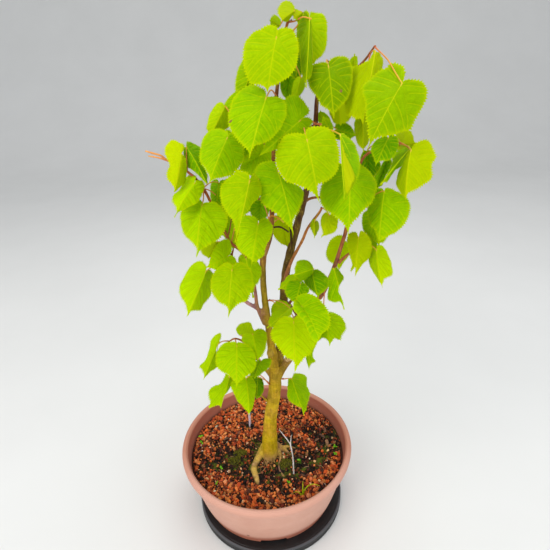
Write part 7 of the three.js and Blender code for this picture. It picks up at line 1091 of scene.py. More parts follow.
    def margin(self, count):
        """Closed outline, count points from the notch past the tip and back: with its saw teeth, and plain."""
        n = count // 2
        turn = self.loop[:, 0] @ np.roll(self.loop[:, 1], -1) - self.loop[:, 1] @ np.roll(self.loop[:, 0], -1)
        toothed, plain = [], []
        for half, ahead in zip(self.halves, (1, -1)):
            d = np.concatenate([[0], np.cumsum(np.linalg.norm(np.diff(half, axis=0), axis=1))])
            s = np.linspace(0, d[-1], n + 1)
            pts = np.stack([np.interp(s, d, half[:, 0]), np.interp(s, d, half[:, 1])], 1)
            tan = unit(np.gradient(pts, axis=0))
            outn = np.stack([tan[:, 1], -tan[:, 0]], 1) * (1 if turn > 0 else -1)
            step = min(d[-1] / n, 1.2)
            j = np.arange(n + 1)
            rough = self.rng.uniform(0.6, 1.25, n + 1)
            near = j if ahead > 0 else n - j          # counted from the notch
            env = np.clip((near - 2) / 4, 0, 1) * np.clip((n - 4 - near) / 4, 0, 1)
            t = np.where(j % 2 == 1, 1.1, -0.5) * step * rough * env
            q = pts + outn * t[:, None] + tan * ahead * (np.where(j % 2 == 1, 0.5, 0.0) * step * env)[:, None]
            toothed.append(self.unflat(q))
            plain.append(self.unflat(pts))
        return np.vstack([toothed[0], toothed[1][1:-1]]), np.vstack([plain[0], plain[1][1:-1]])


# blades whose colour differs from their neighbours': tint and yellow
# a leaf's tint class mixes its own tone with painted light and shade, from old (darkest, most shaded) to fresh
# (brightest, most lit), and its yellowing; leaves not named keep the tint of their row
TONE_AND_SHADE_TINT = {"old": 0.5, "mature": 0.78, "grown": 0.97, "young": 1.15, "fresh": 1.3}
TONE_AND_SHADE_CLASSES = {
    "old": "a10 e4 f6 k9",
    "mature": "a1 a5 a7 a11 c2 c5 d3 d6 e1 e5 f1 f5 g7 h4 j3 j4",
    "grown": "a2 a4 a8 b1 b2 b4 d1 d2 d4 d5 e2 f3 f4 f8 f9 f10 g1 g2 g5 h2 j1 j6 j8 k3 k6 l2 l4",
    "young": "b3 b6 c4 g3 h5 i1 i3 j10 k2 k5 k7 k8",
    "fresh": "a3 a9 c1 c3 c6 e3 ey f2 h1 h3 h6 i2 i4 i5 i6 j2 j9 k1 l3 l5",
}
YELLOWING = {0.3: "a4 a5 a7 a8 b3 d1 e1 e4 g1 h2 i5 i6 j9 k3", 0.7: "a1 a2 c1 e2 e5 ey f2 f3 g5 h4 i1 i2 i3"}
YELLOW_OF = {name: amount for amount, names in YELLOWING.items() for name in names.split()}
LIT = {name: (TONE_AND_SHADE_TINT[shade_class], YELLOW_OF.get(name, 0.0)) for shade_class, names in TONE_AND_SHADE_CLASSES.items() for name in names.split()}
CLOSED = {"a4": (0.45, 3.0), "d1": (0.45, 2.4), "c3": (0.4, 2.4)}
FOLDED = {"d3"}          # blades folded along the midrib, their under side turned up on the left


def add_leaf(shell, leaf):
    big = leaf.L > 24
    n_out = 160 if leaf.L > 40 else (124 if big else 72)
    n_in = n_out // 2
    edge, smooth_edge = leaf.margin(n_out)
    k = np.arange(n_out)
    inner = [0.10, 0.21, 0.32, 0.43, 0.54, 0.65, 0.75, 0.86] if big else [0.2, 0.45, 0.7, 0.86]
    centre = leaf.flat(leaf.mid)

    def ring(points, s):
        return leaf.unflat(centre + (leaf.flat(points) - centre) * s)

    ab = [leaf.mid[None]]
    for s in inner:
        ab.append(ring(smooth_edge[::2], s))
    ab.append(ring(smooth_edge, 0.95))
    ab.append(edge)
    margin_val = np.concatenate([[0], np.repeat([0.0] * len(inner), n_in), np.full(n_out, 0.35), np.full(n_out, 1.0)])
    ab = np.vstack(ab)
    m = len(ab)
    tri, quad = [], []
    j = np.arange(n_in)
    tri.append(np.stack([np.zeros(n_in, int), 1 + j, 1 + (j + 1) % n_in], 1))
    for i in range(len(inner) - 1):
        a = 1 + i * n_in
        quad.append(np.stack([a + j, a + n_in + j, a + n_in + (j + 1) % n_in, a + (j + 1) % n_in], 1))
    a = 1 + (len(inner) - 1) * n_in
    o = 1 + len(inner) * n_in
    j2 = 2 * j
    tri.append(np.stack([a + j, o + j2, o + j2 + 1], 1))
    tri.append(np.stack([a + j, o + j2 + 1, a + (j + 1) % n_in], 1))
    tri.append(np.stack([a + (j + 1) % n_in, o + j2 + 1, o + (j2 + 2) % n_out], 1))
    e = o + n_out
    quad.append(np.stack([o + k, e + k, e + (k + 1) % n_out, o + (k + 1) % n_out], 1))
    tri, quad = np.vstack(tri), np.vstack(quad)
    half = np.full(m, 0.2)
    half[e:] = 0.12
    top = leaf.point(ab[:, 0], ab[:, 1], half)
    bot = leaf.point(ab[:, 0], ab[:, 1], -half)
    # the winding that makes the upper faces look along the leaf's up
    q = tri[:n_in]
    nn = np.cross(top[q[:, 1]] - top[q[:, 0]], top[q[:, 2]] - top[q[:, 0]]).sum(0)
    keep = nn @ leaf.normal(np.array([0.0]), np.array([0.3]))[0] > 0
    f_top = [tri, quad] if keep else [tri[:, ::-1], quad[:, ::-1]]
    f_bot = [x[:, ::-1] + m for x in f_top]
    rim = np.stack([e + k, e + m + k, e + m + (k + 1) % n_out, e + (k + 1) % n_out], 1)
    if not keep:
        rim = rim[:, ::-1]
    dv = leaf.vein_distance(ab[:, 0], ab[:, 1])
    vein = np.exp(-dv / 1.1)
    n2 = len(ab)
    flat = leaf.flat(ab)
    yellow = np.full(n2, leaf.yellow)
    turned = np.zeros(n2)
    if leaf.name in FOLDED:
        turned = np.clip(-ab[:, 0] * 6, 0, 1)
        yellow = np.maximum(yellow, turned * 1.25)
    lf1 = np.stack([np.maximum(leaf.tint, turned * 1.3), yellow, vein], 1)
    lf2 = np.stack([flat[:, 0] * 0.1, flat[:, 1] * 0.1, np.full(n2, leaf.number * 3.7)], 1)
    up = np.concatenate([turned, np.ones(n2)])
    lf3 = np.stack([up, np.tile(margin_val, 2), np.zeros(2 * n2)], 1)
    num, gap = leaf.strips(ab)
    lf4 = np.stack([num, gap * 0.1, np.zeros(n2)], 1)
    shell.add(np.vstack([top, bot]), f_top + f_bot + [rim], 0, lf1=np.vstack([lf1, lf1]), lf2=np.vstack([lf2, lf2]), lf3=lf3, lf4=np.vstack([lf4, lf4]))
    # veins stand proud of both faces
    scale = min(1.15, leaf.L / 52)
    for kind, q, w in leaf.veins:
        if leaf.L < 20 and kind in ("side", "low"):
            continue
        path = catmull(q, 3) if kind == "mid" else (catmull(q, 2) if kind == "base" else q)
        n = leaf.normal(path[:, 0], path[:, 1])
        c = leaf.point(path[:, 0], path[:, 1])
        t = unit(np.gradient(c, axis=0))
        side = unit(np.cross(t, n))
        taper = np.linspace(1.0, 0.45, len(path))
        ww = (w * scale * taper * 0.5)[:, None]
        hh = (0.2 + w * scale * 0.26 * taper)[:, None]
        rows = np.stack([c + n * hh, c + side * ww, c - n * (hh + 0.05), c - side * ww], 1).reshape(-1, 3)
        r = len(path)
        f = [grid_faces(r, 4), np.array([[3, 2, 1, 0]]), np.array([[4 * r - 4, 4 * r - 3, 4 * r - 2, 4 * r - 1]])]
        shell.add(rows, f, 1, lf1=(leaf.tint, leaf.yellow, 1.0), lf2=(leaf.number, 0, 0))


def stalk_path(bud, leaf):
    a, b = np.array(bud, float), leaf.B
    if leaf.via:
        rows = catmull(np.vstack([a, np.array(leaf.via, float), b]), 5)
    else:
        d = b - a
        ctl = a + 0.55 * d + [0, 0, 0.18 * np.linalg.norm(d)]
        t = np.linspace(0, 1, 9)[:, None]
        rows = (1 - t) ** 2 * a + 2 * t * (1 - t) * ctl + t * t * b
    end = leaf.point(np.array([0.0]), np.array([0.055]))[0] - leaf.normal(np.array([0.0]), np.array([0.055]))[0] * 0.1
    return np.vstack([rows, end])


def add_bud(shell, root, bud, rng, size=1.0):
    """A small pointed bud on its cushion, and the short foot that joins it to the branch."""
    root, bud = np.array(root, float), np.array(bud, float)
    out = unit(bud - root)
    foot = np.vstack([np.append(root, 1.7 * size), np.append(root + (bud - root) * 0.55, 1.45 * size), np.append(bud, 1.15 * size)])
    p, f, along = tube(foot, 8)
    shell.add(p, f, 2, lf1=np.stack([np.zeros(len(p)), np.full(len(p), 0.75), np.zeros(len(p))], 1))
    axis = unit(out * 0.5 + np.array([rng.uniform(-0.3, 0.3), rng.uniform(-0.3, 0.1), 0.8]))
    prof = [(0.0, 0.55), (0.7, 1.25), (1.7, 1.35), (2.8, 0.95), (3.7, 0.35)]
    rows = np.array([np.append(bud + axis * (h - 0.6) * size, r * size) for h, r in prof])
    p, f, along = tube(rows, 8)
    shell.add(p, f, 2, lf1=np.stack([along * 0.0, np.full(len(p), 1.0), np.zeros(len(p))], 1))


def add_stalk(shell, bud, leaf):
    rows = stalk_path(bud, leaf)
    n = len(rows)
    t = np.linspace(0, 1, n)
    rad = 0.62 + 0.32 * np.exp(-t * 9) + 0.16 * np.exp(-(1 - t) * 9)
    rad = rad * (0.75 + 0.25 * min(1.0, leaf.L / 50))
    rad[-1] = 0.3
    p, f, along = tube(np.column_stack([rows, rad]), 7)
    shell.add(p, f, 2, lf1=np.stack([along, np.zeros(len(p)), np.full(len(p), leaf.number)], 1))


SPOTS = {"b1": (-0.875, 0.283, 1.25), "e4": (0.4, 0.53, 1.3)}      # brown flecks: across, along, radius


def add_spot(shell, leaf, rng):
    a0, b0, r = SPOTS[leaf.name]
    k = 14
    ang = 2 * np.pi * np.arange(k) / k
    rr = r * (0.75 + 0.45 * rng.random(k))
    a = a0 + np.cos(ang) * rr / leaf.W
    b = b0 + np.sin(ang) * rr * 1.3 / leaf.L
    a, b = np.append(a, a0), np.append(b, b0)
    top, low = leaf.point(a, b, 0.27), leaf.point(a, b, 0.05)
    j = np.arange(k)
    nrm = leaf.normal(np.array([a0]), np.array([b0]))[0]
    f = np.stack([np.full(k, k), j, (j + 1) % k], 1)
    good = np.cross(top[0] - top[k], top[1] - top[k]) @ nrm > 0
    rim = np.stack([j, j + k + 1, (j + 1) % k + k + 1, (j + 1) % k], 1)
    faces = [f, f[:, ::-1] + k + 1, rim] if good else [f[:, ::-1], f + k + 1, rim[:, ::-1]]
    shell.add(np.vstack([top, low]), faces, 3, lf1=(0, 0, 0))


def build_shoots():
    mats = [leaf_material(), vein_material(), petiole_material(), spot_material()]
    number = 0
    for node, root, bud, leaves in SHOOTS:
        shell = Shell(("lf1", "lf2", "lf3", "lf4"))
        rng = np.random.default_rng(4000 + number)
        add_bud(shell, root, bud, rng, 0.62 + 0.1 * min(3, len(leaves)) * 0.5)
        for row in leaves:
            number += 1
            leaf = Leaf(row, number)
            add_leaf(shell, leaf)
            add_stalk(shell, bud, leaf)
            if leaf.name in SPOTS:
                add_spot(shell, leaf, rng)
        ob = shell.mesh(node.replace("leaf_", "shoot_"), mats, sharp=50)
        placed(ob, node)


# ------------------------------------------------------------------ wood
def tone_of(name, z, t):
    """Bark colour (display) and algae share by stem and height."""
    if name == "left_stem":
        keys = [(40, (168, 140, 56), 0.4), (74, (198, 166, 20), 0.7), (100, (200, 164, 22), 0.6), (150, (226, 186, 42), 0.4), (200, (204, 164, 28), 0.35), (260, (172, 138, 24), 0.35),
                (335, (152, 124, 34), 0.4), (360, (164, 104, 58), 0.1), (430, (152, 92, 50), 0.05), (520, (128, 74, 40), 0.0), (600, (154, 88, 48), 0.0)]
    elif name == "right_stem":
        keys = [(180, (178, 142, 34), 0.4), (215, (128, 98, 34), 0.35), (250, (96, 72, 34), 0.3), (330, (84, 62, 32), 0.28), (400, (92, 62, 32), 0.15), (480, (96, 56, 30), 0.0), (560, (116, 66, 36), 0.0)]
    elif name in ("reddish", "red_sub", "red_sub2"):
        keys = [(230, (138, 98, 52), 0.2), (275, (160, 104, 62), 0.05), (340, (176, 106, 66), 0.0), (400, (170, 96, 54), 0.0), (480, (150, 84, 46), 0.0)]
    elif name == "cross":
        keys = [(300, (150, 98, 56), 0.05), (350, (184, 116, 66), 0.0), (420, (166, 98, 52), 0.0)]
    elif name in ("left_branch", "left_tip2", "lb_stub", "lb_thin"):
        keys = [(260, (150, 108, 56), 0.15), (300, (184, 128, 82), 0.0), (380, (166, 90, 50), 0.0), (440, (160, 82, 48), 0.0), (458, (204, 112, 70), 0.0), (466, (222, 150, 84), 0.0)]
    elif name == "brown_left":
        keys = [(280, (160, 112, 60), 0.1), (300, (206, 160, 116), 0.0), (330, (184, 118, 74), 0.0), (370, (150, 84, 46), 0.0)]
    elif name in ("dark_thin", "dark_twig", "mid_twig"):
        keys = [(340, (64, 44, 28), 0.05), (500, (78, 46, 28), 0.0)]
    elif name in ("low_left", "low_stub"):
        keys = [(150, (190, 154, 36), 0.35), (200, (160, 118, 44), 0.2), (215, (150, 104, 58), 0.1), (260, (164, 100, 56), 0.0)]
    elif name in ("stub", "stub_small"):
        keys = [(180, (184, 148, 36), 0.4), (225, (146, 110, 50), 0.2)]
    elif name == "root_front":
        keys = [(60, (112, 80, 44), 0.0), (65, (184, 146, 76), 0.0), (70, (204, 168, 84), 0.03), (75, (196, 162, 52), 0.3)]
    elif name.startswith("root") or name.startswith("down"):
        keys = [(60, (118, 82, 46), 0.0), (66, (172, 132, 78), 0.0), (72, (182, 146, 62), 0.1)]
    else:
        keys = [(180, (128, 88, 48), 0.1), (420, (138, 82, 44), 0.0), (560, (132, 76, 42), 0.0)]
    zs = [k[0] for k in keys]
    col = np.stack([np.interp(z, zs, [k[1][c] for k in keys]) for c in range(3)], -1)
    return col, np.interp(z, zs, [k[2] for k in keys])


def linear(col):
    c = np.asarray(col, float) / 255
    return np.where(c <= 0.04045, c / 12.92, ((c + 0.055) / 1.055) ** 2.4)


FLAT_END = {"stub": True, "stub_small": True}
WHOLE_THICK = {"stub", "stub_small"}


def build_wood():
    thick, thin, marks = Shell(), [], []
    limit = 1.75
    for name, rows in {**BRANCHES, **ROOTS, **BURIED}.items():
        rows = resample(catmull(rows, 5), 2.2)
        seed = 31 + sum(ord(c) for c in name)
        nz = value_noise(np.column_stack([rows[:, :3] / 9.0]), seed) - 0.5
        rows[:, 3] *= 1 + 0.14 * nz
        marks.append((name, rows))
        big = rows[:, 3] >= limit
        if name.startswith("root") or name.startswith("down"):
            big[:] = rows[:, 3] >= 1.2
        if name in WHOLE_THICK:
            big[:] = True
        count = int(np.argmin(big)) if not big.all() else len(rows)
        if count >= 3:
            part = rows[:count].copy()
            part[:, 3] += 0.12
            sides = 20 if part[:, 3].max() > 6 else 12
            ph = seed * 0.7

            def wob(i, ang, part=part, ph=ph):
                z = part[i, 2]
                return 1 + 0.045 * np.sin(3 * ang + ph + z * 0.02) + 0.03 * np.sin(5 * ang - ph + z * 0.035)

            p, f, _ = tube(part, sides, wobble=wob)
            thick.add(p, f)
            if count < len(rows):
                thin.append((name, rows[max(0, count - 2):].copy(), False))
        else:
            thin.append((name, rows.copy(), True))
    # swellings at the healed scars
    for x, y, z, r in SCARS:
        ang = np.linspace(0, np.pi, 9)
        rows = np.array([[x, y, z - r * 1.25 * np.cos(t), max(0.2, r * np.sin(t))] for t in ang])
        p, f, _ = tube(rows, 12)
        thick.add(p, f)
    body = thick.mesh("trunk_tmp", [])
    mod = body.modifiers.new("r", "REMESH")
    mod.mode = "VOXEL"
    mod.voxel_size = 0.00085
    mod.adaptivity = 0.0
    sm = body.modifiers.new("s", "SMOOTH")
    sm.factor = 0.5
    sm.iterations = 5
    applied(body)
    me = body.data
    n = len(me.vertices)
    co = np.zeros(n * 3, np.float32)
    me.vertices.foreach_get("co", co)
    co = co.reshape(-1, 3).astype(float) / MM - OFFSET
    nr = np.zeros(n * 3, np.float32)
    me.vertex_normals.foreach_get("vector", nr)
    nr = nr.reshape(-1, 3).astype(float)

    tree = KDTree(sum(len(r) for _, r in marks))
    info = []
    for name, rows in marks:
        for i, q in enumerate(rows):
            tree.insert(Vector(q[:3]), len(info))
            info.append((name, q[3], i / (len(rows) - 1)))
    tree.balance()

    def dress(points):
        col = np.zeros((len(points), 3))
        fx = np.zeros((len(points), 3))
        near = [tree.find_n(Vector(p), 3) for p in points]
        names = [m[0] for m in marks]
        idx = np.array([[q[1] for q in row] for row in near])
        dst = np.array([[q[2] for q in row] for row in near])
        rad = np.array([i[1] for i in info])
        nm = np.array([names.index(i[0]) for i in info])
        wts = 1.0 / (np.maximum(dst - 0.85 * rad[idx], 0.02) + 0.25) ** 2
        wts /= wts.sum(1, keepdims=True)
        for j in range(3):
            ids = nm[idx[:, j]]
            for u in np.unique(ids):
                sel = ids == u
                c, al = tone_of(names[u], points[sel, 2], 0)
                w = wts[sel, j]
                col[sel] += linear(c) * w[:, None]
                fx[sel, 0] += al * w
        rmax = rad[idx[:, 0]]
        fx[:, 2] = np.clip(rmax / 4.0, 0.25, 1.0)
        return col, fx

    col, fx = dress(co)
    # tones run into each other where stems and roots join
    edge = np.zeros(len(me.edges) * 2, np.int32)
    me.edges.foreach_get("vertices", edge)
    edge = edge.reshape(-1, 2)
    deg = np.maximum(np.bincount(edge.ravel(), minlength=n), 1)[:, None]
    both = np.column_stack([col, fx[:, 0]])
    for _ in range(90):
        acc = np.stack([np.bincount(edge[:, 0], both[edge[:, 1], c], n) + np.bincount(edge[:, 1], both[edge[:, 0], c], n) for c in range(4)], 1)
        both = 0.35 * both + 0.65 * acc / deg
    col, fx[:, 0] = both[:, :3], both[:, 3]
    # bark in tan and brown patches, with fine rings
    def patch(scale, seed, low, high, share, tone):
        k = np.clip((value_noise(co / scale, seed) - low) / (high - low), 0, 1)[:, None] * share
        return col * (1 - k) + col * np.array(tone) * k

    col = patch([8.0, 8.0, 13.0], 41, 0.42, 0.72, 0.75, (0.86, 0.72, 1.7))
    col = patch([4.0, 4.0, 7.0], 43, 0.5, 0.75, 0.7, (0.52, 0.5, 0.7))
    col = patch([5.0, 5.0, 0.9], 47, 0.58, 0.8, 0.6, (0.6, 0.56, 0.6))
    col = patch([2.2, 2.2, 3.4], 53, 0.6, 0.85, 0.7, (1.35, 1.3, 2.0))
    # bark relief
    relief = (value_noise(co / [2.0, 2.0, 8.0], 5) - 0.5) * 0.75 + (value_noise(co / [1.1, 1.1, 2.6], 9) - 0.5) * 0.35
    size = np.clip(fx[:, 2], 0.25, 1)
    lump = (value_noise(co / 6.5, 17) - 0.5) * 1.1
    co2 = co + nr * (relief * 0.32 * size + lump * 0.5 * size ** 2)[:, None]
    me.vertices.foreach_set("co", ((co2 + OFFSET) * MM).astype(np.float32).ravel())
    # pale cut faces
    for name in ("stub", "stub_small"):
        rows = dict(marks)[name]
        end, d = rows[-1, :3], unit(rows[-1, :3] - rows[-3, :3])
        h = (co - end) @ d
        w = np.linalg.norm(co - end - np.outer(h, d), axis=1)
        fx[:, 1] = np.maximum(fx[:, 1], np.clip((h + 1.0) / 0.8, 0, 1) * (w < rows[-1, 3] * 1.5) * (np.abs(h) < 5))
    for x, y, z, r in SCARS:
        d = np.linalg.norm((co - [x, y, z]) / [1, 1, 1.25], axis=1)
        k = np.clip((r * 1.25 - d) / (r * 0.4), 0, 1)[:, None]
        col = col * (1 - k * 0.4) + np.array(rgb(176, 148, 96)) * k * 0.4
    # the wood is painted darker towards its foot, where it meets the soil
    k = (np.clip((70.5 - co[:, 2]) / 4.0, 0, 1) * 0.55)[:, None]
    col = col * (1 - k) + np.array(rgb(72, 50, 26)) * k
    bark = bark_material()
    thin_shell = Shell(("bk1", "bk2"))
    for name, rows, fresh in thin:
        if len(rows) < 2:
            continue
        r0 = rows[:, 3].copy()
        s = np.concatenate([[0], np.cumsum(np.linalg.norm(np.diff(rows[:, :3], axis=0), axis=1))])
        if fresh:
            rows[:, 3] = r0 * (1 + 0.55 * np.exp(-s / 2.6))
        # joints with a slight swelling every 14 to 20 mm
        rng = np.random.default_rng(sum(ord(c) for c in name))
        at = rng.uniform(8, 14)
        while at < s[-1] - 3:
            rows[:, 3] += 0.22 * np.exp(-((s - at) / 1.3) ** 2)
            at += rng.uniform(13, 20)
        fine = resample(rows, 1.5)
        p, f, along = tube(fine, 9 if fine[:, 3].max() > 1.2 else 7)
        c, al = tone_of(name, p[:, 2], along)
        nz = value_noise(p / [1.6, 1.6, 4.0], 3)
        p = p
        bk2 = np.stack([al, np.zeros(len(p)), np.full(len(p), 0.35)], 1)
        thin_shell.add(p, f, 0, bk1=linear(c) * (0.8 + 0.4 * nz[:, None]), bk2=bk2)
    # a bare leaf stalk left on the left stem, its end yellow
    bare = catmull([(13.5, -9.5, 398.5, 0.9), (16.6, -13.0, 403.6, 0.8), (23.4, -16.0, 402.4, 0.7), (29.8, -14.0, 396.4, 0.85)], 5)
    p, f, along = tube(bare, 8)
    tone = np.stack([np.interp(along, [0, 0.7, 1], [222, 214, 226]), np.interp(along, [0, 0.7, 1], [128, 150, 206]), np.interp(along, [0, 0.7, 1], [66, 50, 60])], 1)
    thin_shell.add(p, f, 0, bk1=linear(tone), bk2=(0, 0, 0))
    # fine roots that lie on the soil round the foot
    rng = np.random.default_rng(77)
    for i in range(26):
        a = rng.uniform(-2.9, 0.35) if i % 4 else rng.uniform(0.4, 3.2)
        r = rng.uniform(9, 15)
        q = np.array([3.6 + r * math.cos(a), -13 + r * math.sin(a)])
        rows = []
        L = rng.uniform(10, 26)
        w0 = rng.uniform(0.35, 0.8)
        steps = 8
        d = a
        for j in range(steps + 1):
            z = soil_top(q[0], q[1]) + 1.3 + 1.5 * math.exp(-j * 0.9) + 0.5 * math.sin(j * 1.7 + i)
            if j == steps:
                z -= 2.0
            rows.append([q[0], q[1], z, w0 * (1 - 0.6 * j / steps)])
            d += rng.uniform(-0.45, 0.45)
            q = q + np.array([math.cos(d), math.sin(d)]) * L / steps
        p, f, along = tube(catmull(rows, 3), 6)
        tone = np.array([(150, 108, 66), (182, 140, 92), (120, 84, 48)][i % 3], float)
        thin_shell.add(p, f, 0, bk1=linear(tone), bk2=(0.05, 0, 0))
    twigs = thin_shell.mesh("twigs_tmp", [bark])
    la = me.attributes.new("bk1", "FLOAT_VECTOR", "POINT")
    la.data.foreach_set("vector", col.astype(np.float32).ravel())
    la = me.attributes.new("bk2", "FLOAT_VECTOR", "POINT")
    la.data.foreach_set("vector", fx.astype(np.float32).ravel())
    me.materials.clear()
    me.materials.append(bark)
    me.polygons.foreach_set("use_smooth", np.ones(len(me.polygons), bool))
    body.name = "wood"
    bpy.ops.object.select_all(action="DESELECT")
    twigs.select_set(True)
    body.select_set(True)
    bpy.context.view_layer.objects.active = body
    bpy.ops.object.join()
    body.data.name = "wood"
    placed(body, "trunk_branches_roots")


# ------------------------------------------------------------------ soil
def soil_top(x, y):
    r = math.hypot(x, y) / 104
    wave = 0.9 * math.sin(x * 0.071 + 1.3) * math.cos(y * 0.063 - 0.4) + 0.5 * math.sin(x * 0.16 - y * 0.13)
    return 66 + 2.5 * max(0, 1 - r * r) + wave * max(0, 1 - r ** 6)


def soil_top_many(x, y):
    r = np.hypot(x, y) / 104
    wave = 0.9 * np.sin(x * 0.071 + 1.3) * np.cos(y * 0.063 - 0.4) + 0.5 * np.sin(x * 0.16 - y * 0.13)
    return 66 + 2.5 * np.maximum(0, 1 - r * r) + wave * np.maximum(0, 1 - r ** 6)


# dark patches of the soil, partly painted shade and partly darker, mossy ground: x, y, half width, half depth, strength
DARK = [(0, -34, 64, 33, 1.2), (8, -6, 42, 36, 1.15), (-52, -20, 28, 20, 1.0), (84, 10, 22, 28, 1.0), (-66, 6, 18, 12, 0.6), (54, -28, 28, 20, 1.0), (18, -66, 32, 12, 0.6), (-80, -32, 12, 16, 0.55), (62, 30, 18, 16, 0.6), (-30, 40, 20, 12, 0.5)]


def darkness(x, y):
    d = np.zeros_like(x)
    for cx, cy, rx, ry, s in DARK:
        q = ((x - cx) / rx) ** 2 + ((y - cy) / ry) ** 2
        d = np.maximum(d, s * np.clip(1.25 - q, 0, 1))
    n = value_noise(np.stack([x / 13.0, y / 13.0, np.zeros_like(x)], 1), 41)
    return np.clip(d * (0.6 + 0.9 * n) + 0.3 * np.clip((n - 0.6) * 4, 0, 1), 0, 1)


ICO_V = None


def icosahedron():
    t = (1 + 5 ** 0.5) / 2
    v = np.array([(-1, t, 0), (1, t, 0), (-1, -t, 0), (1, -t, 0), (0, -1, t), (0, 1, t), (0, -1, -t), (0, 1, -t), (t, 0, -1), (t, 0, 1), (-t, 0, -1), (-t, 0, 1)], float)
    v /= np.linalg.norm(v[0])
    f = np.array([(0, 11, 5), (0, 5, 1), (0, 1, 7), (0, 7, 10), (0, 10, 11), (1, 5, 9), (5, 11, 4), (11, 10, 2), (10, 7, 6), (7, 1, 8), (3, 9, 4), (3, 4, 2), (3, 2, 6), (3, 6, 8), (3, 8, 9), (4, 9, 5), (2, 4, 11), (6, 2, 10), (8, 6, 7), (9, 8, 1)])
    return v, f


def rotations(rng, n):
    q = unit(rng.normal(size=(n, 4)))
    w, x, y, z = q.T
    return np.stack([1 - 2 * (y * y + z * z), 2 * (x * y - z * w), 2 * (x * z + y * w),
                     2 * (x * y + z * w), 1 - 2 * (x * x + z * z), 2 * (y * z - x * w),
                     2 * (x * z - y * w), 2 * (y * z + x * w), 1 - 2 * (x * x + y * y)], 1).reshape(-1, 3, 3)


GRAIN_TONES = np.array([(210, 102, 44), (222, 126, 64), (188, 80, 32), (228, 146, 88), (232, 178, 128), (236, 212, 178), (130, 56, 28), (78, 38, 22), (30, 20, 15), (156, 100, 60)], float)
BRIGHT = np.array([0.23, 0.18, 0.16, 0.08, 0.03, 0.006, 0.13, 0.09, 0.075, 0.02])
DIM = np.array([0.03, 0.03, 0.04, 0.02, 0.02, 0.008, 0.15, 0.27, 0.36, 0.08])


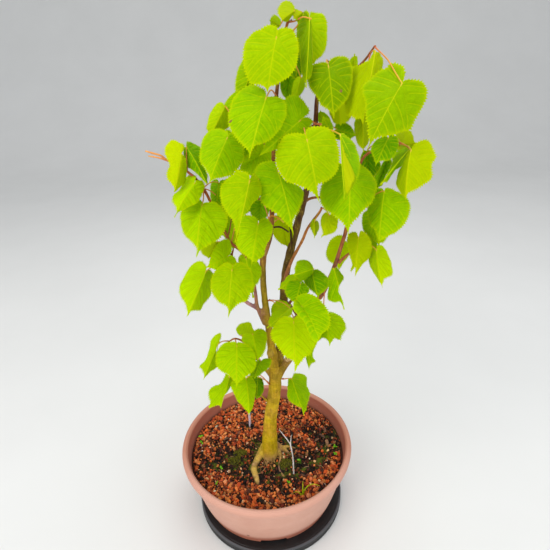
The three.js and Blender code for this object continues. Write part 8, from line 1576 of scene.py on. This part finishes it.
def build_soil():
    ground = soil_material("soil_ground")
    # the body of the soil, its top broken up
    nr, na = 78, 232
    rr = np.linspace(0.01, 1, nr) ** 0.8 * 103.7
    ang = 2 * np.pi * np.arange(na) / na
    x = np.outer(rr, np.cos(ang)).ravel()
    y = np.outer(rr, np.sin(ang)).ravel()
    z = soil_top_many(x, y)
    p3 = np.stack([x, y, z * 0], 1)
    fade = np.clip((103.7 - np.hypot(x, y)) / 3, 0, 1)
    z = z - 0.4 + ((value_noise(p3 / 3.4, 2) - 0.5) * 2.4 + (value_noise(p3 / 1.7, 6) - 0.5) * 1.4) * fade
    # the dark patches blend the lit ground colour toward the dim one, partly as painted shade
    dark = darkness(x, y)
    lit = np.array(rgb(72, 36, 22))
    dim = np.array(rgb(20, 15, 10))
    col = lit * (1 - dark[:, None]) + dim * dark[:, None]
    col = col * (0.7 + 0.6 * value_noise(p3 / 2.6, 12)[:, None])
    green = np.clip((value_noise(p3 / 7.0, 71) - 0.45) * 3, 0, 1) * np.clip(dark - 0.35, 0, 1) * 1.1
    shell = Shell(("so1", "so2"))
    top = np.stack([x, y, z], 1)
    wall = [(103.8, 64), (98.9, 40), (93.7, 20), (89.6, 11.4), (85.6, 8.3)]
    w = np.vstack([np.stack([r * np.cos(ang), r * np.sin(ang), np.full(na, h)], 1) for r, h in wall])
    pts = np.vstack([top, w, [0, 0, float(soil_top(0, 0)) - 0.4], [0, 0, 8.3]])
    rows = nr + len(wall)
    quads = grid_faces(rows, na)[:, ::-1]
    k = np.arange(na)
    s = nr * na + len(wall) * na
    f0 = np.stack([np.full(na, s), k, (k + 1) % na], 1)
    f1 = np.stack([np.full(na, s + 1), (rows - 1) * na + (k + 1) % na, (rows - 1) * na + k], 1)
    so1 = np.vstack([col, np.tile(dim, (len(w) + 2, 1))])
    so2 = np.zeros((len(pts), 3))
    so2[:len(green), 0] = green
    shell.add(pts, [quads, f0, f1], 0, so1=so1, so2=so2)
    ob = shell.mesh("soil_body", [ground])
    outward(ob)
    placed(ob, "soil")

    # loose crushed grains
    rng = np.random.default_rng(20)
    v0, f0 = icosahedron()
    wood_pts = [(3.9, -14.0, 13.5)]
    for name, rows in ROOTS.items():
        if name in ("root_back", "root_back2", "root_left"):
            continue
        for q in resample(catmull(rows, 4), 3.0):
            wood_pts.append((q[0], q[1], q[3] + 0.4))
    wood_pts = np.array(wood_pts)

    def scatter(n, lo, hi, level, spread, seed):
        g = np.random.default_rng(seed)
        r = np.sqrt(g.random(n)) * 102.6
        a = g.random(n) * 2 * np.pi
        gx, gy = r * np.cos(a), r * np.sin(a)
        dk = darkness(gx, gy)
        size = g.uniform(lo, hi, n) * (1 - 0.3 * dk)
        # thinner cover on the dark patches, partly painted shade and partly dark, mossy ground
        keep = g.random(n) > 0.62 * dk
        d = np.hypot(gx[:, None] - wood_pts[None, :, 0], gy[:, None] - wood_pts[None, :, 1]) - wood_pts[None, :, 2]
        keep &= (d.min(1) - 0.35 * size) > 0
        keep &= (r + size * 0.6) < 103.4
        for mx, my, rx, ry, h in MOSS:
            keep &= ((gx - mx) / rx) ** 2 + ((gy - my) / ry) ** 2 > 0.8
        gx, gy, dk, size = gx[keep], gy[keep], dk[keep], size[keep]
        m = len(gx)
        gz = soil_top_many(gx, gy) + level + g.uniform(-spread, spread, m) + size * 0.12
        # grains on the dark patches draw darker tones, partly as painted shade
        prob = BRIGHT[None] * (1 - dk[:, None]) + DIM[None] * dk[:, None]
        prob /= prob.sum(1, keepdims=True)
        pick = (prob.cumsum(1) < g.random(m)[:, None]).sum(1).clip(0, len(GRAIN_TONES) - 1)
        tone = GRAIN_TONES[pick] * g.uniform(0.82, 1.12, (m, 1)) + g.normal(0, 4, (m, 3))
        shape = g.uniform(0.62, 1.15, (m, 1, 3)) * size[:, None, None] * 0.5
        verts = v0[None] * (1 + g.normal(0, 0.13, (m, 12, 1))) * shape
        verts = np.einsum("nij,nkj->nki", rotations(g, m), verts)
        verts += np.stack([gx, gy, gz], 1)[:, None, :]
        return verts, linear(np.clip(tone, 0, 255)), m

    for name, sets in (("soil_grains_low", [(3500, 3.2, 5.6, 0.2, 0.5, 101), (2400, 1.8, 3.0, 0.5, 0.7, 102)]), ("soil_grains_top", [(2100, 3.8, 6.8, 1.5, 0.6, 103), (1400, 2.0, 3.4, 1.9, 0.7, 104)])):
        shell = Shell(("so1", "so2"))
        for cfg in sets:
            verts, tones, m = scatter(*cfg)
            f = (f0[None] + 12 * np.arange(m)[:, None, None]).reshape(-1, 3)
            shell.add(verts.reshape(-1, 3), [f], 0, so1=np.repeat(tones, 12, 0), so2=np.stack([np.zeros(m * 12), np.repeat(np.arange(m), 12), np.zeros(m * 12)], 1))
        ob = shell.mesh(name, [ground], smooth=False)
        placed(ob, "soil")

    build_moss(rng)
    build_seedlings(rng)
    build_litter(rng)


def build_moss(rng):
    mat = green_material("moss", rgb(28, 24, 6), rgb(66, 62, 8), rgb(136, 132, 14), 0.1)
    shell = Shell(("so1",))
    for i, (mx, my, rx, ry, h) in enumerate(MOSS):
        # cushion
        nr, na = 9, 26
        t = np.linspace(0, 1, nr)
        ang = 2 * np.pi * np.arange(na) / na
        pts = []
        for q in t[1:]:
            rad = math.sin(q * math.pi / 2)
            hh = math.cos(q * math.pi / 2)
            wob = 1 + 0.14 * np.sin(3 * ang + i) + 0.09 * np.sin(5 * ang + 2 * i)
            x = mx + rx * rad * np.cos(ang) * wob
            y = my + ry * rad * np.sin(ang) * wob
            z = soil_top_many(x, y) + h * hh - 0.9
            pts.append(np.stack([x, y, z], 1))
        pts = np.vstack(pts + [np.array([[mx, my, soil_top(mx, my) + h - 0.9]]), np.array([[mx, my, soil_top(mx, my) - 2.5]])])
        k = np.arange(na)
        top, low = (nr - 1) * na, (nr - 1) * na + 1
        faces = [grid_faces(nr - 1, na)[:, ::-1], np.stack([np.full(na, top), k, (k + 1) % na], 1), np.stack([np.full(na, low), (nr - 2) * na + (k + 1) % na, (nr - 2) * na + k], 1)]
        shell.add(pts, faces, 0, so1=(0.2, 0, 0))
        # leafy shoots of the moss
        for j in range(420):
            q = math.sqrt(rng.random()) * 1.05
            a = rng.uniform(0, 6.283)
            x, y = mx + rx * q * math.cos(a), my + ry * q * math.sin(a)
            z = soil_top(x, y) + h * math.sqrt(max(0, 1 - min(1, q * q))) - 1.0
            lean = rng.normal(0, 0.45, 2)
            add_spike(shell, (x, y, z), (lean[0], lean[1], 1.0), rng.uniform(1.3, 2.6), rng.uniform(0.28, 0.45), rng)
    # loose moss over the dark ground
    n = 0
    while n < 620:
        x, y = rng.uniform(-62, 60), rng.uniform(-62, 14)
        d = float(darkness(np.array([x]), np.array([y]))[0])
        g = float(value_noise(np.array([[x / 7.0, y / 7.0, 0.0]]), 71)[0])
        if d < 0.45 or g < 0.5 or rng.random() > 0.8:
            n += 0.2
            continue
        z = soil_top(x, y) - 0.3
        lean = rng.normal(0, 0.5, 2)
        add_spike(shell, (x, y, z), (lean[0], lean[1], 1.0), rng.uniform(1.2, 2.6), rng.uniform(0.25, 0.45), rng)
        n += 1
    ob = shell.mesh("moss", [mat])
    placed(ob, "soil")


def add_spike(shell, at, d, length, width, rng):
    d = unit(np.array(d, float))
    x = unit(np.cross(d, [0.3, 0.8, 0.1]))
    y = np.cross(d, x)
    a = rng.uniform(0, 2)
    base = [np.array(at) + width * (math.cos(a + k * 2.094) * x + math.sin(a + k * 2.094) * y) for k in range(3)]
    mid = [np.array(at) + d * length * 0.55 + width * 1.15 * (math.cos(a + k * 2.094) * x + math.sin(a + k * 2.094) * y) for k in range(3)]
    tip = np.array(at) + d * length
    pts = np.vstack([base, mid, [tip]])
    faces = [np.array([[0, 1, 4, 3], [1, 2, 5, 4], [2, 0, 3, 5]]), np.array([[3, 4, 6], [4, 5, 6], [5, 3, 6], [0, 2, 1]])]
    shell.add(pts, faces, 0, so1=np.array([[0.0, 0, 0]] * 3 + [[0.6, 0, 0]] * 3 + [[1.0, 0, 0]]))


def leaflet(shell, at, d, up, length, width, cup=0.15):
    """A small rounded solid leaf."""
    d, up = unit(np.array(d, float)), np.array(up, float)
    side = unit(np.cross(d, up))
    n = np.cross(side, d)
    t = np.linspace(0, 1, 7)
    w = width * 0.5 * np.sin(np.clip(t * 1.08, 0, 1) ** 0.8 * np.pi) ** 0.75
    w[0], w[-1] = 0.12, 0.05
    rows = []
    for ti, wi in zip(t, w):
        c = np.array(at) + d * length * ti + n * (-0.18 * length * ti * ti)
        rows += [c - side * wi + n * cup * wi, c + n * 0.14, c + side * wi + n * cup * wi, c - n * 0.12]
    f = [grid_faces(7, 4), np.array([[3, 2, 1, 0]]), np.array([[24, 25, 26, 27]])]
    shell.add(np.array(rows), f, 0, so1=np.repeat(np.stack([0.45 + 0.5 * t, t * 0, t * 0], 1), 4, 0))


def build_seedlings(rng):
    mat = green_material("seedlings", rgb(60, 120, 4), rgb(92, 178, 8), rgb(150, 216, 30), 0.25)
    shell = Shell(("so1",))
    for x, y, h, lean in SEEDLINGS:
        z = soil_top(x, y)
        inward = -unit(np.array([x, y, 0.0]))
        top = np.array([x + lean * 0.6, y, z + h * 0.72])
        stem = catmull([(x, y, z - 1.5, 0.42), (x + lean * 0.2, y, z + h * 0.35, 0.38), (*top, 0.32)], 4)
        p, f, along = tube(stem, 6)
        shell.add(p, f, 0, so1=np.stack([along * 0.4, along * 0, along * 0], 1))
        for k in range(2 + int(rng.random() * 3)):
            a = rng.uniform(0, 6.283)
            d = np.array([math.cos(a), math.sin(a), rng.uniform(0.1, 0.5)]) + inward * 0.3
            leaflet(shell, top - [0, 0, 0.5 * k], d, (0, 0, 1), h * rng.uniform(0.38, 0.55), h * rng.uniform(0.24, 0.36))
    ob = shell.mesh("seedlings", [mat])
    outward(ob)
    placed(ob, "soil")


def build_litter(rng):
    """Brown seed husks, bits of twig and dry leaf on the grains."""
    g = Graph("litter")
    n = g.noise(1.0, 4.0, 0.6, g.scaled(500, 500, 500))
    base = g.attr("so1")
    g.set(Base_Color=g.mix(g.span(n, 0.4, 0.7, 0.0, 0.6), base, g.mix(0.7, base, rgb(40, 24, 14))), Roughness=g.span(n, 0.3, 0.7, 0.6, 0.85), Normal=g.bump(n, 0.4, 0.0004))
    shell = Shell(("so1",))
    for x, y, a, L in ((82.5, 28, 1.9, 13), (78, 15, 2.4, 11), (83.5, 1.5, 1.5, 12), (70, 8, 0.6, 9), (-58, 14, 0.4, 9), (46, -52, 2.8, 8), (-22, -70, 0.3, 9)):
        z = soil_top(x, y) + 2.6
        d = np.array([math.cos(a), math.sin(a), 0.12])
        s = np.array([-math.sin(a), math.cos(a), 0])
        t = np.linspace(-1, 1, 11)
        w = L * 0.17 * (1 - np.abs(t) ** 2.2) + 0.15
        rows = []
        for ti, wi in zip(t, w):
            c = np.array([x, y, z]) + d * L * 0.5 * ti + [0, 0, 0.9 * (1 - ti * ti) * 0.3]
            rows += [c - s * wi + [0, 0, wi * 0.55], c + [0, 0, -0.1], c + s * wi + [0, 0, wi * 0.55], c + [0, 0, -0.75]]
        f = [grid_faces(11, 4), np.array([[3, 2, 1, 0]]), np.array([[40, 41, 42, 43]])]
        shell.add(np.array(rows), f, 0, so1=linear(np.array([(124, 78, 48), (96, 62, 40), (148, 104, 68)][int(rng.random() * 3)], float)))
    for i in range(46):
        r, a = math.sqrt(rng.random()) * 94, rng.uniform(0, 6.283)
        x, y = r * math.cos(a), r * math.sin(a)
        if math.hypot(x - 4, y + 14) < 20:
            continue
        z = soil_top(x, y) + 2.3
        L, b = rng.uniform(4, 12), rng.uniform(0, 3.14)
        rows = catmull([(x, y, z, 0.35), (x + L * 0.5 * math.cos(b), y + L * 0.5 * math.sin(b), z + rng.uniform(0, 0.8), 0.45), (x + L * math.cos(b + 0.2), y + L * math.sin(b + 0.2), z - 0.6, 0.3)], 3)
        if math.hypot(rows[-1, 0], rows[-1, 1]) > 100:
            continue
        p, f, along = tube(rows, 6)
        shell.add(p, f, 0, so1=linear(np.array([(92, 62, 42), (156, 118, 82), (60, 38, 26)][i % 3], float)))
    ob = shell.mesh("litter", [g.mat])
    outward(ob)
    placed(ob, "soil")


# ------------------------------------------------------------------ pan and disc
def build_pan():
    prof = [(0, 2.5), (83.5, 2.5), (85, 0), (90.5, 0), (90.5, 4.4), (91.2, 5.6), (93.5, 9), (96.9, 20), (102, 40), (108.6, 72.5), (114.2, 74.2), (115, 80.5), (114.1, 83.4), (111.8, 85),
            (109.6, 85), (107, 82), (105.6, 72.5), (99.4, 40), (94.3, 20), (90.2, 10.5), (86.5, 7.6), (0, 7.6)]
    rad = [0, 0.5, 0.5, 1.0, 0.8, 0.8, 4, 40, 60, 2.6, 2.8, 3.0, 2.0, 2.0, 2.0, 3.0, 3, 60, 40, 4, 2.5, 0]
    p = densify(fillet(prof, rad, 5), 4.5)
    pts, faces = lathe(p, 240)
    shell = Shell()
    shell.add(pts, faces)
    ob = shell.mesh("pan", [pan_material()], lift=PAN_LIFT)
    outward(ob)
    cutters = []

    def cutter(points, faces):
        s = Shell()
        s.add(points, faces)
        c = s.mesh("cut_tmp", [], lift=PAN_LIFT)
        outward(c)
        cutters.append(c)

    for cx, cy in [(0, 0)] + [(52 * math.cos(math.pi / 4 + i * math.pi / 2), 52 * math.sin(math.pi / 4 + i * math.pi / 2)) for i in range(4)]:
        q, f = lathe([(0, -5), (6, -5), (6, 16), (0, 16)], 40)
        cutter(q + [cx, cy, 0], f)
    for i in range(3):
        a = math.radians(-86 + 120 * i)
        # rounded slot through the foot ring
        w, top, e = 16.5, 3.2, 1.4
        sec = [(-w, -3), (w, -3), (w, top - e), (w - e * 0.3, top - e * 0.3), (w - e, top), (-w + e, top), (-w + e * 0.3, top - e * 0.3), (-w, top - e)]
        k = len(sec)
        q = []
        for r in (77.5, 97.5):
            for t, h in sec:
                q.append([r * math.cos(a) - t * math.sin(a), r * math.sin(a) + t * math.cos(a), h])
        j = np.arange(k)
        cutter(np.array(q), [np.stack([j, (j + 1) % k, (j + 1) % k + k, j + k], 1), np.array([list(range(k))[::-1]]), np.array([[k + m for m in range(k)]])])
    for c in cutters:
        m = ob.modifiers.new("cut", "BOOLEAN")
        m.operation = "DIFFERENCE"
        m.solver = "EXACT"
        m.object = c
    applied(ob)
    for c in cutters:
        bpy.data.objects.remove(c)
    ob.data.polygons.foreach_set("use_smooth", np.ones(len(ob.data.polygons), bool))
    ob.data.set_sharp_from_angle(angle=math.radians(32))
    placed(ob, "plant_pan")


def build_disc():
    prof = [(0, 0), (30, 0), (31, 1.5), (91, 1.5), (92, 0), (98.8, 0), (100, 1.2), (100, 4.2), (99.55, 4.6), (99.55, 5.2), (100, 5.6), (100, 10.6), (99.5, 11.6), (98.6, 12), (96.9, 12), (96.6, 11.75), (96.2, 11.75), (95.9, 12), (0, 12)]
    rad = [0, 0.3, 0.3, 0.4, 0.4, 0.6, 0.6, 0.2, 0.15, 0.15, 0.2, 0.8, 0.8, 0.6, 0.2, 0.15, 0.15, 0.2, 0]
    p = densify(fillet(prof, rad, 4), 12)
    pts, faces = lathe(p, 256)
    shell = Shell()
    shell.add(pts - OFFSET, faces)
    ob = shell.mesh("disc", [disc_material()])
    outward(ob)
    ob.data.set_sharp_from_angle(angle=math.radians(35))
    placed(ob, "display_disc")


# ------------------------------------------------------------------ label, dead twig, grass
def build_label():
    w, t = LABEL["width"] / 2, LABEL["thick"] / 2
    lo, hi = -LABEL["buried"], LABEL["above"]
    # rows of a rounded flat bar, pointed below, softly rounded on top
    zs = [(lo, 0.25), (lo + 1.5, 0.22 * w + 0.2), (lo + 5, 0.65 * w), (lo + 9, w), (lo + 20, w), (0, w), (12, w), (24, w), (hi - 3.0, w), (hi - 1.0, w * 0.98), (hi - 0.3, w * 0.86), (hi, w * 0.6)]
    rows = []
    k = 12
    for z, ww in zs:
        sec = []
        for a in 2 * np.pi * (np.arange(k) + 0.5) / k:
            c, s = math.cos(a), math.sin(a)
            e = 0.35
            sec.append((math.copysign(abs(c) ** e, c) * ww, math.copysign(abs(s) ** e, s) * t * (1.0 if z < hi - 0.2 else 0.6), z))
        rows.append(sec)
    p = np.array(rows).reshape(-1, 3)
    # slight bow of the stick
    p[:, 1] += 0.35 * np.sin((p[:, 2] - lo) / (hi - lo) * np.pi)
    c, s = math.cos(LABEL["turn"]), math.sin(LABEL["turn"])
    q = np.stack([p[:, 0] * c - p[:, 1] * s, p[:, 0] * s + p[:, 1] * c, p[:, 2]], 1)
    c, s = math.cos(LABEL["lean"]), math.sin(LABEL["lean"])
    q = np.stack([q[:, 0] * c + q[:, 2] * s, q[:, 1], -q[:, 0] * s + q[:, 2] * c], 1) + np.array(LABEL["at"])
    n = len(zs)
    j = np.arange(k)
    q = np.vstack([q, q[:k].mean(0), q[-k:].mean(0)])
    f = [grid_faces(n, k), np.stack([np.full(k, n * k), (j + 1) % k, j], 1), np.stack([np.full(k, n * k + 1), (n - 1) * k + j, (n - 1) * k + (j + 1) % k], 1)]
    shell = Shell()
    shell.add(q, f)
    ob = shell.mesh("label_stick", [label_material()])
    outward(ob)
    ob.data.set_sharp_from_angle(angle=math.radians(50))
    placed(ob, "plant_label")


def build_twig():
    shell = Shell()
    for i, rows in enumerate(DEAD_TWIG):
        rows = resample(catmull(rows, 6), 1.2)
        nz = value_noise(rows[:, :3] / 2.4, 50 + i)
        rows[:, 3] *= (0.82 + 0.4 * nz) * 0.62
        rows[:, 0] += 0.5 * (value_noise(rows[:, :3] / 5.0, 61 + i) - 0.5)
        p, f, along = tube(rows, 9)
        p = p + (value_noise(p / 0.9, 8)[:, None] - 0.5) * 0.12
        shell.add(p, f)
    # the broken end above is split in two short splinters
    for e in ((32.1, -42.6, 127.3, 33.2, -42.2, 130.4), (32.0, -42.7, 126.5, 31.6, -42.9, 129.3)):
        p, f, along = tube([(e[0], e[1], e[2], 0.45), (e[3], e[4], e[5], 0.18)], 5)
        shell.add(p, f)
    ob = shell.mesh("dry_twig", [dead_material()])
    outward(ob)
    placed(ob, "dead_twig")


def build_grass():
    mat = green_material("grass", rgb(128, 160, 4), rgb(172, 204, 8), rgb(218, 220, 40), 0.25)
    shell = Shell(("so1",))
    for i, rows in enumerate(GRASS):
        rows = resample(catmull(rows, 8), 1.3)
        n = len(rows)
        t = np.linspace(0, 1, n)
        c = rows[:, :3]
        tan = unit(np.gradient(c, axis=0))
        side = unit(np.cross(tan, [0.15, -1.0, 0.25]))
        nrm = np.cross(side, tan)
        w = rows[:, 3] * 1.3 * (0.95 - 0.75 * t ** 2) + 0.08
        ring = np.stack([c - side * w[:, None] + nrm * (w * 0.5)[:, None], c + nrm * 0.1, c + side * w[:, None] + nrm * (w * 0.5)[:, None], c - nrm * 0.16], 1).reshape(-1, 3)
        f = [grid_faces(n, 4), np.array([[3, 2, 1, 0]]), np.array([[4 * n - 4, 4 * n - 3, 4 * n - 2, 4 * n - 1]])]
        shell.add(ring, f, 0, so1=np.repeat(np.stack([0.2 + 0.8 * t, t * 0, t * 0], 1), 4, 0))
    ob = shell.mesh("grass", [mat])
    outward(ob)
    placed(ob, "grass_sprig")


# ------------------------------------------------------------------ floor, light, camera
def stage_and_light():
    g = Graph("floor_pale")
    n = g.noise(3.0, 3.0)
    g.set(Base_Color=g.ramp(n, [(0.3, (0.70, 0.70, 0.68)), (0.7, (0.73, 0.73, 0.71))]), Roughness=0.7)
    me = bpy.data.meshes.new("floor")
    rows = [(-4.0, 0.0), (0.0, 0.0), (1.6, 0.0), (2.2, 0.0)]
    for k in range(1, 25):
        t = 0.5 * math.pi * k / 24
        rows.append((2.2 + 1.6 * math.sin(t), 1.6 - 1.6 * math.cos(t)))
    rows.append((3.8, 5.0))
    verts = [(x, y, z) for y, z in rows for x in (-6.0, 6.0)]
    me.from_pydata(verts, [], [(2 * k, 2 * k + 1, 2 * k + 3, 2 * k + 2) for k in range(len(rows) - 1)])
    me.polygons.foreach_set("use_smooth", [True] * len(me.polygons))
    me.materials.append(g.mat)
    floor = bpy.data.objects.new("floor", me)
    bpy.context.scene.collection.objects.link(floor)

    world = bpy.data.worlds.new("studio")
    bpy.context.scene.world = world
    world.use_nodes = True
    bg = world.node_tree.nodes["Background"]
    bg.inputs["Color"].default_value = (0.93, 0.955, 1.0, 1.0)
    bg.inputs["Strength"].default_value = WORLD

    def area(name, at, aim, size, power, color=(1, 1, 1)):
        light = bpy.data.lights.new(name, "AREA")
        light.shape = "DISK"
        light.size = size
        light.energy = power
        light.color = color
        ob = bpy.data.objects.new(name, light)
        ob.location = at
        ob.rotation_mode = "QUATERNION"
        ob.rotation_quaternion = (Vector(aim) - Vector(at)).to_track_quat("-Z", "Y")
        bpy.context.scene.collection.objects.link(ob)

    for row in LIGHTS:
        area(*row)

    cam = bpy.data.cameras.new("camera")
    cam.sensor_width = 36.0
    cam.lens = 28.1455
    cam.clip_start, cam.clip_end = 0.02, 60.0
    ob = bpy.data.objects.new("camera", cam)
    pitch, roll = 0.42402, -0.03213
    right, up = np.array([1.0, 0, 0]), np.array([0, math.sin(pitch), math.cos(pitch)])
    fwd = np.array([0, math.cos(pitch), -math.sin(pitch)])
    x = math.cos(roll) * right + math.sin(roll) * up
    y = -math.sin(roll) * right + math.cos(roll) * up
    m = Matrix(((x[0], y[0], -fwd[0], 0.01556), (x[1], y[1], -fwd[1], -0.44414), (x[2], y[2], -fwd[2], 0.54410), (0, 0, 0, 1)))
    ob.matrix_world = m
    bpy.context.scene.collection.objects.link(ob)
    bpy.context.scene.camera = ob
    bpy.context.scene.view_settings.view_transform = "Standard"
    bpy.context.scene.view_settings.look = "None"


WORLD = 0.70
LIGHTS = [
    ("key", (-1.0, -1.1, 1.7), (0, 0, 0.3), 1.4, 20.0, (1.0, 0.985, 0.95)),
    ("fill", (1.3, -0.9, 1.1), (0, 0, 0.3), 1.2, 7.0, (0.95, 0.97, 1.0)),
    ("top", (0.2, 0.5, 1.9), (0, 0, 0.3), 1.2, 11.0, (1.0, 1.0, 1.0)),
    ("low", (-0.2, -1.6, 0.42), (0, 0, 0.22), 1.0, 6.0, (1.0, 0.985, 0.95)),
]

stage_and_light()
build_disc()
build_pan()
build_soil()
build_wood()
build_label()
build_twig()
build_grass()
build_shoots()
